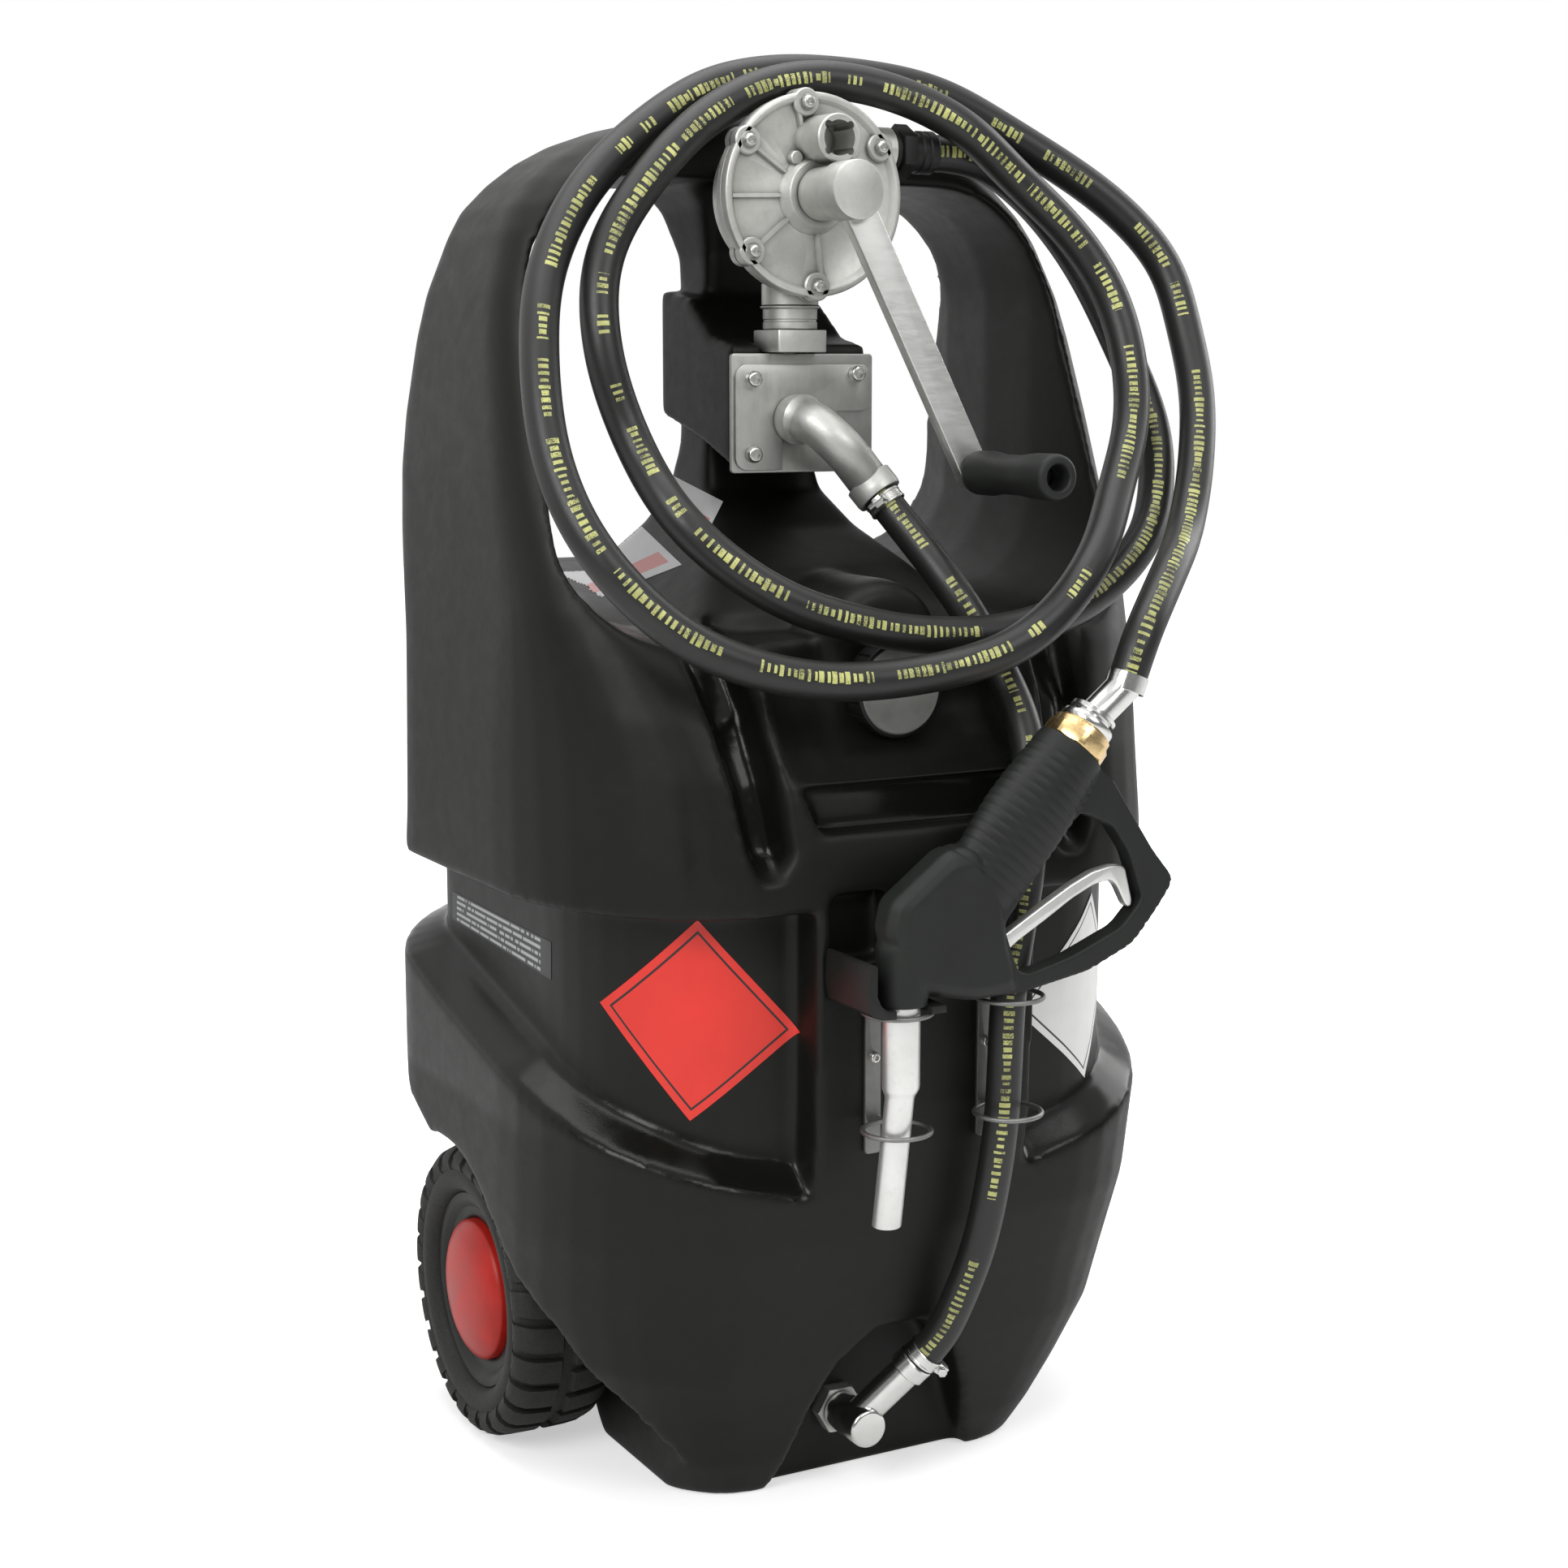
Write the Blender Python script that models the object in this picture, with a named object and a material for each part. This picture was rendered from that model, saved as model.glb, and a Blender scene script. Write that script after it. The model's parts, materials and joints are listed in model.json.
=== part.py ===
"""Wheeled fuel trolley: a rotomoulded tank on two wheels with a rotary hand-crank pump,
a suction hose, a looped delivery hose and a dispensing nozzle parked in wall rings.

Metres, +Z up.  The origin is on the ground under the middle of the trolley,
the pump, filler cap and nozzle face -Y, and +X is to the right of someone facing them.
The figures below count y from the tank's parting line, PARTING_Y behind the origin.
"""
import math

import bmesh
import bpy
from mathutils import Matrix, Vector

# ---------------------------------------------------------------- driving dimensions
PARTING_Y = 0.0285           # parting line of the tank, behind the origin
FIT = 0.0003                 # gap between pieces that seat on each other
RUN = 0.0010                 # running clearance of turning pieces

# tank
TANK_HEIGHT = 1.038
TANK_HALF_WIDTH = 0.257
TANK_FRONT = 0.200           # front corner line, ahead of the origin
TANK_REAR = 0.225
WAIST_DEPTH = 0.035          # how far the label panels stand back
SKIRT_Z = 0.465              # lower edge of the shoulders
COLUMN_HALF = 0.092          # half width of the front column
ARM_WIDTH = 0.046            # section of the carrying arch
NECK_HALF = 0.044            # post between the two hand openings
NECK_FRONT = 0.048
NECK_REAR = 0.102
CELL = 0.0075                # remesh cell of the moulded skin

# wheels
WHEEL_R = 0.117
WHEEL_W = 0.085
WHEEL_OUT = 0.249            # outer face of the tyre
AXLE_Y = 0.085
AXLE_R = 0.010
RIM_R = 0.078
RIM_W = 0.066
HUB_BORE_R = 0.0145
CAP_R = 0.056
ARCH_GAP = 0.012

# filler
FILLER_Z = 0.613
FILLER_FACE = 0.148          # seat of the filler gasket, ahead of the origin
FILLER_R = 0.036
FILLER_CAP_L = 0.020

# pump
PUMP_X = -0.017
PUMP_Z = 0.970
COVER_Y = -0.072             # front face of the pump cover
COVER_T = 0.009
GASKET_T = 0.001
HOUSING_L = 0.056
HOUSING_R = 0.061
FLANGE_R = 0.074
EAR_R = 0.0105
BOLT_CIRCLE = 0.0665
EAR_ANGLES = (96, 146, 219, 272, 33)
CHAMBER_R = 0.046
CHAMBER_L = 0.034
ROTOR_R = 0.040
ECCENTRIC = 0.005
SHAFT_R = 0.007
HUB_R = 0.0215
HUB_FACE = -0.137
CRANK_L = 0.230
CRANK_ANGLE = 28.0           # rest angle of the crank from straight down, towards +X
ARM_T = 0.011
ARM_W = 0.025
ARM_BACK = -0.116
GRIP_R = 0.0165
GRIP_L = 0.108
SPINDLE_R = 0.005
SPOUT_BOSS = (0.004, 0.039)  # centre of the spout socket from the pump axis
SPOUT_BOSS_R = 0.018
SPOUT_BORE_R = 0.0128
OUTLET_Z = 1.007
OUTLET_Y = -0.036

# bracket
PLATE_Y = -0.040             # front face of the outer plate
PLATE_T = 0.003
PLATE_LEFT = -0.069
PLATE_RIGHT = 0.053
PLATE_TOP = 0.855
PLATE_BOTTOM = 0.766
INLET = (-0.017, -0.033)     # x, y of the pump inlet

# hoses
HOSE_R = 0.014
SUCTION_R = 0.0130
CORD_STEP = 0.058
LEAD = 0.012                 # straight length of a hose next to its fitting
CLAMP_W = 0.0095             # width of a hose clamp

# holders on the front column
COLUMN_FACE = 0.2125         # flat seat of the two holders, ahead of the origin
STRIP_T = 0.003
STRIP_W = 0.013
RING_R = 0.0245              # to the middle of the ring wire
RING_WIRE = 0.0015
RING_ZS = (0.3955, 0.309)
LEFT_RING_X = -0.0480
RIGHT_RING_X = 0.0475
RING_Y = -0.2470              # centre of the rings

# nozzle, parked upright in the plane y = NOZZLE_Y
NOZZLE_Y = -0.2575
GUARD_Y = -0.2615
SPOUT_X = -0.0500
SLEEVE_Z = 0.4035            # lower end of the nozzle's sleeve
SLEEVE_R = 0.0185
SPOUT_R = 0.0135
TIP_R = 0.0105
PIVOT = (0.0207, 0.4320)
TRIGGER_SWING = 10.0         # degrees
TRIGGER_PIN_R = 0.0025
TRIGGER_W = 0.009

# outlet at the bottom of the front
OUTLET_X = -0.025
OUTLET_Z0 = 0.052
OUTLET_SEAT = 0.118          # face the outlet nut seats on, ahead of the origin


# ---------------------------------------------------------------- materials
def material(name, colour, roughness, metallic=0.0):
    found = bpy.data.materials.get(name)
    if found:
        return found
    made = bpy.data.materials.new(name)
    made.use_nodes = True
    shader = made.node_tree.nodes["Principled BSDF"]
    shader.inputs["Base Color"].default_value = (*colour, 1.0)
    shader.inputs["Roughness"].default_value = roughness
    shader.inputs["Metallic"].default_value = metallic
    made.diffuse_color = (*colour, 1.0)
    return made


def black_moulding():
    return material("black_moulding", (0.018, 0.020, 0.020), 0.42)


def black_plastic():
    return material("black_plastic", (0.022, 0.025, 0.024), 0.45)


def rubber():
    return material("rubber", (0.020, 0.020, 0.020), 0.55)


def tyre_rubber():
    return material("tyre_rubber", (0.030, 0.030, 0.030), 0.75)


def red_plastic():
    return material("red_plastic", (0.60, 0.035, 0.025), 0.25)


def cast_metal():
    return material("cast_metal", (0.42, 0.42, 0.41), 0.42, 1.0)


def sheet_steel():
    return material("sheet_steel", (0.36, 0.36, 0.36), 0.35, 1.0)


def bright_steel():
    return material("bright_steel", (0.75, 0.75, 0.75), 0.18, 1.0)


def zinc_steel():
    return material("zinc_steel", (0.55, 0.55, 0.54), 0.32, 1.0)


def brass():
    return material("brass", (0.80, 0.52, 0.20), 0.28, 1.0)


def grey_plastic():
    return material("grey_plastic", (0.22, 0.22, 0.22), 0.50)


# ---------------------------------------------------------------- mesh helpers
def clear_scene():
    for old in list(bpy.data.objects):
        bpy.data.objects.remove(old, do_unlink=True)


def add_object(name, bm, finish, origin=(0.0, 0.0, 0.0), smooth=None):
    """Make an object of a bmesh, with its origin at `origin`; both count y from the parting line."""
    bmesh.ops.recalc_face_normals(bm, faces=bm.faces)
    bmesh.ops.translate(bm, verts=bm.verts, vec=-Vector(origin))
    mesh = bpy.data.meshes.new(name)
    bm.to_mesh(mesh)
    bm.free()
    made = bpy.data.objects.new(name, mesh)
    made.location = (origin[0], origin[1] + PARTING_Y, origin[2])
    bpy.context.scene.collection.objects.link(made)
    if finish:
        mesh.materials.append(finish)
    if smooth is not None:
        mesh.shade_smooth()
        mesh.set_sharp_from_angle(angle=math.radians(smooth))
    return made


def as_guide(piece):
    piece.hide_render = True
    piece.display_type = 'WIRE'
    piece.hide_set(True)
    return piece


def boolean(piece, tool, operation='DIFFERENCE'):
    step = piece.modifiers.new(tool.name, 'BOOLEAN')
    step.operation = operation
    step.solver = 'EXACT'
    step.object = tool
    return step


def cut(piece, tool):
    return boolean(piece, as_guide(tool))


def join(piece, tool):
    return boolean(piece, as_guide(tool), 'UNION')


def bevel(piece, width, segments=2, angle=35):
    step = piece.modifiers.new("edge", 'BEVEL')
    step.width = width
    step.segments = segments
    step.limit_method = 'ANGLE'
    step.angle_limit = math.radians(angle)
    return step


def loft_bm(loops, closed=False):
    """Skin equal-length loops of points; a closed loft joins its last loop to its first."""
    bm = bmesh.new()
    rows = [[bm.verts.new(point) for point in loop] for loop in loops]
    pairs = list(zip(rows, rows[1:]))
    if closed:
        pairs.append((rows[-1], rows[0]))
    for low, high in pairs:
        count = len(low)
        for i in range(count):
            j = (i + 1) % count
            bm.faces.new((low[i], low[j], high[j], high[i]))
    if not closed:
        bm.faces.new(rows[0][::-1])
        bm.faces.new(rows[-1])
    return bm


def frame_of(axis):
    """Two unit vectors square to an axis."""
    axis = Vector(axis).normalized()
    side = Vector((0, 0, 1)) if abs(axis.z) < 0.9 else Vector((1, 0, 0))
    u = axis.cross(side).normalized()
    return u, u.cross(axis).normalized()


def turned_bm(profile, centre, axis, steps=32):
    """Turn a closed outline of (radius, distance along the axis) about the axis."""
    bm = bmesh.new()
    centre = Vector(centre)
    axis = Vector(axis).normalized()
    u, v = frame_of(axis)
    columns = []
    for radius, along in profile:
        base = centre + axis * along
        if radius < 1e-9:
            columns.append([bm.verts.new(base)] * steps)
            continue
        ring = []
        for i in range(steps):
            turn = 2 * math.pi * i / steps
            ring.append(bm.verts.new(base + (u * math.cos(turn) + v * math.sin(turn)) * radius))
        columns.append(ring)
    count = len(columns)
    for k in range(count):
        one, two = columns[k], columns[(k + 1) % count]
        if one[0] is one[1] and two[0] is two[1]:
            continue
        for i in range(steps):
            j = (i + 1) % steps
            corners = []
            for vert in (one[i], one[j], two[j], two[i]):
                if vert not in corners:
                    corners.append(vert)
            bm.faces.new(corners)
    return bm


def turned(name, profile, centre, axis, finish, steps=32, origin=None, smooth=35):
    bm = turned_bm(profile, centre, axis, steps)
    return add_object(name, bm, finish, origin or centre, smooth)


def rod(name, radius, start, end, finish, steps=24, chamfer=0.0, origin=None):
    start = Vector(start)
    run = Vector(end) - start
    length = run.length
    profile = [(0, 0), (radius - chamfer, 0)]
    if chamfer:
        profile.append((radius, chamfer))
        profile.append((radius, length - chamfer))
    profile += [(radius - chamfer, length), (0, length)]
    return turned(name, profile, start, run, finish, steps, origin or tuple(start))


def pipe(name, radius, bore, start, end, finish, steps=24, origin=None):
    start = Vector(start)
    run = Vector(end) - start
    profile = [(bore, 0), (radius, 0), (radius, run.length), (bore, run.length)]
    return turned(name, profile, start, run, finish, steps, origin or tuple(start))


def prism_bm(outline, start, end, axis='Y'):
    """Extrude a flat outline from `start` to `end` along an axis."""
    def point(a, b, along):
        if axis == 'Y':
            return (a, along, b)
        if axis == 'X':
            return (along, a, b)
        return (a, b, along)
    return loft_bm([[point(a, b, start) for a, b in outline],
                    [point(a, b, end) for a, b in outline]])


def prism(name, outline, start, end, finish, axis='Y', origin=(0, 0, 0), smooth=None):
    return add_object(name, prism_bm(outline, start, end, axis), finish, origin, smooth)


def box(name, low, high, finish=None, origin=(0, 0, 0)):
    outline = [(low[0], low[2]), (high[0], low[2]), (high[0], high[2]), (low[0], high[2])]
    return prism(name, outline, low[1], high[1], finish, 'Y', origin)


def arc(centre, radius, first, last, steps):
    """Points of an arc in the plane, angles in degrees."""
    points = []
    for i in range(steps + 1):
        turn = math.radians(first + (last - first) * i / steps)
        points.append((centre[0] + radius * math.cos(turn), centre[1] + radius * math.sin(turn)))
    return points


def rounded_outline(low, high, radii, steps=6):
    """Rectangle with corner radii given for bottom-left, bottom-right, top-right, top-left."""
    corners = ((low[0], low[1], 180), (high[0], low[1], 270),
               (high[0], high[1], 0), (low[0], high[1], 90))
    points = []
    for (x, y, first), radius in zip(corners, radii):
        inward_x = radius if x == low[0] else -radius
        inward_y = radius if y == low[1] else -radius
        points += arc((x + inward_x, y + inward_y), radius, first, first + 90, steps)
    return points


def smooth_path(points, step):
    """Points about `step` apart on a Catmull-Rom curve through the route points."""
    knots = [Vector(p) for p in points]
    knots = [knots[0] * 2 - knots[1]] + knots + [knots[-1] * 2 - knots[-2]]
    fine = []
    for a, b, c, d in zip(knots, knots[1:], knots[2:], knots[3:]):
        for i in range(24):
            t = i / 24
            fine.append(0.5 * (2 * b + (c - a) * t + (2 * a - 5 * b + 4 * c - d) * t * t
                               + (3 * b - a - 3 * c + d) * t ** 3))
    fine.append(knots[-2])
    lengths = [0.0]
    for one, two in zip(fine, fine[1:]):
        lengths.append(lengths[-1] + (two - one).length)
    count = max(2, round(lengths[-1] / step))
    picked = []
    k = 0
    for i in range(count + 1):
        wanted = lengths[-1] * i / count
        while k < len(lengths) - 2 and lengths[k + 1] < wanted:
            k += 1
        share = (wanted - lengths[k]) / (lengths[k + 1] - lengths[k])
        picked.append(fine[k].lerp(fine[k + 1], share))
    return picked


def swept_bm(path, section):
    """Carry a flat section, given as (side, up) points for each path point, along a path."""
    path = [Vector(p) for p in path]
    tangents = []
    for i in range(len(path)):
        tangents.append((path[min(i + 1, len(path) - 1)] - path[max(i - 1, 0)]).normalized())
    up, _ = frame_of(tangents[0])
    loops = []
    for i, point in enumerate(path):
        up = (up - tangents[i] * up.dot(tangents[i])).normalized()
        side = tangents[i].cross(up)
        loops.append([point + side * a + up * b for a, b in section(i / (len(path) - 1))])
    return loft_bm(loops)


def round_section(radius, steps=16):
    circle = arc((0, 0), radius, 0, 360 * (steps - 1) / steps, steps - 1)
    return lambda share: circle


def cord(name, route, radius, finish, step, first_run, last_run):
    """A plain round tube along a smooth curve through the route points, square to both fittings.

    `first_run` and `last_run` point from each fitted end into the tube.
    """
    curve = bpy.data.curves.new(name, 'CURVE')
    curve.dimensions = '3D'
    curve.bevel_depth = radius
    curve.bevel_resolution = 3
    curve.use_fill_caps = True
    points = smooth_path(route, step)
    points.insert(1, points[0] + Vector(first_run) * LEAD)
    points.insert(-1, points[-1] + Vector(last_run) * LEAD)
    line = curve.splines.new('POLY')
    line.points.add(len(points) - 1)
    for knot, point in zip(line.points, points):
        knot.co = (*point, 1.0)
    made = bpy.data.objects.new(name, curve)
    made.location = (0.0, PARTING_Y, 0.0)
    bpy.context.scene.collection.objects.link(made)
    curve.materials.append(finish)
    return made


def hexagon(across_flats, centre=(0.0, 0.0), turn=0):
    radius = across_flats / math.sqrt(3)
    return arc(centre, radius, turn, turn + 300, 5)


# ---------------------------------------------------------------- tank
# height, half width, front corner line, bulge of the front, rear, front and rear corner radius
TANK_SECTIONS = (
    (0.000, 0.165, 0.122, 0.010, 0.100, 0.060, 0.040),
    (0.030, 0.190, 0.134, 0.012, 0.205, 0.075, 0.055),
    (0.062, 0.214, 0.143, 0.014, 0.215, 0.090, 0.065),
    (0.110, 0.242, 0.157, 0.016, 0.222, 0.105, 0.075),
    (0.156, 0.257, 0.168, 0.017, 0.225, 0.120, 0.080),
    (0.215, 0.263, 0.185, 0.017, 0.225, 0.120, 0.080),
    (0.300, 0.265, 0.197, 0.018, 0.225, 0.120, 0.080),
    (0.400, 0.265, 0.200, 0.018, 0.225, 0.120, 0.080),
    (0.500, 0.264, 0.196, 0.020, 0.214, 0.120, 0.080),
    (0.560, 0.263, 0.186, 0.019, 0.212, 0.115, 0.078),
    (0.600, 0.262, 0.172, 0.016, 0.211, 0.100, 0.076),
    (0.640, 0.261, 0.150, 0.013, 0.209, 0.080, 0.072),
    (0.673, 0.260, 0.127, 0.010, 0.207, 0.058, 0.064),
    (0.720, 0.259, 0.099, 0.006, 0.203, 0.046, 0.054),
    (0.768, 0.258, 0.075, 0.003, 0.196, 0.038, 0.046),
    (0.810, 0.255, 0.059, 0.001, 0.187, 0.034, 0.040),
    (0.866, 0.250, 0.038, 0.000, 0.169, 0.030, 0.034),
    (0.900, 0.244, 0.027, 0.000, 0.158, 0.028, 0.030),
    (0.942, 0.230, 0.015, 0.000, 0.148, 0.028, 0.030),
    (0.962, 0.218, 0.010, 0.000, 0.150, 0.028, 0.030),
    (0.982, 0.199, 0.006, 0.000, 0.145, 0.028, 0.030),
    (0.998, 0.178, 0.003, 0.000, 0.141, 0.028, 0.030),
    (1.012, 0.152, 0.001, 0.000, 0.137, 0.028, 0.030),
    (1.024, 0.118, -0.004, 0.000, 0.130, 0.026, 0.028),
    (1.034, 0.075, -0.014, 0.000, 0.118, 0.022, 0.024),
    (1.038, 0.030, -0.030, 0.000, 0.100, 0.012, 0.012),
)
CORNER_STRETCH = 1.35        # depth of a front corner over its width
CORNER_STEPS = 8
FRONT_STEPS = 16


def tank_plan(half, front, bulge, rear, front_radius, rear_radius):
    """Plan outline of the tank, from the front left corner along the front, anticlockwise."""
    outline = []
    straight = half - front_radius
    for i in range(FRONT_STEPS + 1):
        x = straight * (2 * i / FRONT_STEPS - 1)
        swell = bulge * (1 - (x / half) ** 2)
        outline.append((x, -front - swell))
    drop = bulge * (1 - (straight / half) ** 2)
    corner = []
    for x, y in arc((0, 0), front_radius, -90, 0, CORNER_STEPS):
        lift = drop * (1 - x / front_radius)
        corner.append((straight + x, -front + (front_radius + y) * CORNER_STRETCH - lift))
    outline += corner[1:]
    inset = half - rear_radius
    outline += arc((inset, rear - rear_radius), rear_radius, 0, 90, CORNER_STEPS)
    outline += arc((-inset, rear - rear_radius), rear_radius, 90, 180, CORNER_STEPS)
    outline += [(-x, y) for x, y in reversed(corner[1:])]
    return outline


def section_at(height):
    """Tank section values at a height, between the listed ones."""
    for low, high in zip(TANK_SECTIONS, TANK_SECTIONS[1:]):
        if height <= high[0]:
            share = (height - low[0]) / (high[0] - low[0])
            return [a + (b - a) * share for a, b in zip(low[1:], high[1:])]
    return list(TANK_SECTIONS[-1][1:])


def front_of_tank(height, x=0.0):
    """How far the bare front of the tank stands ahead of the origin."""
    half, front, bulge = section_at(height)[:3]
    return front + bulge * (1 - (x / half) ** 2)


def tank_shell():
    loops = []
    for z, *plan in TANK_SECTIONS:
        loops.append([(x, y, z) for x, y in tank_plan(*plan)])
    return loft_bm(loops)


def hand_opening():
    """Cutter for both hand openings together, flared to the front and to the rear."""
    sections = ((-0.30, 0.246, 0.640, 1.000), (-0.10, 0.238, 0.652, 0.992),
                (0.00, 0.222, 0.668, 0.984), (0.06, 0.218, 0.676, 0.982),
                (0.13, 0.224, 0.684, 0.984), (0.18, 0.236, 0.688, 0.990), (0.30, 0.262, 0.700, 1.005))
    loops = []
    for y, half, bottom, top in sections:
        outline = rounded_outline((-half, bottom), (half, top), (0.075, 0.075, 0.090, 0.090), 8)
        loops.append([(x, y, z) for x, z in outline])
    return loft_bm(loops)


def neck_post():
    """Post between the hand openings, widening into the chest and into the crown."""
    sections = ((0.630, 0.135, -0.110, 0.205), (0.665, 0.112, -0.092, 0.195),
                (0.695, 0.088, -0.050, 0.165), (0.722, 0.067, 0.000, 0.135),
                (0.750, 0.052, 0.035, 0.114), (0.785, NECK_HALF + 0.002, 0.046, NECK_REAR + 0.002),
                (0.860, NECK_HALF, NECK_FRONT, NECK_REAR),
                (0.930, NECK_HALF + 0.002, NECK_FRONT - 0.002, NECK_REAR + 0.002),
                (0.965, NECK_HALF + 0.014, 0.028, 0.114), (1.000, NECK_HALF + 0.044, 0.010, 0.128))
    loops = []
    for z, half, front, rear in sections:
        radius = 0.3 * min(half, (rear - front) / 2)
        outline = rounded_outline((-half, front), (half, rear), (radius,) * 4, 4)
        loops.append([(x, y, z) for x, y in outline])
    return loft_bm(loops)


CONSOLE_FRONT = PLATE_Y + 2 * PLATE_T + 2 * FIT
SKIN_ALLOWANCE = 0.006       # stock left on a moulded seat before it is faced flat


def pump_console():
    """Block on the post that carries the bracket; its underside slopes down to the front."""
    front = CONSOLE_FRONT - SKIN_ALLOWANCE
    side = [(front, 0.766), (0.030, 0.792), (0.092, 0.808), (0.092, 0.905),
            (0.040, 0.897), (0.000, 0.868), (front, 0.860)]
    return prism_bm(side, PLATE_LEFT + 0.003, PLATE_RIGHT - 0.003, 'X')


def filler_boss():
    """Rounded boss round the filler mouth, standing out of the chest."""
    front = FILLER_FACE + 0.004
    profile = [(0, -0.02), (0.052, -0.02), (0.052, front - 0.022), (0.050, front - 0.010),
               (0.044, front - 0.002), (0.036, front), (0, front)]
    return turned_bm(profile, (0, 0, FILLER_Z + 0.027), (0, -1, 0), 28)


def chest_panel():
    """Cutter that sets the middle of the chest back between the grooves, fading out sideways."""
    half = 0.115
    loops = []
    for share in (-1.0, -0.87, -0.74, -0.5, 0.0, 0.5, 0.74, 0.87, 1.0):
        x = half * share
        blend = 1 - share ** 4
        wall = []
        for z, target in ((0.552, 0.205), (0.562, 0.184), (0.575, 0.164), (0.590, 0.151), (0.610, 0.145),
                          (0.680, 0.143)):
            bare = front_of_tank(z, x)
            wall.append((x, -bare + (bare - min(target, bare)) * blend - 0.0005, z))
        loops.append([(x, -0.30, 0.552)] + wall + [(x, -0.30, 0.680)])
    return loft_bm(loops)


def chest_groove(side):
    """Tapering channel beside the chest, rounded at its lower tip."""
    loops = []
    for share in (0.0, 0.25, 0.5, 0.75, 1.0):
        z = 0.690 + (0.505 - 0.690) * share
        x = side * (0.150 + (0.126 - 0.150) * share)
        wide = 0.028 + (0.019 - 0.028) * share
        y = -front_of_tank(z, x)
        depth = 0.034 * (1 - 0.25 * share)
        section = [(x - wide, y - 0.05), (x + wide, y - 0.05), (x + wide, y),
                   (x + 0.45 * wide, y + depth), (x - 0.45 * wide, y + depth), (x - wide, y)]
        loops.append([(a, b, z) for a, b in section])
    tip = [(x + (a - x) * 0.45, min(b, y + 0.004), 0.488) for a, b, _ in loops[-1]]
    loops.append(tip)
    return loft_bm(loops)


def chest_recess():
    """Flat-bottomed recess across the chest between the two grooves."""
    y = -front_of_tank(0.535)
    outline = [(-0.086, 0.519), (0.086, 0.519), (0.100, 0.553), (-0.100, 0.553)]
    return prism_bm(outline, y - 0.03, y + 0.014, 'Y')


LEDGE_Z = 0.270              # inner edge of the ledge at the column
LEDGE_CLIMB = 0.0722         # its rise per radian round the tank


def waist_band(side):
    """Cutter for one side's label panel, from the column round the corner to the rear.

    Its lower face falls outwards, which leaves the sloped ledge under the panel, and the
    ledge climbs from the column to the rear.
    """
    plan = tank_plan(*section_at(0.40))
    inner = tank_plan(*[v - d for v, d in zip(section_at(0.40),
                                              (WAIST_DEPTH, WAIST_DEPTH, 0, WAIST_DEPTH,
                                               WAIST_DEPTH, WAIST_DEPTH))])
    path = []
    for (x, y), (xi, yi) in zip(plan, inner):
        if side * x > COLUMN_HALF - 0.012 and (y < 0.18 or side * x > 0.16):
            path.append((x, y, xi, yi))
    path.sort(key=lambda p: math.atan2(p[0] * side, -p[1]))
    loops = []
    for x, y, xi, yi in path:
        around = math.atan2(abs(x), -y)
        ledge = LEDGE_Z + LEDGE_CLIMB * (around - 0.43)
        out = Vector((x - xi, y - yi))
        far = Vector((x, y)) + out.normalized() * 0.05
        drop = 0.034 * (0.05 + out.length) / out.length
        loops.append([(xi, yi, ledge + 0.004), (xi, yi, SKIRT_Z), (far.x, far.y, SKIRT_Z - 0.004),
                      (far.x, far.y, ledge - drop)])
    first = loops[0]
    shift = (side * (COLUMN_HALF - abs(first[0][0])), 0, 0)
    loops[0] = [tuple(Vector(p) + Vector(shift)) for p in first]
    return loft_bm(loops)


def wheel_arch(side):
    """Everything under the curve that runs over the wheel and down to the front foot."""
    outer = 0.30
    inner = WHEEL_OUT - WHEEL_W - 0.008
    clear = WHEEL_R + ARCH_GAP
    outline = [(0.30, -0.05), (0.30, 0.300), (0.215, 0.283), (0.150, 0.258)]
    outline += arc((AXLE_Y, WHEEL_R), clear, 75, 150, 8)
    outline += [(-0.075, 0.140), (-0.112, 0.080), (-0.125, 0.020), (-0.128, -0.05)]
    first, last = (inner, outer) if side > 0 else (-outer, -inner)
    return prism_bm(outline, first, last, 'X')


def outlet_cave():
    """Arched recess in the bottom of the front that shelters the outlet."""
    outline = [(-0.096, -0.02), (-0.080, 0.020), (-0.068, 0.066), (-0.050, 0.108)]
    outline += [(-0.020, 0.132), (0.020, 0.132)]
    outline += [(-x, z) for x, z in reversed(outline[:4])]
    return prism_bm(outline, -0.30, -OUTLET_SEAT, 'Y')


def cradle_pocket():
    """Small pocket in the column above the nozzle cradle."""
    return prism_bm(rounded_outline((-0.082, 0.425), (-0.036, 0.476), (0.006,) * 4, 3),
                    -0.30, -0.196, 'Y')


def rear_keel():
    """Space under the rear of the tank, so that it stands on its front feet and wheels."""
    outline = [(-0.02, -0.05), (0.40, -0.05), (0.40, 0.085), (0.215, 0.060), (0.060, 0.036)]
    return prism_bm(outline, -0.40, 0.40, 'X')


def facing_box(low, high, name):
    return add_object(name, prism_bm([(low[0], low[2]), (high[0], low[2]), (high[0], high[2]),
                                      (low[0], high[2])], low[1], high[1], 'Y'), None)


def bore(name, radius, start, end, steps=16):
    start = Vector(start)
    run = Vector(end) - start
    profile = [(0, 0), (radius, 0), (radius, run.length), (0, run.length)]
    return add_object(name, turned_bm(profile, start, run, steps), None)


def counterbore(name, start, run, wide, first, narrow, second):
    profile = [(0, 0), (wide, 0), (wide, first), (narrow, first), (narrow, first + second), (0, first + second)]
    return add_object(name, turned_bm(profile, start, run, 28), None)


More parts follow.
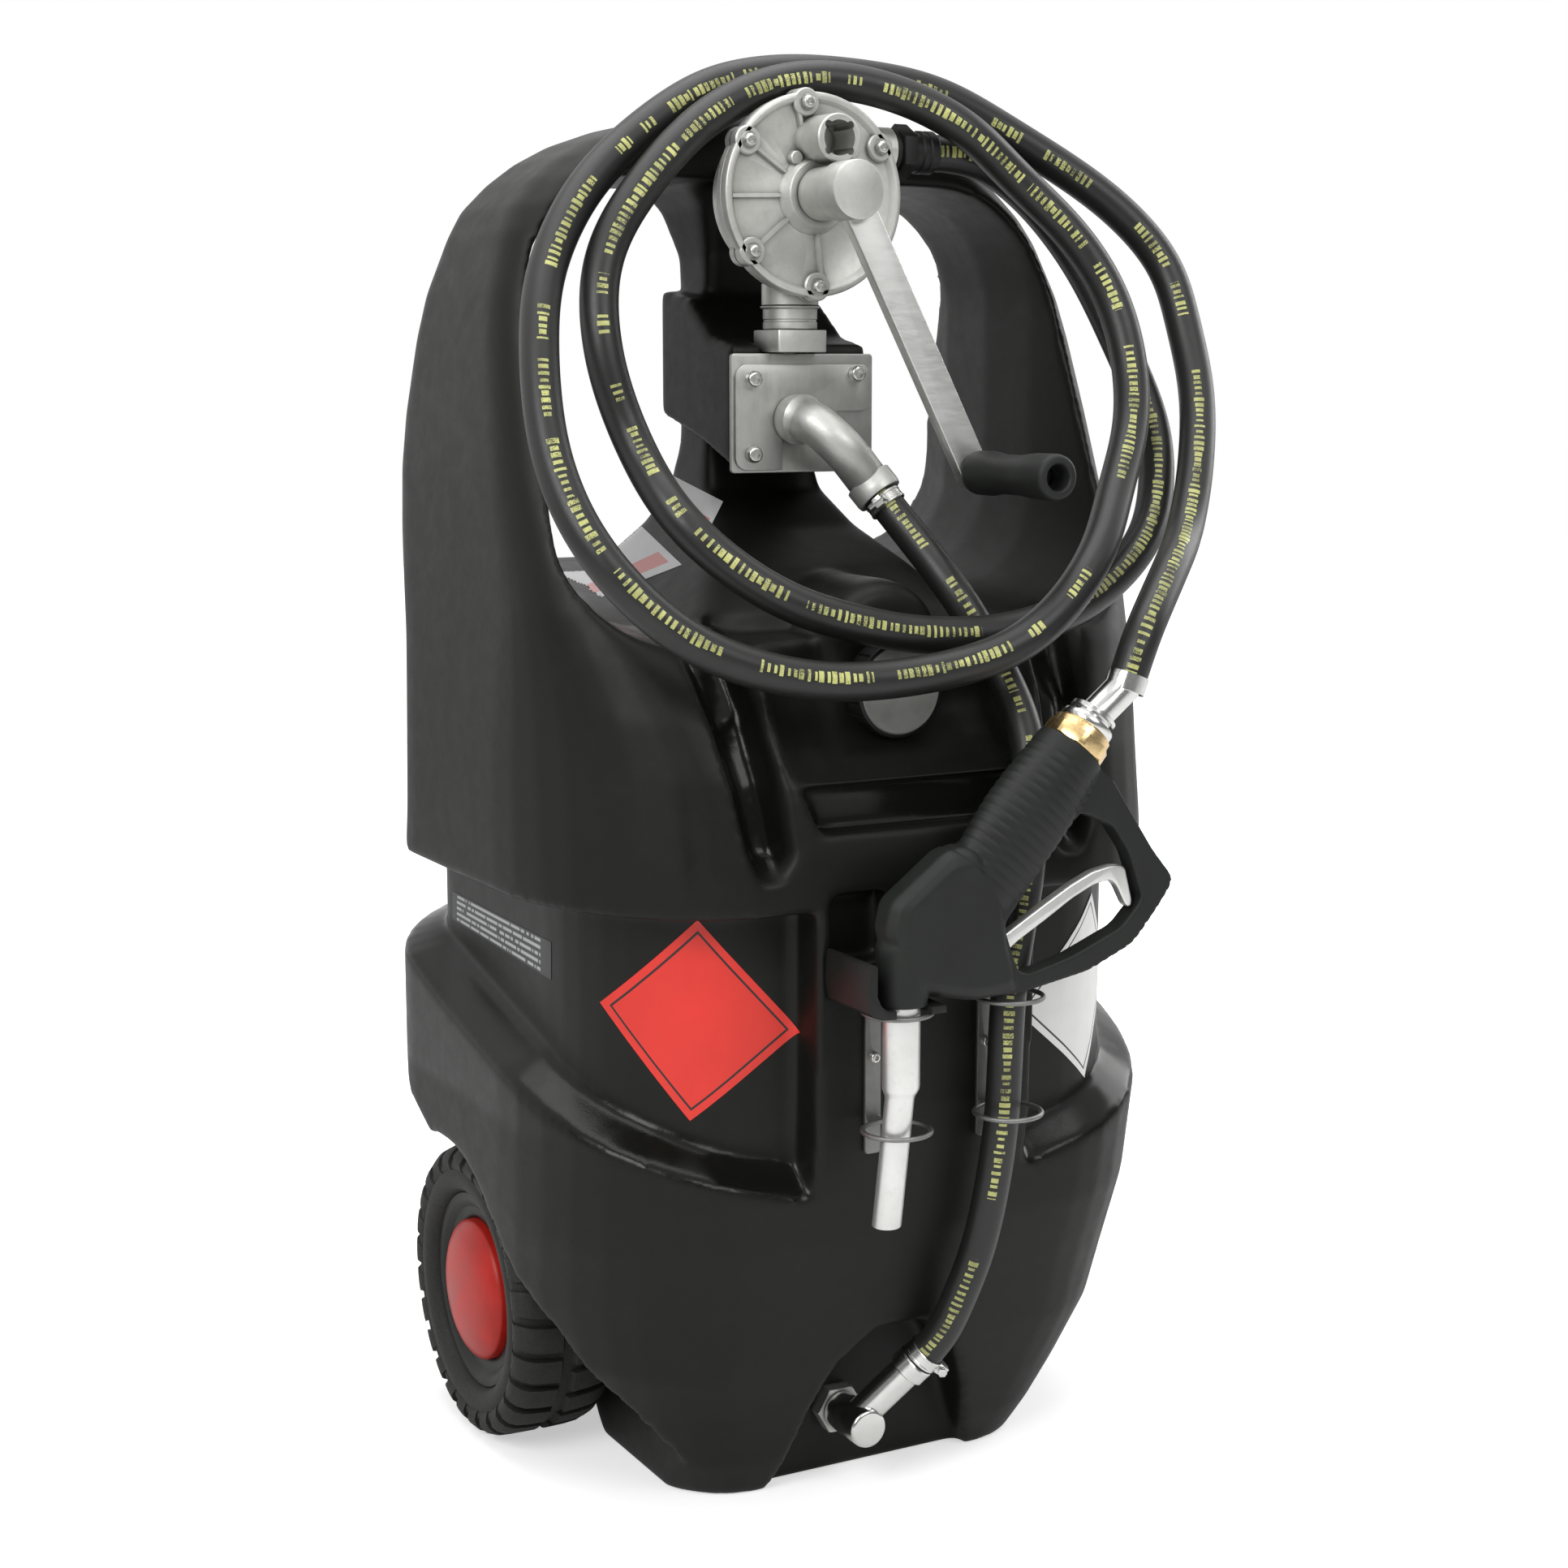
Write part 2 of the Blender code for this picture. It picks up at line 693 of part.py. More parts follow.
def build_tank():
    tank = add_object("tank", tank_shell(), black_moulding())
    cut(tank, add_object("tool_hand_opening", hand_opening(), None))
    cut(tank, add_object("tool_chest_panel", chest_panel(), None))
    join(tank, add_object("tool_neck_post", neck_post(), None))
    join(tank, add_object("tool_console", pump_console(), None))
    join(tank, add_object("tool_filler_boss", filler_boss(), None))
    for side, label in ((-1, "left"), (1, "right")):
        cut(tank, add_object("tool_groove_" + label, chest_groove(side), None))
        cut(tank, add_object("tool_waist_" + label, waist_band(side), None))
        cut(tank, add_object("tool_arch_" + label, wheel_arch(side), None))
    cut(tank, add_object("tool_chest_recess", chest_recess(), None))
    cut(tank, add_object("tool_outlet_cave", outlet_cave(), None))
    cut(tank, add_object("tool_cradle_pocket", cradle_pocket(), None))
    cut(tank, add_object("tool_rear_keel", rear_keel(), None))
    remesh = tank.modifiers.new("skin", 'REMESH')
    remesh.mode = 'VOXEL'
    remesh.voxel_size = CELL
    relax = tank.modifiers.new("relax", 'SMOOTH')
    relax.factor = 0.5
    relax.iterations = 9
    thin = tank.modifiers.new("thin", 'DECIMATE')
    thin.ratio = 0.043
    # seats faced flat and holes bored after moulding
    cut(tank, facing_box((-0.3, -0.3, -0.05), (0.3, 0.0, 0.0), "tool_feet"))
    cut(tank, facing_box((-0.09, CONSOLE_FRONT - 0.03, 0.74), (0.09, CONSOLE_FRONT, 0.90),
                         "tool_console_face"))
    cut(tank, counterbore("tool_filler_mouth", (0, -0.24, FILLER_Z), (0, 1, 0), FILLER_R + 0.006,
                          0.24 - FILLER_FACE, FILLER_BORE_R + FIT, FILLER_NECK_L + 0.006))
    cut(tank, facing_box((-0.0885, -0.26, 0.278), (0.0885, -COLUMN_FACE, 0.4390), "tool_column_face"))
    cut(tank, counterbore("tool_outlet_seat", (OUTLET_X, -0.16, OUTLET_Z0), (0, 1, 0), 0.024,
                          0.16 - OUTLET_SEAT, OUTLET_STUB_R + FIT, 0.026))
    cut(tank, bore("tool_axle_bore", AXLE_R + FIT, (-0.2, AXLE_Y, WHEEL_R), (0.2, AXLE_Y, WHEEL_R)))
    cut(tank, facing_box((INLET[0] - 0.022, CONSOLE_FRONT - 0.02, 0.786),
                         (INLET[0] + 0.022, INLET[1] + 0.024, 0.93), "tool_riser_slot"))
    for x, z in PLATE_BOLTS:
        cut(tank, bore("tool_plate_bolt", 0.0032, (x, -0.06, z), (x, CONSOLE_FRONT + 0.020, z), 12))
    for x in (LEFT_RING_X, RIGHT_RING_X):
        cut(tank, bore("tool_strip_screw", 0.0022, (x, -0.24, STRIP_SCREW_Z),
                       (x, -COLUMN_FACE + 0.014, STRIP_SCREW_Z), 12))
    tank.data.shade_smooth()
    return tank


FILLER_BORE_R = 0.027
FILLER_NECK_L = 0.018
OUTLET_STUB_R = 0.0105
PLATE_BOLTS = ((-0.053, 0.836), (0.036, 0.840), (-0.053, 0.780))
STRIP_SCREW_Z = 0.355


# ---------------------------------------------------------------- filler
def build_filler():
    seat = -FILLER_FACE - FIT
    gasket_t = 0.0025
    centre = (0, seat, FILLER_Z)
    turned("filler_gasket", [(FILLER_BORE_R + 0.001, 0), (FILLER_R - 0.002, 0),
                             (FILLER_R - 0.002, gasket_t), (FILLER_BORE_R + 0.001, gasket_t)],
           centre, (0, -1, 0), rubber(), 28)
    base = gasket_t + FIT
    top = base + FILLER_CAP_L
    disc = FILLER_R - 0.003
    profile = [(0, base - 0.0), (FILLER_BORE_R - 0.003, base), (FILLER_BORE_R - 0.003, -FILLER_NECK_L),
               (FILLER_BORE_R - 0.0005, -FILLER_NECK_L), (FILLER_BORE_R - 0.0005, base),
               (FILLER_R, base), (FILLER_R, top - 0.002), (FILLER_R - 0.002, top),
               (disc + FIT, top), (disc + FIT, top - 0.003), (0, top - 0.003)]
    turned("filler_cap", profile, centre, (0, -1, 0), black_plastic(), 28)
    floor = top - 0.003 + FIT
    turned("filler_cap_disc", [(0, floor), (disc, floor), (disc, top - 0.0005), (disc - 0.002, top + 0.0008),
                               (0, top + 0.0008)], centre, (0, -1, 0), grey_plastic(), 28)


# ---------------------------------------------------------------- wheels
WHEEL_STEPS = 24


def build_wheels():
    half_axle = WHEEL_OUT - 0.008
    rod("axle", AXLE_R, (-half_axle, AXLE_Y, WHEEL_R), (half_axle, AXLE_Y, WHEEL_R),
        zinc_steel(), 20, 0.001, (0, AXLE_Y, WHEEL_R))
    for side, label in ((-1, "left"), (1, "right")):
        out = (side, 0, 0)
        face = (side * WHEEL_OUT, AXLE_Y, WHEEL_R)
        inset = (WHEEL_W - RIM_W) / 2
        seat = RIM_R + FIT
        tyre = [(seat, -WHEEL_W + inset), (RIM_R + 0.012, -WHEEL_W + 0.003), (0.100, -WHEEL_W),
                (0.110, -WHEEL_W + 0.004), (0.1155, -WHEEL_W + 0.014), (WHEEL_R, -WHEEL_W / 2),
                (0.1155, -0.014), (0.110, -0.004), (0.100, 0), (RIM_R + 0.012, -0.003), (seat, -inset)]
        turned(label + "_tyre", tyre, face, out, tyre_rubber(), WHEEL_STEPS)
        web = -WHEEL_W / 2
        rim = [(HUB_BORE_R, web - 0.030), (HUB_BORE_R + 0.008, web - 0.030), (HUB_BORE_R + 0.008, web - 0.004),
               (RIM_R - 0.010, web - 0.004), (RIM_R - 0.006, -WHEEL_W + inset),
               (RIM_R, -WHEEL_W + inset), (RIM_R, -inset), (RIM_R - 0.006, -inset),
               (CAP_R + FIT, -inset - 0.006), (CAP_R + FIT, -0.0225),
               (CAP_R - 0.008, -0.023), (CAP_R - 0.010, web + 0.004), (HUB_BORE_R + 0.008, web + 0.004),
               (HUB_BORE_R + 0.008, -0.020), (HUB_BORE_R, -0.020)]
        turned(label + "_rim", rim, face, out, black_plastic(), WHEEL_STEPS)
        cap = [(0, 0.0035), (0.030, 0.0015), (0.048, -0.004), (CAP_R, -0.010), (CAP_R, -0.022 + FIT),
               (CAP_R - 0.003, -0.022 + FIT), (CAP_R - 0.003, -0.0125), (0.046, -0.0072), (0.030, -0.002),
               (0, 0.0)]
        turned(label + "_hubcap", cap, face, out, red_plastic(), WHEEL_STEPS)
        bush = [(AXLE_R + RUN / 3, web - 0.032), (HUB_BORE_R + 0.004, web - 0.032),
                (HUB_BORE_R + 0.004, web - 0.030 - FIT), (HUB_BORE_R - FIT, web - 0.030 - FIT),
                (HUB_BORE_R - FIT, -0.020), (AXLE_R + RUN / 3, -0.020)]
        turned(label + "_bush", bush, face, out, grey_plastic(), WHEEL_STEPS)
        washer = [(AXLE_R + 0.0001, -0.0195), (0.0165, -0.0195), (0.0165, -0.0175), (AXLE_R + 0.0001, -0.0165)]
        turned(label + "_retainer", washer, face, out, zinc_steel(), 24)


# ---------------------------------------------------------------- pump
PUMP = Vector((PUMP_X, 0, PUMP_Z))
GASKET_FRONT = COVER_Y + COVER_T + FIT
HOUSING_FRONT = GASKET_FRONT + GASKET_T + FIT
HOUSING_BACK = HOUSING_FRONT + HOUSING_L


def ear_centres():
    points = []
    for angle in EAR_ANGLES:
        turn = math.radians(angle)
        points.append((PUMP_X + BOLT_CIRCLE * math.cos(turn), PUMP_Z + BOLT_CIRCLE * math.sin(turn)))
    return points


def disc_tool(name, radius, x, z, front, back, steps=32):
    profile = [(0, 0), (radius, 0), (radius, back - front), (0, back - front)]
    return add_object(name, turned_bm(profile, (x, front, z), (0, 1, 0), steps), None)


def add_ears(piece, front, back):
    for x, z in ear_centres():
        join(piece, disc_tool("tool_ear", EAR_R, x, z, front, back, 10))


def drill_ears(piece, radius, front, back):
    for x, z in ear_centres():
        cut(piece, disc_tool("tool_ear_hole", radius, x, z, front, back, 6))


def build_pump_housing():
    depth = HOUSING_L
    outline = [(0, 0), (FLANGE_R - 0.001, 0), (FLANGE_R - 0.001, 0.007), (HOUSING_R, 0.010),
               (HOUSING_R - 0.001, 0.036), (HOUSING_R - 0.007, 0.047), (0.044, depth), (0, depth)]
    bm = turned_bm(outline, (PUMP_X, HOUSING_FRONT, PUMP_Z), (0, 1, 0), 28)
    housing = add_object("pump_housing", bm, cast_metal(), (PUMP_X, HOUSING_FRONT, PUMP_Z), 35)
    add_ears(housing, HOUSING_FRONT, HOUSING_FRONT + 0.007)
    neck = [(0, 0), (0.0215, 0), (0.0215, 0.040), (0.0225, 0.046), (0, 0.046)]
    join(housing, add_object("tool_inlet_neck", turned_bm(neck, (*INLET, NECK_END), (0, 0, 1), 18), None))
    join(housing, bore("tool_outlet_boss", 0.0175, (PUMP_X, OUTLET_Y, OUTLET_Z), (BOSS_END, OUTLET_Y, OUTLET_Z)))
    chamber_z = PUMP_Z + ECCENTRIC
    cut(housing, disc_tool("tool_chamber", CHAMBER_R, PUMP_X, chamber_z, HOUSING_FRONT - 0.01,
                           HOUSING_FRONT + CHAMBER_L, 28))
    cut(housing, bore("tool_inlet_port", 0.011, (*INLET, NECK_END - 0.01), (*INLET, PUMP_Z - 0.030)))
    cut(housing, bore("tool_outlet_port", 0.009, (PUMP_X + 0.025, OUTLET_Y, OUTLET_Z), (0.11, OUTLET_Y, OUTLET_Z)))
    cut(housing, disc_tool("tool_shaft_pocket", SHAFT_R + RUN, PUMP_X, PUMP_Z, HOUSING_FRONT,
                           HOUSING_FRONT + CHAMBER_L + 0.010, 20))
    drill_ears(housing, 0.0032, HOUSING_FRONT - 0.005, HOUSING_FRONT + 0.0055)
    return housing


NECK_END = 0.8905
BOSS_END = 0.066


def build_cover():
    floor = 0.0045
    bore_r = SHAFT_R + RUN
    lip = COVER_T
    outline = [(bore_r, 0), (FLANGE_R, 0), (FLANGE_R, lip - 0.001), (FLANGE_R - 0.001, lip),
               (FLANGE_R - 0.005, lip), (FLANGE_R - 0.007, floor), (0.029, floor), (0.0265, lip),
               (0.0245, 0.016), (bore_r, 0.016)]
    bm = turned_bm(outline, (PUMP_X, COVER_Y + COVER_T, PUMP_Z), (0, -1, 0), 28)
    cover = add_object("pump_cover", bm, cast_metal(), (PUMP_X, COVER_Y, PUMP_Z), 35)
    add_ears(cover, COVER_Y, COVER_Y + COVER_T)
    for angle in (EAR_ANGLES[1], 182, EAR_ANGLES[2], EAR_ANGLES[3] + 4, 330, EAR_ANGLES[0] + 6):
        turn = math.radians(angle)
        run = Vector((math.cos(turn), 0, math.sin(turn)))
        side = Vector((-math.sin(turn), 0, math.cos(turn))) * 0.0016
        start = PUMP + run * 0.024
        end = PUMP + run * (FLANGE_R - 0.006)
        outline = [(p.x, p.z) for p in (start - side, end - side, end + side, start + side)]
        rib = prism_bm(outline, COVER_Y + 0.001, COVER_Y + COVER_T - 0.001)
        join(cover, add_object("tool_rib", rib, None))
    boss_x = PUMP_X + SPOUT_BOSS[0]
    boss_z = PUMP_Z + SPOUT_BOSS[1]
    join(cover, disc_tool("tool_spout_boss", SPOUT_BOSS_R, boss_x, boss_z, SPOUT_FRONT, COVER_Y + COVER_T, 20))
    cut(cover, disc_tool("tool_spout_bore", SPOUT_BORE_R, boss_x, boss_z, SPOUT_FRONT - 0.01, SPOUT_FLOOR, 18))
    for turn in (45, 135, 225, 315):
        angle = math.radians(turn)
        x = boss_x + SPOUT_BORE_R * math.cos(angle)
        z = boss_z + SPOUT_BORE_R * math.sin(angle)
        cut(cover, disc_tool("tool_notch", 0.0030, x, z, SPOUT_FRONT - 0.01, SPOUT_FLOOR - 0.004, 8))
    drill_ears(cover, 0.0033, COVER_Y - 0.01, COVER_Y + COVER_T + 0.01)
    return cover


SPOUT_FRONT = -0.101
SPOUT_FLOOR = -0.069


def build_gasket():
    inner = FLANGE_R - 0.013
    outline = [(inner, 0), (FLANGE_R - 0.001, 0), (FLANGE_R - 0.001, GASKET_T), (inner, GASKET_T)]
    gasket = turned("pump_gasket", outline, (PUMP_X, GASKET_FRONT, PUMP_Z), (0, 1, 0), rubber(), 28)
    add_ears(gasket, GASKET_FRONT, GASKET_FRONT + GASKET_T)
    drill_ears(gasket, 0.0033, GASKET_FRONT - 0.01, GASKET_FRONT + 0.01)


def socket_screw(name, x, z, seat, shank, head_r, shank_r, finish):
    """Domed socket-head screw entering along +Y, its head on the face y = seat."""
    head = 1.1 * head_r
    profile = [(0, shank), (shank_r, shank), (shank_r, 0), (head_r, 0), (head_r, -0.7 * head),
               (0.72 * head_r, -head), (0.45 * head_r, -head), (0.45 * head_r, -0.5 * head),
               (0, -0.5 * head)]
    return turned(name, profile, (x, seat - FIT, z), (0, 1, 0), finish, 10)


def build_pump_screws():
    for index, (x, z) in enumerate(ear_centres(), 1):
        socket_screw("cover_screw_%d" % index, x, z, COVER_Y, 0.0145, 0.0048, 0.0026, zinc_steel())


def build_rotor():
    front = HOUSING_FRONT + 0.0004
    length = CHAMBER_L - 0.0008
    shaft_gap = SHAFT_R + FIT
    outline = [(shaft_gap, 0), (ROTOR_R, 0), (ROTOR_R, length), (shaft_gap, length)]
    rotor = turned("pump_rotor", outline, (PUMP_X, front, PUMP_Z), (0, 1, 0), zinc_steel(), 28)
    for index in range(4):
        turn = math.radians(45 + 90 * index)
        run = Vector((math.cos(turn), 0, math.sin(turn)))
        side = Vector((-math.sin(turn), 0, math.cos(turn)))
        inner, outer = PUMP + run * 0.016, PUMP + run * (ROTOR_R + 0.004)
        half = side * (VANE_T / 2 + FIT)
        slot = [(p.x, p.z) for p in (inner - half, outer - half, outer + half, inner + half)]
        cut(rotor, add_object("tool_vane_slot", prism_bm(slot, front - 0.01, front + 0.05), None))
        inner, outer = PUMP + run * 0.0165, PUMP + run * (ROTOR_R - 0.0003)
        half = side * VANE_T / 2
        blade = [(p.x, p.z) for p in (inner - half, outer - half, outer + half, inner + half)]
        prism("pump_vane_%d" % (index + 1), blade, front + 0.0004, front + length - 0.0004, grey_plastic(),
              'Y', (PUMP_X, front, PUMP_Z))
    rod("pump_shaft", SHAFT_R, (PUMP_X, ARM_BACK + 0.0006, PUMP_Z),
        (PUMP_X, HOUSING_FRONT + CHAMBER_L + 0.008, PUMP_Z), bright_steel(), 20, 0.0006)


VANE_T = 0.003


# ---------------------------------------------------------------- crank
def crank_point(along):
    turn = math.radians(CRANK_ANGLE)
    return Vector((PUMP_X + along * math.sin(turn), 0, PUMP_Z - along * math.cos(turn)))


def build_crank():
    pivot = (PUMP_X, HUB_FACE, PUMP_Z)
    length = (COVER_Y + COVER_T - 0.016 - RUN) - HUB_FACE
    step = HUB_FACE - (ARM_BACK + 0.004)
    outline = [(0, 0), (HUB_R - 0.001, 0), (HUB_R, 0.001), (HUB_R, -step), (HUB_R - 0.0015, -step + 0.001),
               (HUB_R - 0.0015, length), (0, length)]
    hub = turned("crank_hub", outline, pivot, (0, 1, 0), cast_metal(), 24)
    cut(hub, bore("tool_hub_bore", SHAFT_R + FIT, (PUMP_X, ARM_BACK + 0.0003, PUMP_Z), (PUMP_X, -0.05, PUMP_Z), 20))
    turn = math.radians(CRANK_ANGLE)
    down = Vector((math.sin(turn), 0, -math.cos(turn)))
    side = Vector((math.cos(turn), 0, math.sin(turn)))
    origin = Vector((PUMP_X, 0, PUMP_Z))
    arm_front = ARM_BACK - ARM_T

    def bar(start, end, half, round_end):
        points = [origin + down * start - side * half, origin + down * start + side * half]
        if round_end:
            for i in range(9):
                sweep = math.radians(180 * i / 8)
                points.append(origin + down * (end + half * math.sin(sweep)) + side * half * math.cos(sweep))
        else:
            points += [origin + down * end + side * half, origin + down * end - side * half]
        return [(p.x, p.z) for p in points]

    slot = prism_bm(bar(0.006 - FIT, 0.06, ARM_W / 2 + FIT, False), arm_front - FIT, ARM_BACK + FIT)
    cut(hub, add_object("tool_hub_slot", slot, None))
    arm = prism("crank_arm", bar(0.006, CRANK_L, ARM_W / 2, True), arm_front, ARM_BACK, sheet_steel(),
                'Y', pivot, 40)
    end = origin + down * CRANK_L
    cut(arm, disc_tool("tool_spindle_hole", SPINDLE_R + FIT, end.x, end.z, arm_front - 0.01, ARM_BACK + 0.01, 16))
    bevel(arm, 0.0008, 1)
    grip_back = arm_front - RUN
    grip_front = grip_back - GRIP_L
    head = grip_front + 0.024
    spindle = [(0, 0), (SPINDLE_R, 0), (SPINDLE_R, ARM_BACK - head - 0.002), (0.0085, ARM_BACK - head - 0.002),
               (0.0085, ARM_BACK - head + 0.002), (0, ARM_BACK - head + 0.002)]
    turned("grip_spindle", spindle, (end.x, ARM_BACK, end.z), (0, -1, 0), zinc_steel(), 16)
    cup = head + 0.002 + RUN / 2
    span = GRIP_L
    outline = [(SPINDLE_R + RUN / 2, 0), (GRIP_R - 0.003, 0), (GRIP_R, 0.004), (GRIP_R, 0.026),
               (GRIP_R - 0.0018, 0.034), (GRIP_R - 0.0018, 0.060), (GRIP_R, 0.074), (GRIP_R + 0.0003, span - 0.004),
               (GRIP_R - 0.0015, span), (0.0105, span), (0.0095, span - 0.002), (0.0095, grip_back - cup),
               (SPINDLE_R + RUN / 2, grip_back - cup)]
    turned("crank_grip", outline, (end.x, grip_back, end.z), (0, -1, 0), black_plastic(), 18)


# ---------------------------------------------------------------- pipework and bracket
def build_inlet():
    collar = [(0.013, 0), (0.0205, 0), (0.0205, 0.0155), (0.0225, 0.0165), (0.0225, 0.0175), (0.013, 0.0175)]
    top = NECK_END - FIT
    turned("inlet_collar", collar, (*INLET, top - 0.0175), (0, 0, 1), cast_metal(), 20)
    low = top - 0.0175 - FIT
    flange = prism("square_flange", rounded_outline((INLET[0] - 0.021, INLET[1] - 0.021),
                                                    (INLET[0] + 0.021, INLET[1] + 0.021), (0.003,) * 4, 2),
                   low - 0.0165, low, cast_metal(), 'Z', (*INLET, low), 40)
    cut(flange, bore("tool_flange_bore", 0.011, (*INLET, low - 0.03), (*INLET, low + 0.01), 20))
    foot = low - 0.0165 - FIT
    bend_y = CONSOLE_FRONT + 0.0105
    riser = rod("suction_riser", RISER_R, (INLET[0], bend_y, RISER_Z - RISER_R - 0.001), (INLET[0], bend_y, foot),
                zinc_steel(), 20)
    join(riser, bore("tool_riser_arm", RISER_R - 0.0002, (INLET[0], bend_y, RISER_Z), (INLET[0], PLATE_Y, RISER_Z)))


RISER_Z = 0.806
RISER_R = 0.0095


def build_bracket():
    back_front = PLATE_Y + PLATE_T + FIT
    back = prism("mount_plate", rounded_outline((PLATE_LEFT, PLATE_BOTTOM), (PLATE_RIGHT, PLATE_TOP),
                                                (0.002,) * 4, 2),
                 back_front, back_front + PLATE_T, sheet_steel(), 'Y', (0, back_front, 0.81), 40)
    split = -0.027
    low = 0.812
    outline = arc((PLATE_LEFT + 0.012, PLATE_BOTTOM + 0.012), 0.010, 180, 270, 4)
    outline += [(split, PLATE_BOTTOM + 0.002), (split, low)]
    outline += arc((PLATE_RIGHT - 0.012, low + 0.010), 0.010, 270, 360, 4)
    outline += arc((PLATE_RIGHT - 0.012, PLATE_TOP - 0.018), 0.010, 0, 90, 4)
    outline += arc((PLATE_LEFT + 0.012, PLATE_TOP - 0.018), 0.010, 90, 180, 4)
    front = prism("clamp_plate", outline, PLATE_Y, PLATE_Y + PLATE_T, sheet_steel(), 'Y', (0, PLATE_Y, 0.81), 40)
    for plate in (back, front):
        for x, z in PLATE_BOLTS:
            cut(plate, disc_tool("tool_plate_hole", 0.0033, x, z, PLATE_Y - 0.01, CONSOLE_FRONT + 0.01, 12))
        cut(plate, disc_tool("tool_elbow_hole", RISER_R + FIT, INLET[0], RISER_Z, PLATE_Y - 0.01, CONSOLE_FRONT + 0.01, 24))
    for index, (x, z) in enumerate(PLATE_BOLTS, 1):
        socket_screw("plate_bolt_%d" % index, x, z, PLATE_Y, 0.022, 0.0062, 0.0029, bright_steel())


def build_elbow():
    start = Vector((INLET[0], PLATE_Y - FIT, RISER_Z))
    turn = Vector((0, -1, 0))
    path = smooth_path([start + turn * 0.014, start + Vector((0.005, -0.028, -0.005)),
                        start + Vector((0.020, -0.040, -0.022)), ELBOW_END - ELBOW_RUN * 0.016], 0.009)
    path = [start, start + turn * 0.007] + path + [ELBOW_END - ELBOW_RUN * 0.008, ELBOW_END]

    def section(share):
        collar = 0.0185 if share < 0.17 or share > 0.80 else 0.0160
        return arc((0, 0), collar, 0, 337.5, 15)
    add_object("suction_elbow", swept_bm(path, section), cast_metal(), tuple(start), 40)


ELBOW_END = Vector((0.0335, -0.0830, 0.7488))
ELBOW_RUN = Vector((0.40, -0.52, -0.75)).normalized()


def ring_band(name, centre, axis, inner, outer, width, finish, steps=28):
    profile = [(inner, -width / 2), (outer, -width / 2), (outer, width / 2), (inner, width / 2)]
    return turned(name, profile, centre, axis, finish, steps)


BRANCH_START = Vector((OUTLET_X, -0.152, OUTLET_Z0))
BRANCH_END = Vector((0.0125, -0.1812, 0.1030))
BRANCH_RUN = (BRANCH_END - BRANCH_START).normalized()
SUCTION_END = BRANCH_END + BRANCH_RUN * FIT
SUCTION_START = ELBOW_END + ELBOW_RUN * FIT
SUCTION_ROUTE = (
    tuple(SUCTION_START), tuple(SUCTION_START + ELBOW_RUN * 0.022), (0.0530, -0.1270, 0.7010),
    (0.0640, -0.1510, 0.6730), (0.0780, -0.1575, 0.6470), (0.0860, -0.1700, 0.6230), (0.0900, -0.1900, 0.5960),
    (0.0880, -0.2085, 0.5660), (0.0820, -0.2195, 0.5340), (0.0740, -0.2305, 0.4950), (0.0650, -0.2330, 0.4500),
    (0.0555, -0.2375, 0.4170), (0.0500, -0.2410, 0.3920), (0.0490, -0.2400, 0.3500), (0.0480, -0.2395, 0.3100),
    (0.0455, -0.2360, 0.2700), (0.0420, -0.2300, 0.2300), (0.0370, -0.2210, 0.1900), (0.0300, -0.2090, 0.1560),
    tuple(SUCTION_END + BRANCH_RUN * 0.026), tuple(SUCTION_END))


def build_suction_hose():
    cord("suction_hose", SUCTION_ROUTE, SUCTION_R, rubber(), 0.036, ELBOW_RUN, BRANCH_RUN)
    build_clamp("upper_hose_clamp", SUCTION_START, ELBOW_RUN, (-0.35, -0.75, -0.30), 0.011)
    build_clamp("lower_hose_clamp", SUCTION_END, BRANCH_RUN, (0.85, -0.40, -0.10), 0.016)


def build_clamp(name, end, run, side, lug):
    """A band round the straight end of a hose, with its tightening lug and screw on one side."""
    seat = end + run * 0.0012
    inner = SUCTION_R + FIT
    outer = inner + 0.0016
    profile = [(inner, 0), (outer, 0), (outer, CLAMP_W), (inner, CLAMP_W)]
    band = turned(name, profile, seat, run, zinc_steel(), 20)
    side = Vector(side)
    side = (side - run * side.dot(run)).normalized()
    across = run.cross(side)
    middle = seat + run * (CLAMP_W / 2)
    corners = []
    for a, b in ((-0.004, -0.0045), (0.004, -0.0045), (0.004, 0.0045), (-0.004, 0.0045)):
        corners.append(across * a + run * b)
    near = [middle + side * (inner + 0.0006) + corner for corner in corners]
    far = [middle + side * (outer + lug * 0.5) + corner * 0.85 for corner in corners]
    join(band, add_object("tool_lug", loft_bm([near, far]), None))
    screw = middle + side * (outer + lug * 0.28)
    join(band, bore("tool_clamp_screw", 0.0026, screw - across * 0.006, screw + across * (lug * 0.75), 10))
    return band


# ---------------------------------------------------------------- bottom outlet
def build_outlet():
    seat = -OUTLET_SEAT - FIT
    nut = add_object("outlet_nut", prism_bm(hexagon(0.034, (OUTLET_X, OUTLET_Z0), 0), seat - 0.012, seat),
                     cast_metal(), (OUTLET_X, seat, OUTLET_Z0))
    cut(nut, bore("tool_nut_bore", OUTLET_STUB_R + FIT, (OUTLET_X, -0.2, OUTLET_Z0), (OUTLET_X, 0, OUTLET_Z0)))
    body = turned("outlet_elbow", [(0, -0.024), (OUTLET_STUB_R, -0.024), (OUTLET_STUB_R, 0.0125),
                                   (0.0150, 0.0125), (0.0150, 0.0545), (0.0135, 0.0560), (0, 0.0560)],
                  (OUTLET_X, seat, OUTLET_Z0), (0, -1, 0), bright_steel(), 16)
    join(body, bore("tool_branch", 0.0125, BRANCH_START, BRANCH_END - BRANCH_RUN * 0.012, 14))
    join(body, bore("tool_branch_bead", 0.0150, BRANCH_END - BRANCH_RUN * 0.0125, BRANCH_END, 16))


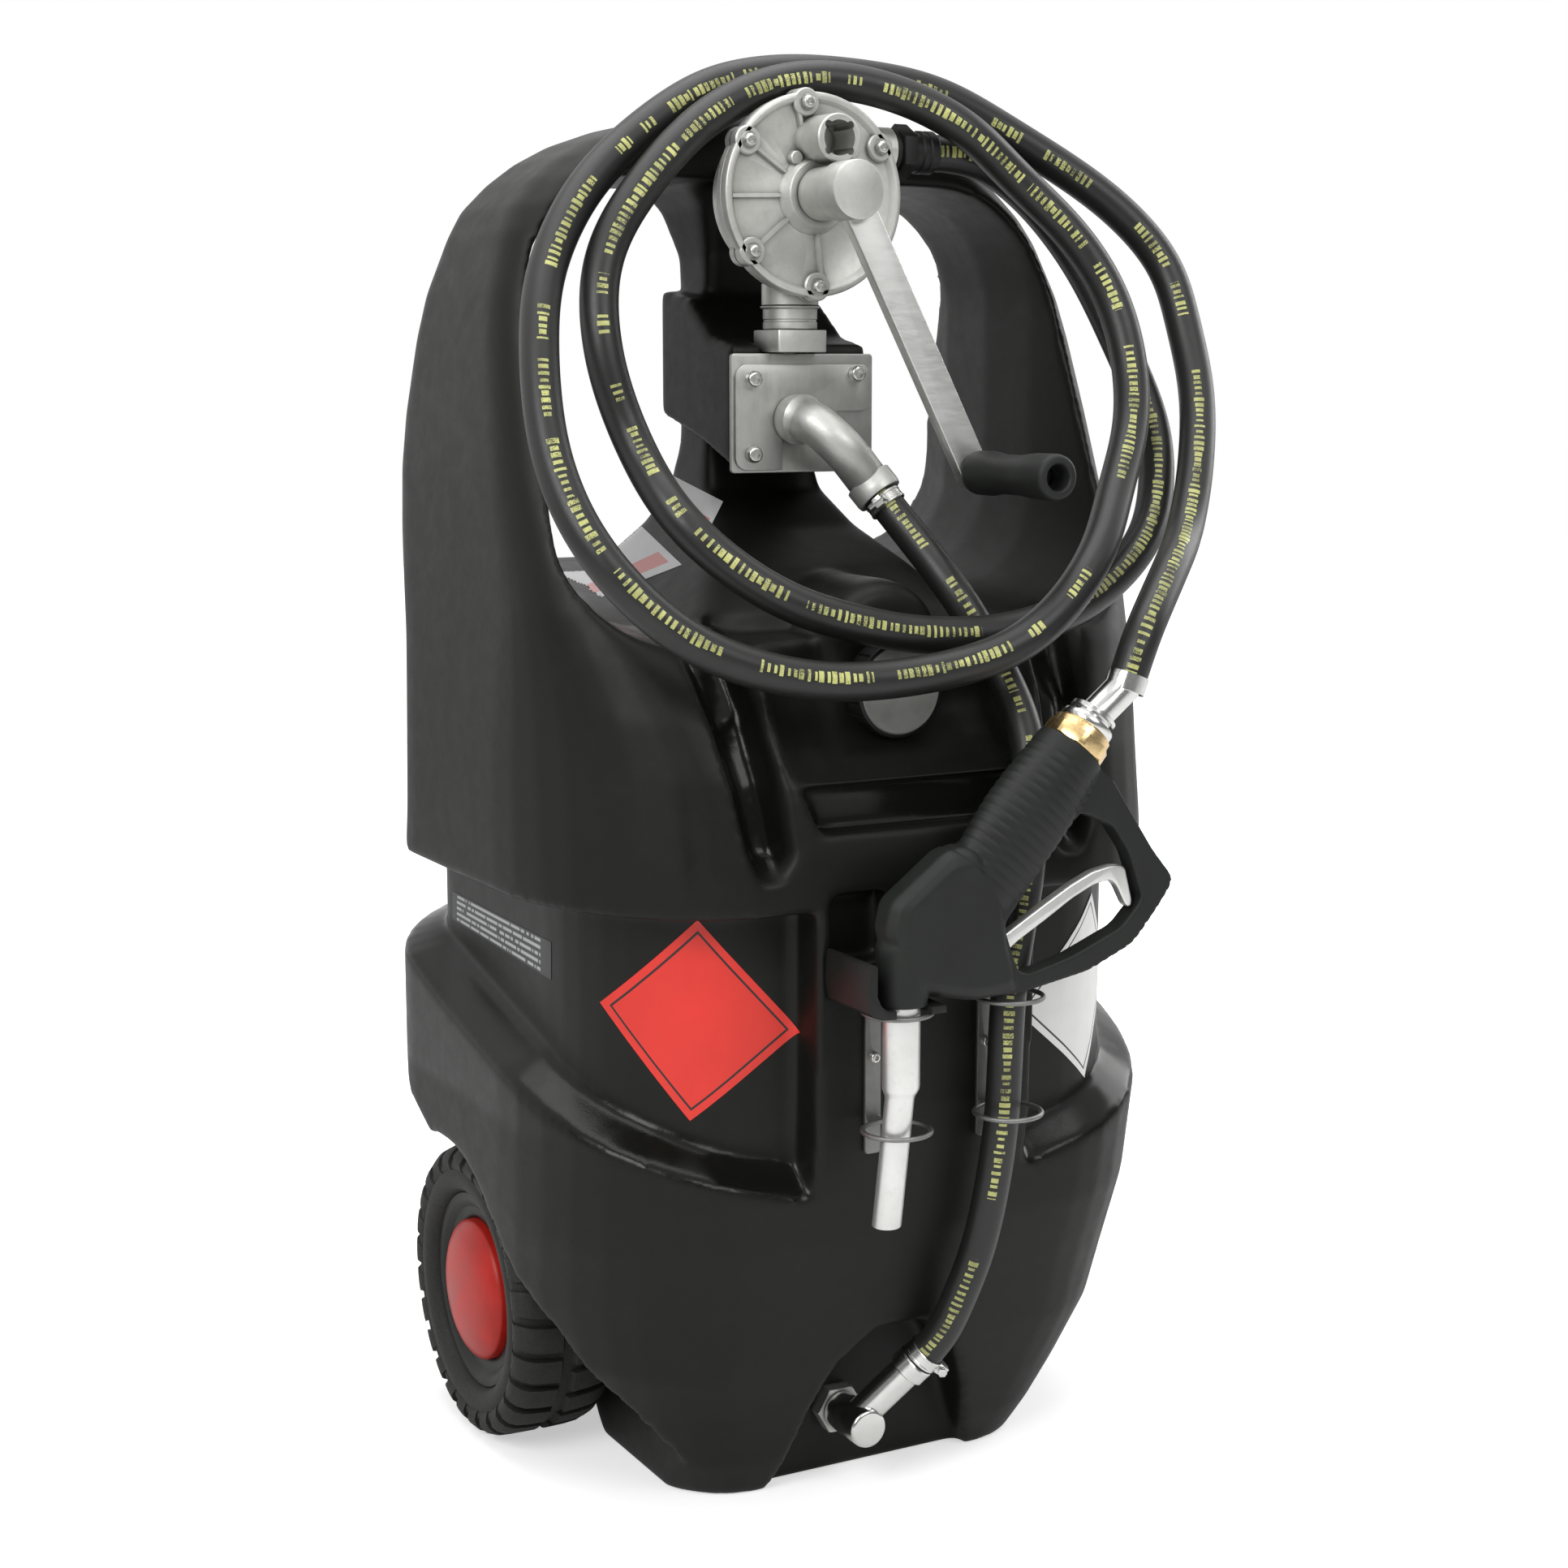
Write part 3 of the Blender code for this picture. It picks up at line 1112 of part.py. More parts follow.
# ---------------------------------------------------------------- holders
def build_holder(name, x, ring_y, finish):
    front = -COLUMN_FACE - FIT
    strip = prism(name, rounded_outline((x - STRIP_W / 2, RING_ZS[1] - 0.026), (x + STRIP_W / 2, RING_ZS[0] + 0.002),
                                        (0.003,) * 4, 2), front - STRIP_T, front, finish, 'Y', (x, front, 0.355), 40)
    for z in RING_ZS:
        ring = []
        for i in range(20):
            turn = 2 * math.pi * i / 20
            arm = Vector((math.cos(turn), math.sin(turn), 0))
            centre = Vector((x, ring_y, z)) + arm * RING_R
            ring.append([centre + arm * a + Vector((0, 0, b)) for a, b in
                         ((-RING_WIRE, -0.0022), (RING_WIRE, -0.0022), (RING_WIRE, 0.0022), (-RING_WIRE, 0.0022))])
        join(strip, add_object("tool_ring", loft_bm(ring, True), None))
        join(strip, facing_box((x - 0.005, ring_y + RING_R - 0.0012, z - 0.0020),
                               (x + 0.005, front - 0.001, z + 0.0020), "tool_tongue"))
    cut(strip, disc_tool("tool_strip_hole", 0.0023, x, STRIP_SCREW_Z, -0.26, -0.20, 12))
    socket_screw(name + "_screw", x, STRIP_SCREW_Z, front - STRIP_T, 0.014, 0.0040, 0.0019, zinc_steel())


def build_cradle():
    floor_top = SLEEVE_Z - FIT
    floor_low = RING_ZS[0] + 0.0022 + FIT
    left = -0.0800
    right = -0.0240
    outline = [(left, floor_top + 0.033), (left - 0.003, floor_top + 0.035), (left - 0.006, floor_top + 0.033),
               (left - 0.007, floor_top + 0.012), (left - 0.002, floor_low + 0.003), (left + 0.008, floor_low),
               (right, floor_low), (right, floor_top), (left + 0.012, floor_top), (left + 0.004, floor_top + 0.004),
               (left, floor_top + 0.012)]
    cradle = prism("nozzle_cradle", outline, NOZZLE_Y - 0.018, -COLUMN_FACE - FIT, black_plastic(), 'Y',
                   (SPOUT_X, NOZZLE_Y, floor_top), 40)
    low = (SPOUT_X - SPOUT_R - 0.001, -0.30, 0.35)
    high = (SPOUT_X + SPOUT_R + 0.001, NOZZLE_Y, 0.45)
    cut(cradle, facing_box(low, high, "tool_cradle_mouth"))
    cut(cradle, bore("tool_cradle_bore", SPOUT_R + 0.001, (SPOUT_X, NOZZLE_Y, 0.35), (SPOUT_X, NOZZLE_Y, 0.45), 20))


# ---------------------------------------------------------------- nozzle
HANDLE_START = Vector((0.0062, NOZZLE_Y, 0.4730))
HANDLE_END = Vector((0.0907, NOZZLE_Y, 0.5760))
HANDLE_RUN = (HANDLE_END - HANDLE_START).normalized()
HANDLE_WIDE = (0.029, 0.032, 0.034, 0.0345, 0.033, 0.030, 0.0265)
HANDLE_DEEP = (0.0175, 0.0185, 0.0205, 0.0225, 0.0235, 0.0235, 0.0235)
GUARD_OUTER = ((0.0742, 0.5620), (0.1072, 0.5620), (0.1172, 0.5550), (0.1432, 0.5160), (0.1562, 0.4970), (0.1742, 0.4760),
               (0.1732, 0.4690), (0.1612, 0.4530), (0.1402, 0.4290), (0.1022, 0.4130), (0.0382, 0.4020), (0.0042, 0.4060),
               (0.0092, 0.4520))
GUARD_INNER = ((0.0272, 0.4540), (0.0842, 0.5220), (0.0922, 0.5300), (0.1192, 0.5185), (0.1352, 0.4960),
               (0.1477, 0.4610), (0.1292, 0.4420), (0.0862, 0.4250), (0.0492, 0.4160), (0.0402, 0.4180))


def pillow_bm(outline, middle, half):
    """Flat body with rounded rims: the outline drawn in towards its centre at both faces."""
    centre_a = sum(a for a, _ in outline) / len(outline)
    centre_b = sum(b for _, b in outline) / len(outline)
    loops = []
    for share, scale in ((-1, 0.80), (-0.82, 0.92), (-0.45, 1.0), (0.45, 1.0), (0.82, 0.92), (1, 0.80)):
        loops.append([(centre_a + (a - centre_a) * scale, middle + half * share, centre_b + (b - centre_b) * scale)
                      for a, b in outline])
    return loft_bm(loops)


def nozzle_form():
    """Moulded handle, body and trigger guard of the nozzle before its sockets are cut."""
    y = NOZZLE_Y
    block = [(SPOUT_X - SLEEVE_R, 0.457), (SPOUT_X - 0.014, 0.478), (-0.0198, 0.511), (0.0042, 0.514),
             (0.0272, 0.472), (0.0302, 0.442), (0.0412, 0.403), (0.0042, 0.401), (SPOUT_X, 0.412)]
    form = add_object("nozzle_body", pillow_bm(block, y, 0.0180), black_plastic(), (PIVOT[0], y, PIVOT[1]))
    sleeve = [(0, 0), (SLEEVE_R, 0), (SLEEVE_R, 0.044), (SLEEVE_R - 0.006, 0.064), (0, 0.070)]
    join(form, add_object("tool_sleeve", turned_bm(sleeve, (SPOUT_X, y, SLEEVE_Z - 0.002), (0, 0, 1), 24), None))
    last = len(HANDLE_WIDE) - 1
    steps = [HANDLE_START + (HANDLE_END - HANDLE_START) * i / last for i in range(last + 1)]

    def oval(share):
        wide = HANDLE_WIDE[round(share * last)]
        deep = HANDLE_DEEP[round(share * last)]
        return [(deep * math.cos(math.pi * i / 12), wide * math.sin(math.pi * i / 12)) for i in range(24)]
    loops = []
    deep_side = Vector((0, 1, 0))
    wide_side = HANDLE_RUN.cross(deep_side)
    for i, centre in enumerate(steps):
        loops.append([centre + deep_side * a + wide_side * b for a, b in oval(i / last)])
    join(form, add_object("tool_handle", loft_bm(loops), None))
    guard = prism_bm(GUARD_OUTER, GUARD_Y - 0.0085, GUARD_Y + 0.0085)
    join(form, add_object("tool_guard", guard, None))
    cut(form, add_object("tool_guard_opening", prism_bm(GUARD_INNER, GUARD_Y - 0.05, GUARD_Y + 0.05), None))
    return form


def build_nozzle():
    body = nozzle_form()
    remesh = body.modifiers.new("skin", 'REMESH')
    remesh.mode = 'VOXEL'
    remesh.voxel_size = 0.0027
    relax = body.modifiers.new("relax", 'SMOOTH')
    relax.factor = 0.5
    relax.iterations = 5
    thin = body.modifiers.new("thin", 'DECIMATE')
    thin.ratio = 0.032
    y = NOZZLE_Y
    x, z = PIVOT
    cut(body, facing_box((-0.08, y - 0.03, 0.38), (-0.01, y + 0.03, SLEEVE_Z), "tool_sleeve_face"))
    cut(body, bore("tool_spout_socket", SPOUT_R + FIT, (SPOUT_X, y, 0.38), (SPOUT_X, y, SLEEVE_Z + 0.030)))
    slot = [(x - 0.014, z - 0.009), (x + 0.024, z - 0.009), (x + 0.024, z + 0.034), (x - 0.004, z + 0.018),
            (x - 0.014, z + 0.010)]
    half = TRIGGER_W / 2 + RUN
    cut(body, add_object("tool_trigger_slot", prism_bm(slot, GUARD_Y - half, GUARD_Y + half), None))
    cut(body, bore("tool_pin_hole", TRIGGER_PIN_R + FIT, (x, y - 0.04, z), (x, y + 0.011, z), 16))
    end = HANDLE_END - HANDLE_RUN * 0.0015
    cut(body, bore("tool_collar_socket", 0.0150 + FIT, end - HANDLE_RUN * 0.0186, end + HANDLE_RUN * 0.02))
    cut(body, bore("tool_handle_face", 0.040, end, end + HANDLE_RUN * 0.03))
    body.data.shade_smooth()


def build_spout():
    top = Vector((SPOUT_X, NOZZLE_Y, SLEEVE_Z + 0.026))
    shoulder = Vector((SPOUT_X, NOZZLE_Y, 0.344))
    tip = shoulder + Vector((-0.0110, 0, -0.101))
    run = (tip - shoulder).normalized()
    stations = ((top, SPOUT_R), (shoulder, SPOUT_R), (shoulder + run * 0.008, TIP_R), (tip, TIP_R),
                (tip, TIP_R - 0.0018), (tip - run * 0.050, TIP_R - 0.0018))
    loops = []
    for point, radius in stations:
        loops.append([point + Vector((a, b, 0)) for a, b in arc((0, 0), radius, 0, 342, 19)])
    add_object("nozzle_spout", loft_bm(loops), bright_steel(), tuple(shoulder), 35)


def build_trigger():
    x, z = PIVOT
    upper = ((-0.0065, 0.0010), (-0.0030, 0.0062), (0.0080, 0.0130), (0.0185, 0.0190), (0.0435, 0.0330),
             (0.0660, 0.0450), (0.0850, 0.0530), (0.1020, 0.0560), (0.1135, 0.0545))
    lower = ((0.1205, 0.0285), (0.1195, 0.0235), (0.1150, 0.0240), (0.1060, 0.0410), (0.1000, 0.0455),
             (0.0860, 0.0430), (0.0680, 0.0350), (0.0450, 0.0215), (0.0200, 0.0075), (0.0060, -0.0030),
             (0.0000, -0.0065), (-0.0050, -0.0045))
    outline = [(x + a, z + b) for a, b in upper + lower]
    trigger = prism("trigger", outline, GUARD_Y - TRIGGER_W / 2, GUARD_Y + TRIGGER_W / 2, bright_steel(), 'Y',
                    (x, GUARD_Y, z), 40)
    cut(trigger, bore("tool_trigger_eye", TRIGGER_PIN_R + FIT, (x, -0.3, z), (x, -0.2, z), 16))
    bevel(trigger, 0.0012, 1, 30)
    rod("trigger_pin", TRIGGER_PIN_R, (x, NOZZLE_Y - 0.0165, z), (x, NOZZLE_Y + 0.0105, z), zinc_steel(), 16)


HOSE_END = Vector((0.1400, NOZZLE_Y, 0.6260))
HOSE_RUN = Vector((0.36, 0.0, 0.93)).normalized()


def build_coupling():
    start = HANDLE_END - HANDLE_RUN * (0.0015 - FIT)
    collar = [(0, -0.0180), (0.0150, -0.0180), (0.0150, 0), (0.0235, 0), (0.0245, 0.0010), (0.0245, 0.0150),
              (0.0230, 0.0165), (0, 0.0165)]
    turned("brass_collar", collar, start, HANDLE_RUN, brass(), 20)
    nose = start + HANDLE_RUN * (0.0165 + FIT)
    ring = [(0, 0), (0.0190, 0), (0.0205, 0.0015), (0.0205, 0.0060), (0.0190, 0.0075), (0.0150, 0.0075),
            (0.0150, 0.0110), (0.0180, 0.0110), (0.0180, 0.0150), (0.0120, 0.0160), (0, 0.0160)]
    swivel = turned("hose_swivel", ring, nose, HANDLE_RUN, bright_steel(), 16)
    tail_end = HOSE_END - HOSE_RUN * FIT
    join(swivel, bore("tool_swivel_tail", 0.0125, nose + HANDLE_RUN * 0.006, tail_end - HOSE_RUN * 0.008, 20))
    foot = tail_end - HOSE_RUN * 0.0125
    join(swivel, bore("tool_swivel_shank", 0.0150, foot, tail_end, 16))


def frame_point(axis, a, b):
    u, v = frame_of(axis)
    return u * a + v * b



HOSE_START_X = 0.1050
DELIVERY_ROUTE = (
    (HOSE_START_X, OUTLET_Y, OUTLET_Z), (0.1300, OUTLET_Y, 1.0065), (0.1560, -0.0360, 1.0010), (0.2000, -0.0370, 0.9720), (0.2370, -0.0480, 0.9250),
    (0.2580, -0.0720, 0.8650), (0.2700, -0.1050, 0.7950), (0.2450, -0.1400, 0.7320), (0.2000, -0.1680, 0.6960),
    (0.1480, -0.1790, 0.6680), (0.0900, -0.1870, 0.6540), (0.0350, -0.1870, 0.6520), (-0.0280, -0.1860, 0.6600),
    (-0.1050, -0.1780, 0.6850), (-0.1640, -0.1530, 0.7340), (-0.1800, -0.1000, 0.7920), (-0.1980, -0.0870, 0.8630),
    (-0.1830, -0.0670, 0.9310), (-0.1210, -0.0520, 1.0030), (-0.0600, -0.0400, 1.0420), (0.0000, -0.0400, 1.0570),
    (0.0650, -0.0480, 1.0490), (0.1180, -0.0640, 1.0240), (0.1620, -0.0660, 0.9890), (0.2060, -0.0800, 0.9470),
    (0.2320, -0.0950, 0.9030), (0.2370, -0.1150, 0.8530), (0.2260, -0.1360, 0.8040), (0.1910, -0.1660, 0.7550),
    (0.1510, -0.1990, 0.7080), (0.1000, -0.2175, 0.6650), (0.0500, -0.2170, 0.6390), (-0.0330, -0.2140, 0.6270),
    (-0.1110, -0.2130, 0.6320), (-0.1880, -0.2040, 0.6600), (-0.2420, -0.1800, 0.7160), (-0.2590, -0.1400, 0.7800),
    (-0.2510, -0.1000, 0.8570), (-0.2270, -0.0650, 0.9200), (-0.1760, -0.0370, 0.9840), (-0.0920, -0.0150, 1.0420),
    (-0.0300, -0.0100, 1.0610), (0.0400, -0.0100, 1.0640), (0.1200, -0.0120, 1.0550), (0.1850, -0.0200, 1.0260),
    (0.2620, -0.0450, 0.9770), (0.3030, -0.0680, 0.9280), (0.3070, -0.0900, 0.8800), (0.3000, -0.1200, 0.8240),
    (0.2750, -0.1530, 0.7670), (0.2440, -0.1820, 0.7210), (0.2080, -0.2150, 0.6990),
    tuple(HOSE_END + HOSE_RUN * 0.03), tuple(HOSE_END))


def build_outlet_fitting():
    """Threaded hose tail on the pump outlet, with its spanner hexagon."""
    start = BOSS_END + FIT
    end = HOSE_START_X - FIT
    length = end - start
    profile = [(0, 0), (0.0165, 0), (0.0165, 0.0030), (0.0150, 0.0040), (0.0150, length - 0.0150),
               (0.0162, length - 0.0140), (0.0162, length - 0.0015), (0.0150, length), (0, length)]
    fitting = turned("outlet_fitting", profile, (start, OUTLET_Y, OUTLET_Z), (1, 0, 0), black_plastic(), 20)
    hexa = prism_bm(hexagon(0.036, (OUTLET_Y, OUTLET_Z), 30), start + 0.0050, start + 0.0165, 'X')
    join(fitting, add_object("tool_fitting_hex", hexa, None))
    cut(fitting, bore("tool_fitting_bore", 0.0080, (start - 0.01, OUTLET_Y, OUTLET_Z),
                      (end - 0.012, OUTLET_Y, OUTLET_Z), 16))


def build_delivery():
    build_outlet_fitting()
    cord("delivery_hose", DELIVERY_ROUTE, HOSE_R, rubber(), CORD_STEP, (1, 0, 0), HOSE_RUN)


clear_scene()
build_tank()
build_filler()
build_wheels()
build_pump_housing()
build_cover()
build_gasket()
build_pump_screws()
build_rotor()
build_crank()
build_inlet()
build_bracket()
build_elbow()
build_suction_hose()
build_outlet()
build_holder("nozzle_holder", LEFT_RING_X, NOZZLE_Y + 0.0085, bright_steel())
build_holder("hose_holder", RIGHT_RING_X, RING_Y, bright_steel())
build_cradle()
build_nozzle()
build_spout()
build_trigger()
build_coupling()
build_delivery()
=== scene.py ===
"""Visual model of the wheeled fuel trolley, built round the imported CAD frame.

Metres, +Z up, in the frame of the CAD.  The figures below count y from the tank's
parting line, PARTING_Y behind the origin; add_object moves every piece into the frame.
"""
import json
import math
from functools import partialmethod

import bmesh
import bpy
import numpy as np
from mathutils import Matrix, Vector
from mathutils.bvhtree import BVHTree


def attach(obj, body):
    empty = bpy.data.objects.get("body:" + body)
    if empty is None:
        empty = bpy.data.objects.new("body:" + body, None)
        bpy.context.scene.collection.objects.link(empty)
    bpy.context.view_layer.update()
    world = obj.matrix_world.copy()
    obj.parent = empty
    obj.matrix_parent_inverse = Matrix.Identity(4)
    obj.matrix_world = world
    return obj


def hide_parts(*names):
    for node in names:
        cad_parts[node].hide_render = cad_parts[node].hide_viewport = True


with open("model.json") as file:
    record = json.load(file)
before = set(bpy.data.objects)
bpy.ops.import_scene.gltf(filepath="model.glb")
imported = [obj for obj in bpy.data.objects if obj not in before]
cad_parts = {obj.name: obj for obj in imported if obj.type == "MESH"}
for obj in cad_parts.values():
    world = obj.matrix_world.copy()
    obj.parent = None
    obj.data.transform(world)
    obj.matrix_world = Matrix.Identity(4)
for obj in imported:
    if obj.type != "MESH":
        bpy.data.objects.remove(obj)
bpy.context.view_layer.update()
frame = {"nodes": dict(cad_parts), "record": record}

# ---------------------------------------------------------------- driving dimensions
PARTING_Y = 0.0285           # parting line of the tank, behind the origin
FIT = 0.0003                 # gap between pieces that seat on each other
RUN = 0.0010                 # running clearance of turning pieces

# tank
WAIST_DEPTH = 0.035          # how far the label panels stand back
SKIRT_Z = 0.465              # lower edge of the shoulders
COLUMN_HALF = 0.092          # half width of the front column
LEDGE_Z = 0.270              # inner edge of the ledge at the column
LEDGE_START = 0.43           # its direction there from the middle of the tank, in radians off the front
LEDGE_CLIMB = 0.0722         # its rise per radian round the tank
LEDGE_FALL_FRONT = 0.030     # height of the sloped ledge beside the column
LEDGE_FALL_SIDE = 0.012      # and where it has turned to the side
SKIN_ALLOWANCE = 0.006       # stock left on a moulded seat before it is faced flat
NECK_HALF = 0.044            # post between the two hand openings
NECK_FRONT = 0.048
NECK_REAR = 0.102

# wheels
WHEEL_R = 0.117
WHEEL_W = 0.085
WHEEL_OUT = 0.249            # outer face of the tyre
AXLE_Y = 0.085
RIM_R = 0.078
RIM_W = 0.066
HUB_BORE_R = 0.0145
CAP_R = 0.056
ARCH_GAP = 0.012
TREAD_BLOCKS = 26            # blocks round each shoulder of a tyre
WHEEL_STEPS = 120            # flats of the turned wheel pieces

# filler
FILLER_Z = 0.613
FILLER_FACE = 0.148          # seat of the filler gasket, ahead of the origin
FILLER_R = 0.036
FILLER_CAP_L = 0.020
FILLER_FLUTES = 24

# pump
PUMP_X = -0.017
PUMP_Z = 0.970
COVER_Y = -0.072             # front face of the pump cover
COVER_T = 0.009
GASKET_T = 0.001
HOUSING_L = 0.056
HOUSING_R = 0.061
FLANGE_R = 0.074
EAR_R = 0.0105
BOLT_CIRCLE = 0.0665
EAR_ANGLES = (96, 146, 219, 272, 33)
CHAMBER_R = 0.046
CHAMBER_L = 0.034
ECCENTRIC = 0.005
SHAFT_R = 0.007
HUB_R = 0.0215
HUB_FACE = -0.137
CRANK_L = 0.230
CRANK_ANGLE = 28.0           # rest angle of the crank from straight down, towards +X
ARM_T = 0.011
ARM_W = 0.025
ARM_BACK = -0.116
GRIP_R = 0.0165
GRIP_L = 0.108
SPINDLE_R = 0.005
SPOUT_BOSS = (0.004, 0.039)  # centre of the spout socket from the pump axis
SPOUT_BOSS_R = 0.018
SPOUT_BORE_R = 0.0128
OUTLET_Z = 1.007
OUTLET_Y = -0.036

# bracket
PLATE_Y = -0.040             # front face of the outer plate
PLATE_T = 0.003
PLATE_LEFT = -0.069
PLATE_RIGHT = 0.053
PLATE_TOP = 0.855
PLATE_BOTTOM = 0.766
CONSOLE_FRONT = PLATE_Y + 2 * PLATE_T + 2 * FIT
INLET = (-0.017, -0.033)     # x, y of the pump inlet

# hoses
HOSE_R = 0.014
SUCTION_R = 0.0130
LEAD = 0.012                 # straight length of a hose next to its fitting
CURVE_STEPS = 24             # points per leg of a route before they are spaced evenly
HOSE_STEP = 0.005            # spacing of its rings
HOSE_SIDES = 28
HOSE_EASING = 24             # rounds of easing of its centre line
CLAMP_W = 0.0095             # width of a hose clamp

# holders on the front column
COLUMN_FACE = 0.2125         # flat seat of the two holders, ahead of the origin
COLUMN_SEAT_HALF = 0.0885    # half width of that seat
STRIP_T = 0.003
STRIP_W = 0.013
RING_R = 0.0245              # to the middle of the ring wire
WIRE_R = 0.0018
RING_ZS = (0.3955, 0.309)
LEFT_RING_X = -0.0480
RIGHT_RING_X = 0.0475
RING_Y = -0.2470             # centre of the rings

# nozzle, parked upright in the plane y = NOZZLE_Y
NOZZLE_Y = -0.2575
GUARD_Y = -0.2615
SPOUT_X = -0.0500
SLEEVE_Z = 0.4035            # lower end of the nozzle's sleeve
SLEEVE_R = 0.0185
SPOUT_R = 0.0135
TIP_R = 0.0105
PIVOT = (0.0207, 0.4320)     # x, z of the trigger's pin
TRIGGER_PIN_R = 0.0025
TRIGGER_W = 0.009

# outlet at the bottom of the front
OUTLET_X = -0.025
OUTLET_Z0 = 0.052
OUTLET_SEAT = 0.118          # face the outlet nut seats on, ahead of the origin
OUTLET_STUB_R = 0.0105

# screws, and the ends where one piece meets the next
COVER_SCREW_R = 0.0048       # radii of the screw heads
PLATE_BOLT_R = 0.0062
STRIP_SCREW_R = 0.0040
PLATE_BOLTS = ((-0.053, 0.836), (0.036, 0.840), (-0.053, 0.780))
STRIP_SCREW_Z = 0.355
PUMP = Vector((PUMP_X, 0, PUMP_Z))   # centre of the pump, for places counted along the crank and the ribs
GASKET_FRONT = COVER_Y + COVER_T + FIT
HOUSING_FRONT = GASKET_FRONT + GASKET_T + FIT
NECK_END = 0.8905            # lower end of the pump's inlet neck
BOSS_END = 0.066             # right end of its outlet boss
SPOUT_FRONT = -0.101         # rim and floor of the spout socket
SPOUT_FLOOR = -0.069
RISER_Z = 0.806              # height of the suction riser's bend
RISER_R = 0.0095
ELBOW_END = Vector((0.0335, -0.0830, 0.7488))
ELBOW_RUN = Vector((0.40, -0.52, -0.75)).normalized()
BRANCH_START = Vector((OUTLET_X, -0.152, OUTLET_Z0))
BRANCH_END = Vector((0.0125, -0.1812, 0.1030))
BRANCH_RUN = (BRANCH_END - BRANCH_START).normalized()
SUCTION_END = BRANCH_END + BRANCH_RUN * FIT
SUCTION_START = ELBOW_END + ELBOW_RUN * FIT

# centre lines of the hoses
SUCTION_ROUTE = (tuple(SUCTION_START), tuple(SUCTION_START + ELBOW_RUN * 0.022), (0.0530, -0.1270, 0.7010),
                 (0.0640, -0.1510, 0.6730), (0.0780, -0.1575, 0.6470), (0.0860, -0.1700, 0.6230),
                 (0.0900, -0.1900, 0.5960), (0.0880, -0.2085, 0.5660), (0.0820, -0.2195, 0.5340),
                 (0.0740, -0.2305, 0.4950), (0.0650, -0.2330, 0.4500), (0.0555, -0.2375, 0.4170),
                 (0.0500, -0.2410, 0.3920), (0.0490, -0.2400, 0.3500), (0.0480, -0.2395, 0.3100),
                 (0.0455, -0.2360, 0.2700), (0.0420, -0.2300, 0.2300), (0.0370, -0.2210, 0.1900),
                 (0.0300, -0.2090, 0.1560), tuple(SUCTION_END + BRANCH_RUN * 0.026), tuple(SUCTION_END))

# nozzle handle, with its half width and half depth at even steps, and the trigger guard as (x, z)
HANDLE_START = Vector((0.0062, NOZZLE_Y, 0.4730))
HANDLE_END = Vector((0.0907, NOZZLE_Y, 0.5760))
HANDLE_RUN = (HANDLE_END - HANDLE_START).normalized()
HANDLE_WIDE = (0.029, 0.032, 0.034, 0.0345, 0.033, 0.030, 0.0265)
HANDLE_DEEP = (0.0175, 0.0185, 0.0205, 0.0225, 0.0235, 0.0235, 0.0235)
GUARD_OUTER = ((0.0742, 0.5620), (0.1072, 0.5620), (0.1172, 0.5550), (0.1432, 0.5160), (0.1562, 0.4970),
               (0.1742, 0.4760), (0.1732, 0.4690), (0.1612, 0.4530), (0.1402, 0.4290), (0.1022, 0.4130),
               (0.0382, 0.4020), (0.0042, 0.4060), (0.0092, 0.4520))
GUARD_INNER = ((0.0272, 0.4540), (0.0842, 0.5220), (0.0922, 0.5300), (0.1192, 0.5185), (0.1352, 0.4960),
               (0.1477, 0.4610), (0.1292, 0.4420), (0.0862, 0.4250), (0.0492, 0.4160), (0.0402, 0.4180))
HOSE_END = Vector((0.1400, NOZZLE_Y, 0.6260))
HOSE_RUN = Vector((0.36, 0.0, 0.93)).normalized()
HOSE_START_X = 0.1050
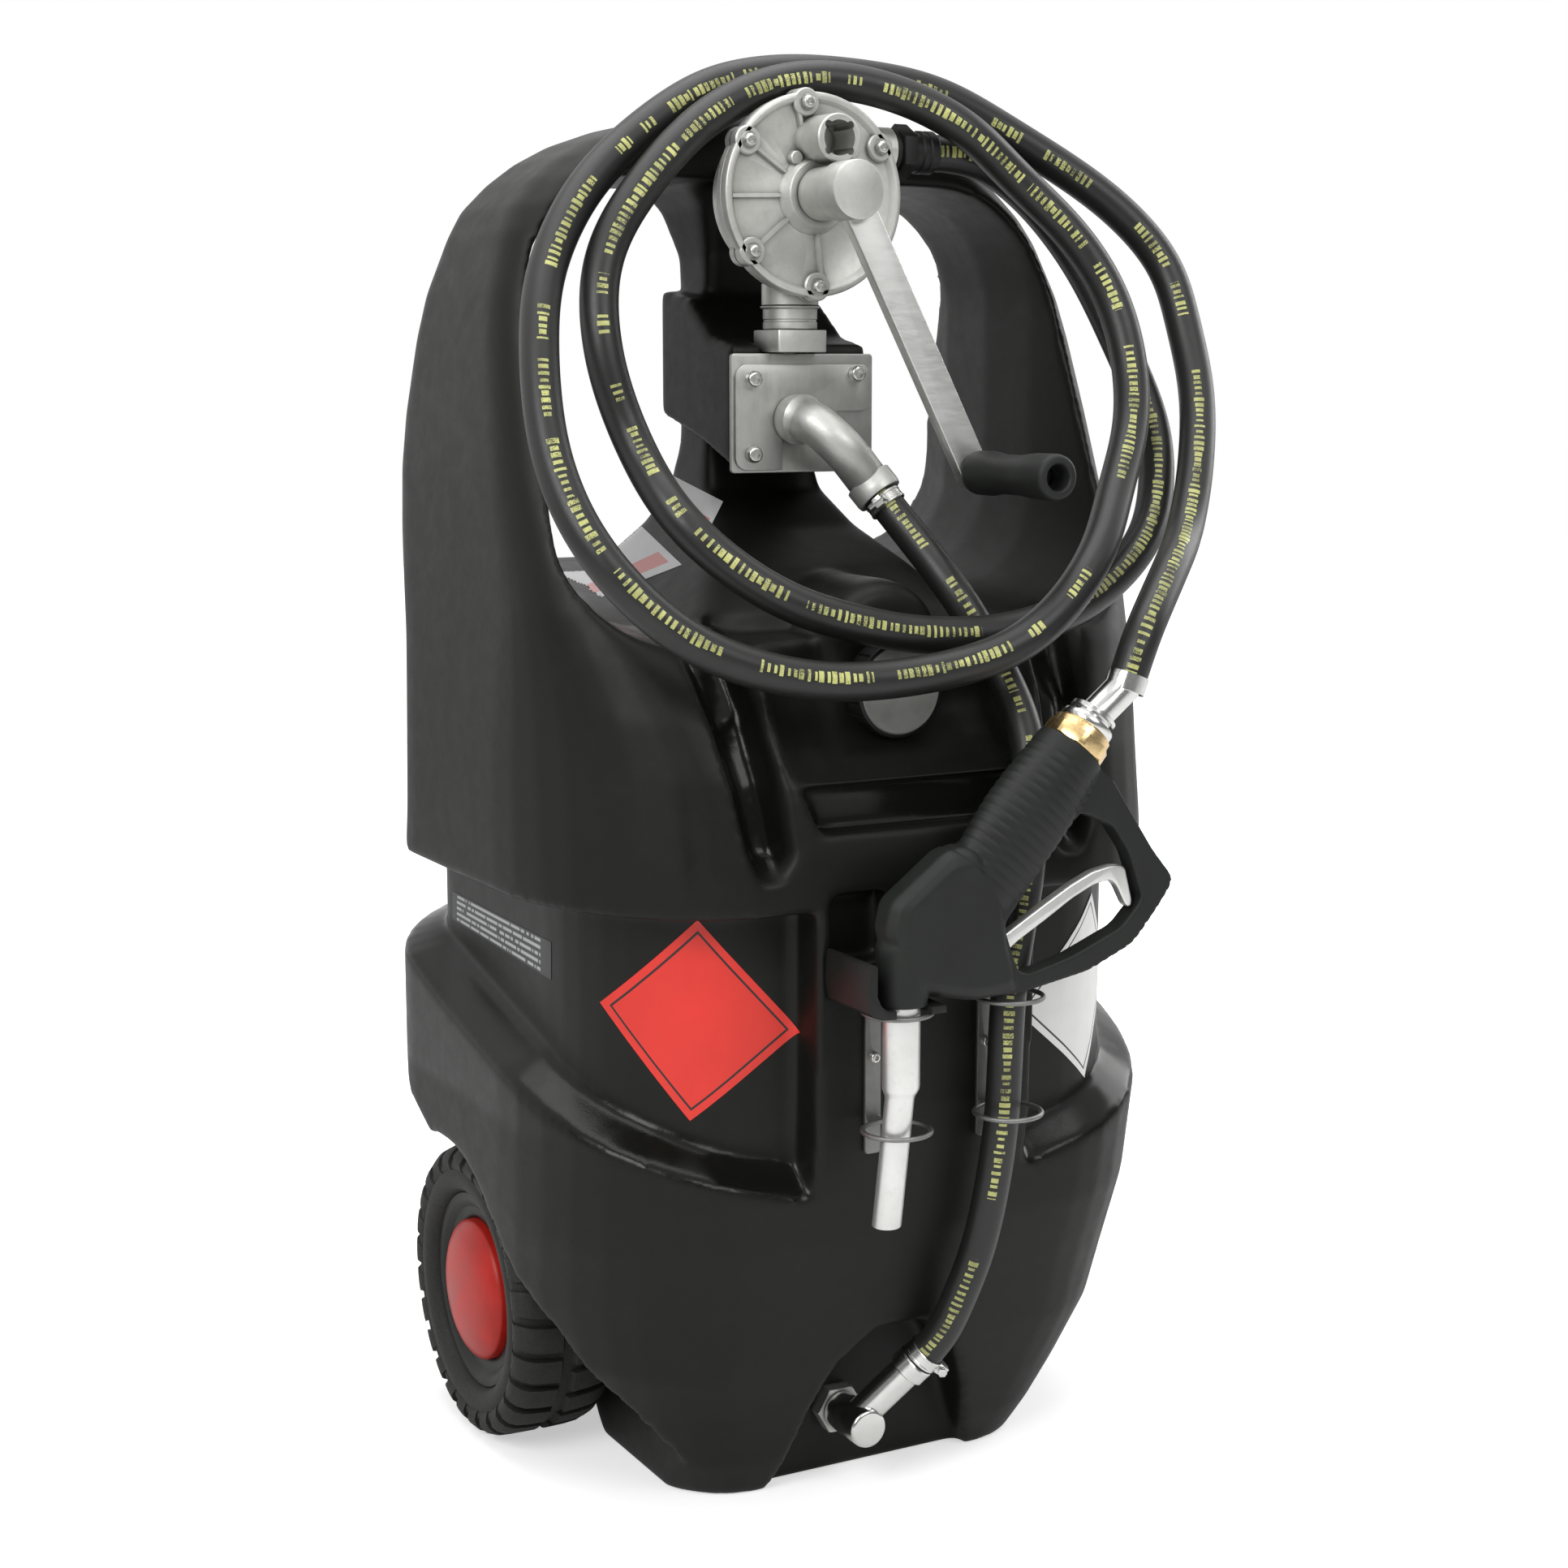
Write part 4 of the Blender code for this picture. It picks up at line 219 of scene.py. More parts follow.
DELIVERY_ROUTE = ((HOSE_START_X, OUTLET_Y, OUTLET_Z), (0.1300, OUTLET_Y, 1.0065), (0.1560, -0.0360, 1.0010),
                  (0.2000, -0.0370, 0.9720), (0.2370, -0.0480, 0.9250), (0.2580, -0.0720, 0.8650),
                  (0.2700, -0.1050, 0.7950), (0.2450, -0.1400, 0.7320), (0.2000, -0.1680, 0.6960),
                  (0.1480, -0.1790, 0.6680), (0.0900, -0.1870, 0.6540), (0.0350, -0.1870, 0.6520),
                  (-0.0280, -0.1860, 0.6600), (-0.1050, -0.1780, 0.6850), (-0.1640, -0.1530, 0.7340),
                  (-0.1800, -0.1000, 0.7920), (-0.1980, -0.0870, 0.8630), (-0.1830, -0.0670, 0.9310),
                  (-0.1210, -0.0520, 1.0030), (-0.0600, -0.0400, 1.0420), (0.0000, -0.0400, 1.0570),
                  (0.0650, -0.0480, 1.0490), (0.1180, -0.0640, 1.0240), (0.1620, -0.0660, 0.9890),
                  (0.2060, -0.0800, 0.9470), (0.2320, -0.0950, 0.9030), (0.2370, -0.1150, 0.8530),
                  (0.2260, -0.1360, 0.8040), (0.1910, -0.1660, 0.7550), (0.1510, -0.1990, 0.7080),
                  (0.1000, -0.2175, 0.6650), (0.0500, -0.2170, 0.6390), (-0.0330, -0.2140, 0.6270),
                  (-0.1110, -0.2130, 0.6320), (-0.1880, -0.2040, 0.6600), (-0.2420, -0.1800, 0.7160),
                  (-0.2590, -0.1400, 0.7800), (-0.2510, -0.1000, 0.8570), (-0.2270, -0.0650, 0.9200),
                  (-0.1760, -0.0370, 0.9840), (-0.0920, -0.0150, 1.0420), (-0.0300, -0.0100, 1.0610),
                  (0.0400, -0.0100, 1.0640), (0.1200, -0.0120, 1.0550), (0.1850, -0.0200, 1.0260),
                  (0.2620, -0.0450, 0.9770), (0.3030, -0.0680, 0.9280), (0.3070, -0.0900, 0.8800),
                  (0.3000, -0.1200, 0.8240), (0.2750, -0.1530, 0.7670), (0.2440, -0.1820, 0.7210),
                  (0.2080, -0.2150, 0.6990), tuple(HOSE_END + HOSE_RUN * 0.03), tuple(HOSE_END))

# skins, labels and print
SKIN_CELL = 0.0032           # remesh cell of the visible tank
SKIN_RELAX = 13              # rounds of easing of its edges
NOZZLE_CELL = 0.0011         # the same for the nozzle
NOZZLE_RELAX = 12
RIB_PITCH = 0.0072           # cross ribs in the grip of the nozzle
RIB_DEPTH = 0.0006
PRINT_PITCH = 0.0052         # length of one printed stroke and its gap
PRINT_GROUPS = (0.047, 0.0148)   # lengths at which the print starts and stops
PRINT_HALF = 0.33            # half height of the print, as an angle round the hose
PRINT_SIDE = Vector((-0.60, -1.60, 1.10))   # the side that the hoses' printed lines face

# camera and light
CAMERA_FOCUS = 3190.0        # focal length in pixels of the photograph
PHOTO_PIXELS = 1932.0
CAMERA_SENSOR = 36.0         # millimetres
CAMERA_PLACE = (-0.9661, -1.7458, 0.8417)
CAMERA_TURN = math.radians(28.4635)
CAMERA_DIP = math.radians(9.055)
FLOOR_HALF = 9.0
FLOOR_GLOW = 0.50            # light of the floor to the camera, above what the lamps give it
FLOOR_GLOW_REACH = (0.45, 1.6)   # it rises to full white between these distances from the trolley
FLOOR_SHEEN = 0.10           # the same to glossy rays
WORLD_LIGHT = 0.42           # light of the surround on matt surfaces
ROOM_DIM = 0.20              # brightness of the room in front of the trolley, in its reflections


# ---------------------------------------------------------------- materials
MATERIALS = {}


class NodeTree:
    """A node tree with short calls for its nodes."""

    def __init__(self, tree):
        self.tree = tree

    def node(self, kind, **values):
        made = self.tree.nodes.new(kind)
        for key, value in values.items():
            if key in made.inputs:
                made.inputs[key].default_value = value
            else:
                setattr(made, key, value)
        return made

    def link(self, source, target):
        self.tree.links.new(source, target)

    def coords(self, scale=(1, 1, 1)):
        place = self.node("ShaderNodeTexCoord")
        mapping = self.node("ShaderNodeMapping")
        mapping.inputs["Scale"].default_value = scale
        self.link(place.outputs["Object"], mapping.inputs["Vector"])
        return mapping.outputs["Vector"]

    def noise(self, scale, detail=3.0, rough=0.55, vector=None):
        made = self.node("ShaderNodeTexNoise", Scale=scale, Detail=detail, Roughness=rough)
        self.link(vector or self.coords(), made.inputs["Vector"])
        return made.outputs["Fac"]

    def spread(self, source, low, high, start=0.3, end=0.7, shape='LINEAR'):
        made = self.node("ShaderNodeMapRange", interpolation_type=shape)
        made.inputs["From Min"].default_value = start
        made.inputs["From Max"].default_value = end
        made.inputs["To Min"].default_value = low
        made.inputs["To Max"].default_value = high
        self.link(source, made.inputs["Value"])
        return made.outputs["Result"]

    def blend(self, share, one, two):
        made = self.node("ShaderNodeMix", data_type='RGBA')
        for socket, value in ((made.inputs[6], one), (made.inputs[7], two)):
            if isinstance(value, tuple):
                socket.default_value = (*value[:3], 1.0)
            else:
                self.link(value, socket)
        self.link(share, made.inputs[0])
        return made.outputs[2]

    def math(self, operation, one, two=None):
        made = self.node("ShaderNodeMath", operation=operation)
        for socket, value in ((made.inputs[0], one), (made.inputs[1], two)):
            if value is None:
                continue
            if isinstance(value, (int, float)):
                socket.default_value = value
            else:
                self.link(value, socket)
        return made.outputs[0]

    times = partialmethod(math, 'MULTIPLY')
    plus = partialmethod(math, 'ADD')
    minus = partialmethod(math, 'SUBTRACT')
    above = partialmethod(math, 'GREATER_THAN')
    below = partialmethod(math, 'LESS_THAN')
    highest = partialmethod(math, 'MAXIMUM')
    lowest = partialmethod(math, 'MINIMUM')

    def attribute(self, name):
        return self.node("ShaderNodeAttribute", attribute_name=name).outputs["Fac"]


class Shader(NodeTree):
    """A material's node tree, with its surface values."""

    def __init__(self, name):
        self.material = bpy.data.materials.new(name)
        self.material.use_nodes = True
        super().__init__(self.material.node_tree)
        self.principled = self.tree.nodes["Principled BSDF"]
        MATERIALS[name] = self.material

    def bump(self, *layers):
        """Stack bump layers, each (height, distance in metres, strength)."""
        last = None
        for height, distance, strength in layers:
            made = self.node("ShaderNodeBump", Distance=distance, Strength=strength)
            self.link(height, made.inputs["Height"])
            if last:
                self.link(last, made.inputs["Normal"])
            last = made.outputs["Normal"]
        self.link(last, self.principled.inputs["Normal"])

    def set(self, **values):
        for key, value in values.items():
            socket = self.principled.inputs[key.replace("_", " ")]
            if isinstance(value, (int, float)):
                socket.default_value = value
            elif isinstance(value, tuple):
                socket.default_value = (*value[:3], 1.0)
            else:
                self.link(value, socket)


def moulded_shader(name, base, lighter, rough, grain):
    """Rotomoulded polyethylene: fine pebbled skin, slightly uneven sheen, glossy in the hollows."""
    made = Shader(name)
    cloud = made.noise(7.0, 4.0)
    scuffs = made.noise(60.0, 6.0, 0.7)
    pebble = made.noise(900.0, 2.0, 0.5)
    waves = made.noise(16.0, 1.0, 0.4)
    tone = made.spread(cloud, 0.0, 1.0)
    colour = made.blend(tone, base, lighter)
    dusty = made.spread(scuffs, 0.0, 0.35, 0.58, 0.75)
    colour = made.blend(dusty, colour, tuple(c * 1.5 for c in lighter))
    gloss = made.attribute("gloss")
    wide = made.spread(scuffs, rough - 0.04, rough + 0.05)
    gloss_side = made.times(gloss, 0.30)
    made.set(Base_Color=colour, Roughness=made.minus(wide, gloss_side), Metallic=0.0)
    made.set(Specular_IOR_Level=0.24)
    made.bump((pebble, grain, 0.45), (waves, 0.0010, 0.16))


def metal_shader(name, dark, light, rough, grain, scale=700.0, metallic=1.0, crevice_shade_reach=0.0):
    """Cast or plated metal: fine grain, mottled tone and faint wear; given a reach, painted shade also
    darkens its crevices and corners.
    """
    made = Shader(name)
    cloud = made.noise(24.0, 4.0, 0.6)
    fine = made.noise(scale, 3.0, 0.6)
    wear = made.noise(140.0, 5.0, 0.7)
    colour = made.blend(made.spread(cloud, 0.0, 1.0), dark, light)
    colour = made.blend(made.spread(wear, 0.0, 0.35, 0.55, 0.8), colour, tuple(c * 0.72 for c in dark))
    # painted shade: ambient occlusion darkens the colour in crevices, between ribs and in corners, where
    # shade falls
    if crevice_shade_reach:
        painted_crevice_shade = made.node("ShaderNodeAmbientOcclusion", Distance=crevice_shade_reach, samples=6)
        colour = made.blend(made.spread(painted_crevice_shade.outputs["AO"], 0.75, 0.0, 0.35, 0.95), colour,
                            tuple(c * 0.30 for c in dark))
    made.set(Base_Color=colour, Roughness=made.spread(fine, rough - 0.05, rough + 0.07), Metallic=metallic)
    made.bump((fine, grain, 0.5))


def brushed_shader(name, dark, light, rough, scale, grain):
    """Rolled or ground steel with its grain stretched along one axis of the piece."""
    made = Shader(name)
    streak = made.noise(1.0, 4.0, 0.65, made.coords(scale))
    cloud = made.noise(20.0, 3.0, 0.5)
    colour = made.blend(made.spread(streak, 0.0, 1.0), dark, light)
    colour = made.blend(made.spread(cloud, 0.0, 0.3), colour, dark)
    made.set(Base_Color=colour, Roughness=made.spread(streak, rough - 0.04, rough + 0.08), Metallic=1.0)
    made.bump((streak, grain, 0.4))


def plastic_shader(name, base, rough, scale=1100.0, grain=0.00008):
    made = Shader(name)
    cloud = made.noise(30.0, 4.0, 0.6)
    fine = made.noise(scale, 2.0, 0.5)
    colour = made.blend(made.spread(cloud, 0.0, 1.0), base, tuple(c * 1.5 for c in base))
    made.set(Base_Color=colour, Roughness=made.spread(cloud, rough - 0.04, rough + 0.05), Metallic=0.0)
    made.set(Specular_IOR_Level=0.35)
    made.bump((fine, grain, 0.4))
    return made


def tyre_shader():
    made = Shader("tyre_rubber")
    dust = made.noise(35.0, 6.0, 0.7)
    fine = made.noise(600.0, 3.0, 0.6)
    colour = made.blend(made.spread(dust, 0.0, 0.7, 0.4, 0.8), (0.009, 0.0095, 0.0082), (0.020, 0.020, 0.018))
    made.set(Base_Color=colour, Roughness=made.spread(fine, 0.62, 0.80), Metallic=0.0)
    made.bump((fine, 0.0002, 0.5))


def hose_shader(name):
    """Smooth hose rubber with a printed line of plain strokes: 'run' is metres along, 'turn' is across."""
    base = (0.0085, 0.0090, 0.0082)
    made = Shader(name)
    run = made.attribute("run")
    turn = made.attribute("turn")
    fine = made.noise(500.0, 3.0, 0.6)
    cloud = made.noise(12.0, 3.0, 0.6)
    colour = made.blend(made.spread(cloud, 0.0, 1.0), base, tuple(c * 1.7 for c in base))
    # strokes of uneven width and height, in groups of uneven length, worn away in places
    cell = made.times(run, 1.0 / PRINT_PITCH)
    inside = made.math('FRACT', cell)

    def random(value):
        noise = made.node("ShaderNodeTexWhiteNoise", noise_dimensions='1D')
        made.link(made.math('FLOOR', value), noise.inputs["W"])
        return noise.outputs["Value"]

    stroke = random(cell)
    height = random(made.plus(cell, 311.0))
    group = made.plus(made.times(random(made.times(run, 1.0 / PRINT_GROUPS[0])), 0.55),
                      made.times(random(made.times(run, 1.0 / PRINT_GROUPS[1])), 0.45))
    width = made.plus(made.times(stroke, 0.45), 0.34)
    bar = made.below(inside, width)
    tall = made.times(made.plus(made.times(height, 0.45), 0.55), PRINT_HALF)
    line = made.below(made.math('ABSOLUTE', turn), tall)
    slit = made.above(made.math('ABSOLUTE', turn), PRINT_HALF * 0.25)
    line = made.times(line, made.highest(slit, made.above(height, 0.5)))
    kept = made.above(group, 0.33)
    ragged = made.noise(1500.0, 3.0, 0.7)
    worn = made.above(made.plus(ragged, made.times(made.noise(55.0, 2.0), 0.5)), 0.68)
    mask = made.times(made.times(line, bar), made.times(kept, worn))
    faded = made.times(mask, made.spread(made.noise(40.0, 3.0), 0.55, 1.0, 0.35, 0.6))
    colour = made.blend(faded, colour, (0.56, 0.57, 0.20))
    made.set(Base_Color=colour, Roughness=made.spread(fine, 0.36, 0.46), Metallic=0.0)
    made.bump((fine, 0.00006, 0.4))


def build_materials():
    moulded_shader("black_moulding", (0.0046, 0.0050, 0.0038), (0.0078, 0.0084, 0.0068), 0.46, 0.00012)
    plastic_shader("black_plastic", (0.0065, 0.0071, 0.0062), 0.50)
    plastic_shader("grip_plastic", (0.0085, 0.0098, 0.0087), 0.54)
    plastic_shader("rubber", (0.0120, 0.0122, 0.0115), 0.50)
    plastic_shader("grey_plastic", (0.20, 0.205, 0.19), 0.48)
    red = plastic_shader("red_plastic", (0.34, 0.010, 0.005), 0.42, 300.0, 0.00003)
    red.principled.inputs["Coat Weight"].default_value = 0.08
    red.principled.inputs["Coat Roughness"].default_value = 0.2
    tyre_shader()
    # the last figure of cast_metal is the reach of the painted shade in its crevices
    metal_shader("cast_metal", (0.50, 0.50, 0.475), (0.68, 0.68, 0.65), 0.48, 0.00022, 420.0, 0.85, 0.007)
    brushed_shader("sheet_steel", (0.48, 0.485, 0.46), (0.57, 0.575, 0.55), 0.44, (160, 60, 60), 0.00003)
    brushed_shader("arm_steel", (0.72, 0.72, 0.70), (0.80, 0.80, 0.78), 0.42, (60, 60, 320), 0.00002)
    metal_shader("bright_steel", (0.66, 0.66, 0.64), (0.80, 0.80, 0.78), 0.20, 0.00003, 900.0)
    metal_shader("satin_steel", (0.72, 0.72, 0.70), (0.84, 0.84, 0.82), 0.36, 0.00004, 900.0, metallic=0.85)
    metal_shader("strip_steel", (0.22, 0.22, 0.21), (0.30, 0.30, 0.29), 0.50, 0.00004, 900.0)
    metal_shader("zinc_steel", (0.56, 0.56, 0.54), (0.72, 0.72, 0.69), 0.30, 0.00005, 900.0)
    metal_shader("brass", (0.70, 0.47, 0.20), (0.90, 0.68, 0.36), 0.28, 0.00004, 700.0)
    hose_shader("hose_rubber")
    hose_shader("suction_rubber")


# ---------------------------------------------------------------- mesh helpers
def link_object(name, data):
    made = bpy.data.objects.new(name, data)
    bpy.context.scene.collection.objects.link(made)
    return made
def add_object(name, bm, finish=None, origin=(0.0, 0.0, 0.0), smooth=35):
    """Make an object of a bmesh, with its origin at `origin`; both count y from the parting line."""
    bmesh.ops.recalc_face_normals(bm, faces=bm.faces)
    bmesh.ops.translate(bm, verts=bm.verts, vec=-Vector(origin))
    mesh = bpy.data.meshes.new(name)
    bm.to_mesh(mesh)
    bm.free()
    made = link_object(name, mesh)
    made.location = (origin[0], origin[1] + PARTING_Y, origin[2])
    if finish:
        mesh.materials.append(MATERIALS[finish])
    mesh.shade_smooth()
    mesh.set_sharp_from_angle(angle=math.radians(smooth))
    return made


def boolean(piece, tool, operation='DIFFERENCE'):
    """Cut a piece with a tool, or join the tool to it; the tool is a bmesh or an object."""
    if isinstance(tool, bmesh.types.BMesh):
        tool = add_object("tool", tool)
    step = piece.modifiers.new("tool", 'BOOLEAN')
    step.operation = operation
    step.solver = 'EXACT'
    step.object = tool
    tool.hide_render = True
    return step


def cut(piece, tool):
    return boolean(piece, tool)


def join(piece, tool):
    return boolean(piece, tool, 'UNION')


def bevel(piece, width, segments=2, angle=35):
    step = piece.modifiers.new("edge", 'BEVEL')
    step.width = width
    step.segments = segments
    step.limit_method = 'ANGLE'
    step.angle_limit = math.radians(angle)
    step.use_clamp_overlap = True
    return step


def settle(piece, smooth=35):
    """Apply the modifiers, drop their cutters and shade the result."""
    tools = [step.object for step in piece.modifiers if step.type == 'BOOLEAN']
    graph = bpy.context.evaluated_depsgraph_get()
    mesh = bpy.data.meshes.new_from_object(piece.evaluated_get(graph), depsgraph=graph)
    piece.modifiers.clear()
    piece.data = mesh
    for tool in tools:
        bpy.data.objects.remove(tool, do_unlink=True)
    mesh.shade_smooth()
    mesh.set_sharp_from_angle(angle=math.radians(smooth))
    return piece


def moulded_skin(piece, cell, relaxing):
    """Give a piece an even skin of small cells, with its edges eased."""
    remesh = piece.modifiers.new("skin", 'REMESH')
    remesh.mode = 'VOXEL'
    remesh.voxel_size = cell
    relax = piece.modifiers.new("relax", 'SMOOTH')
    relax.factor = 0.5
    relax.iterations = relaxing
    return settle(piece, 180)


def stands_for(piece, body, slot, *nodes):
    """The piece rides on a body and hides the CAD nodes it stands for; the slot is not used."""
    if piece.modifiers:
        settle(piece)
    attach(piece, body)
    if nodes:
        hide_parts(*nodes)
    return piece


def skin_rows(bm, rows, closed=False):
    """Join equal-length rows of vertices with quads, and close both ends unless the rows form a ring."""
    pairs = list(zip(rows, rows[1:]))
    if closed:
        pairs.append((rows[-1], rows[0]))
    for low, high in pairs:
        count = len(low)
        for i in range(count):
            j = (i + 1) % count
            bm.faces.new((low[i], low[j], high[j], high[i]))
    if not closed:
        bm.faces.new(rows[0][::-1])
        bm.faces.new(rows[-1])


def loft_bm(loops, closed=False):
    """Skin equal-length loops of points; a closed loft joins its last loop to its first."""
    bm = bmesh.new()
    skin_rows(bm, [[bm.verts.new(point) for point in loop] for loop in loops], closed)
    return bm


def upright(angle):
    """Unit vector at an angle in the upright plane across the trolley, and the one square to it."""
    turn = math.radians(angle)
    return Vector((math.cos(turn), 0, math.sin(turn))), Vector((-math.sin(turn), 0, math.cos(turn)))


def frame_of(axis):
    """Two unit vectors square to an axis."""
    axis = Vector(axis).normalized()
    side = Vector((0, 0, 1)) if abs(axis.z) < 0.9 else Vector((1, 0, 0))
    u = axis.cross(side).normalized()
    return u, u.cross(axis).normalized()


def turned_bm(profile, centre, axis, steps=32):
    """Turn a closed outline of (radius, distance along the axis) about the axis."""
    bm = bmesh.new()
    centre = Vector(centre)
    axis = Vector(axis).normalized()
    u, v = frame_of(axis)
    columns = []
    for radius, along in profile:
        base = centre + axis * along
        if radius < 1e-9:
            columns.append([bm.verts.new(base)] * steps)
            continue
        ring = []
        for i in range(steps):
            turn = 2 * math.pi * i / steps
            ring.append(bm.verts.new(base + (u * math.cos(turn) + v * math.sin(turn)) * radius))
        columns.append(ring)
    count = len(columns)
    for k in range(count):
        one, two = columns[k], columns[(k + 1) % count]
        if one[0] is one[1] and two[0] is two[1]:
            continue
        for i in range(steps):
            j = (i + 1) % steps
            corners = []
            for vert in (one[i], one[j], two[j], two[i]):
                if vert not in corners:
                    corners.append(vert)
            bm.faces.new(corners)
    return bm


def prism_bm(outline, start, end, axis='Y'):
    """Extrude a flat outline from `start` to `end` along an axis."""
    def point(a, b, along):
        if axis == 'Y':
            return (a, along, b)
        if axis == 'X':
            return (along, a, b)
        return (a, b, along)
    return loft_bm([[point(a, b, start) for a, b in outline], [point(a, b, end) for a, b in outline]])


def arc(centre, radius, first, last, steps):
    """Points of an arc in the plane, angles in degrees."""
    points = []
    for i in range(steps + 1):
        turn = math.radians(first + (last - first) * i / steps)
        points.append((centre[0] + radius * math.cos(turn), centre[1] + radius * math.sin(turn)))
    return points


def rounded_outline(low, high, radii, steps=6):
    """Rectangle with corner radii given for bottom-left, bottom-right, top-right, top-left."""
    corners = ((low[0], low[1], 180), (high[0], low[1], 270), (high[0], high[1], 0), (low[0], high[1], 90))
    points = []
    for (x, y, first), radius in zip(corners, radii):
        inward_x = radius if x == low[0] else -radius
        inward_y = radius if y == low[1] else -radius
        points += arc((x + inward_x, y + inward_y), radius, first, first + 90, steps)
    return points


def smooth_path(points, step):
    """Points about `step` apart on a Catmull-Rom curve through the route points."""
    knots = [Vector(p) for p in points]
    knots = [knots[0] * 2 - knots[1]] + knots + [knots[-1] * 2 - knots[-2]]
    fine = []
    for a, b, c, d in zip(knots, knots[1:], knots[2:], knots[3:]):
        for i in range(CURVE_STEPS):
            t = i / CURVE_STEPS
            fine.append(0.5 * (2 * b + (c - a) * t + (2 * a - 5 * b + 4 * c - d) * t * t
                               + (3 * b - a - 3 * c + d) * t ** 3))
    fine.append(knots[-2])
    lengths = [0.0]
    for one, two in zip(fine, fine[1:]):
        lengths.append(lengths[-1] + (two - one).length)
    count = max(2, round(lengths[-1] / step))
    picked = []
    k = 0
    for i in range(count + 1):
        wanted = lengths[-1] * i / count
        while k < len(lengths) - 2 and lengths[k + 1] < wanted:
            k += 1
        share = (wanted - lengths[k]) / (lengths[k + 1] - lengths[k])
        picked.append(fine[k].lerp(fine[k + 1], share))
    return picked


def tangent_at(path, i):
    return (path[min(i + 1, len(path) - 1)] - path[max(i - 1, 0)]).normalized()


def swept_bm(path, section):
    """Carry a flat section, given as (side, up) points for each path point, along a path."""
    up, _ = frame_of(tangent_at(path, 0))
    loops = []
    for i, point in enumerate(path):
        tangent = tangent_at(path, i)
        up = (up - tangent * up.dot(tangent)).normalized()
        side = tangent.cross(up)
        loops.append([point + side * a + up * b for a, b in section(i / (len(path) - 1))])
    return loft_bm(loops)


def round_section(radius, steps=16):
    circle = arc((0, 0), radius, 0, 360 * (steps - 1) / steps, steps - 1)
    return lambda share: circle


def hexagon(across_flats, centre=(0.0, 0.0), turn=0):
    radius = across_flats / math.sqrt(3)
    return arc(centre, radius, turn, turn + 300, 5)


# height, half width, front corner line, bulge of the front, rear, front and rear corner radius
TANK_SECTIONS = (
    (0.000, 0.165, 0.122, 0.010, 0.100, 0.060, 0.040),
    (0.030, 0.190, 0.134, 0.012, 0.205, 0.075, 0.055),
    (0.062, 0.214, 0.143, 0.014, 0.215, 0.090, 0.065),
    (0.110, 0.242, 0.157, 0.016, 0.222, 0.105, 0.075),
    (0.156, 0.257, 0.168, 0.017, 0.225, 0.120, 0.080),
    (0.215, 0.263, 0.185, 0.017, 0.225, 0.120, 0.080),
    (0.300, 0.265, 0.197, 0.018, 0.225, 0.120, 0.080),
    (0.400, 0.265, 0.200, 0.018, 0.225, 0.120, 0.080),
    (0.500, 0.264, 0.196, 0.020, 0.214, 0.120, 0.080),
    (0.560, 0.263, 0.186, 0.019, 0.212, 0.115, 0.078),
    (0.600, 0.262, 0.172, 0.016, 0.211, 0.100, 0.076),
    (0.640, 0.261, 0.150, 0.013, 0.209, 0.080, 0.072),
    (0.673, 0.260, 0.127, 0.010, 0.207, 0.058, 0.064),
    (0.720, 0.259, 0.099, 0.006, 0.203, 0.046, 0.054),
    (0.768, 0.258, 0.075, 0.003, 0.196, 0.038, 0.046),
    (0.810, 0.255, 0.059, 0.001, 0.187, 0.034, 0.040),
    (0.866, 0.250, 0.038, 0.000, 0.169, 0.030, 0.034),
    (0.900, 0.244, 0.027, 0.000, 0.158, 0.028, 0.030),
    (0.942, 0.230, 0.015, 0.000, 0.148, 0.028, 0.030),
    (0.962, 0.218, 0.010, 0.000, 0.150, 0.028, 0.030),
    (0.982, 0.199, 0.006, 0.000, 0.145, 0.028, 0.030),
    (0.998, 0.178, 0.003, 0.000, 0.141, 0.028, 0.030),
    (1.012, 0.152, 0.001, 0.000, 0.137, 0.028, 0.030),
    (1.024, 0.118, -0.004, 0.000, 0.130, 0.026, 0.028),
    (1.034, 0.075, -0.014, 0.000, 0.118, 0.022, 0.024),
    (1.038, 0.030, -0.030, 0.000, 0.100, 0.012, 0.012),
)
CORNER_STRETCH = 1.35        # depth of a front corner over its width
CORNER_STEPS = 8
FRONT_STEPS = 16


def tank_plan(half, front, bulge, rear, front_radius, rear_radius):
    """Plan outline of the tank, from the front left corner along the front, anticlockwise."""
    outline = []
    straight = half - front_radius
    for i in range(FRONT_STEPS + 1):
        x = straight * (2 * i / FRONT_STEPS - 1)
        swell = bulge * (1 - (x / half) ** 2)
        outline.append((x, -front - swell))
    drop = bulge * (1 - (straight / half) ** 2)
    corner = []
    for x, y in arc((0, 0), front_radius, -90, 0, CORNER_STEPS):
        lift = drop * (1 - x / front_radius)
        corner.append((straight + x, -front + (front_radius + y) * CORNER_STRETCH - lift))
    outline += corner[1:]
    inset = half - rear_radius
    outline += arc((inset, rear - rear_radius), rear_radius, 0, 90, CORNER_STEPS)
    outline += arc((-inset, rear - rear_radius), rear_radius, 90, 180, CORNER_STEPS)
    outline += [(-x, y) for x, y in reversed(corner[1:])]
    return outline


def section_at(height):
    """Tank section values at a height, between the listed ones."""
    for low, high in zip(TANK_SECTIONS, TANK_SECTIONS[1:]):
        if height <= high[0]:
            share = (height - low[0]) / (high[0] - low[0])
            return [a + (b - a) * share for a, b in zip(low[1:], high[1:])]
    return list(TANK_SECTIONS[-1][1:])


def front_of_tank(height, x=0.0):
    """How far the bare front of the tank stands ahead of the origin."""
    half, front, bulge = section_at(height)[:3]
    return front + bulge * (1 - (x / half) ** 2)


def tank_shell():
    loops = []
    for z, *plan in TANK_SECTIONS:
        loops.append([(x, y, z) for x, y in tank_plan(*plan)])
    return loft_bm(loops)


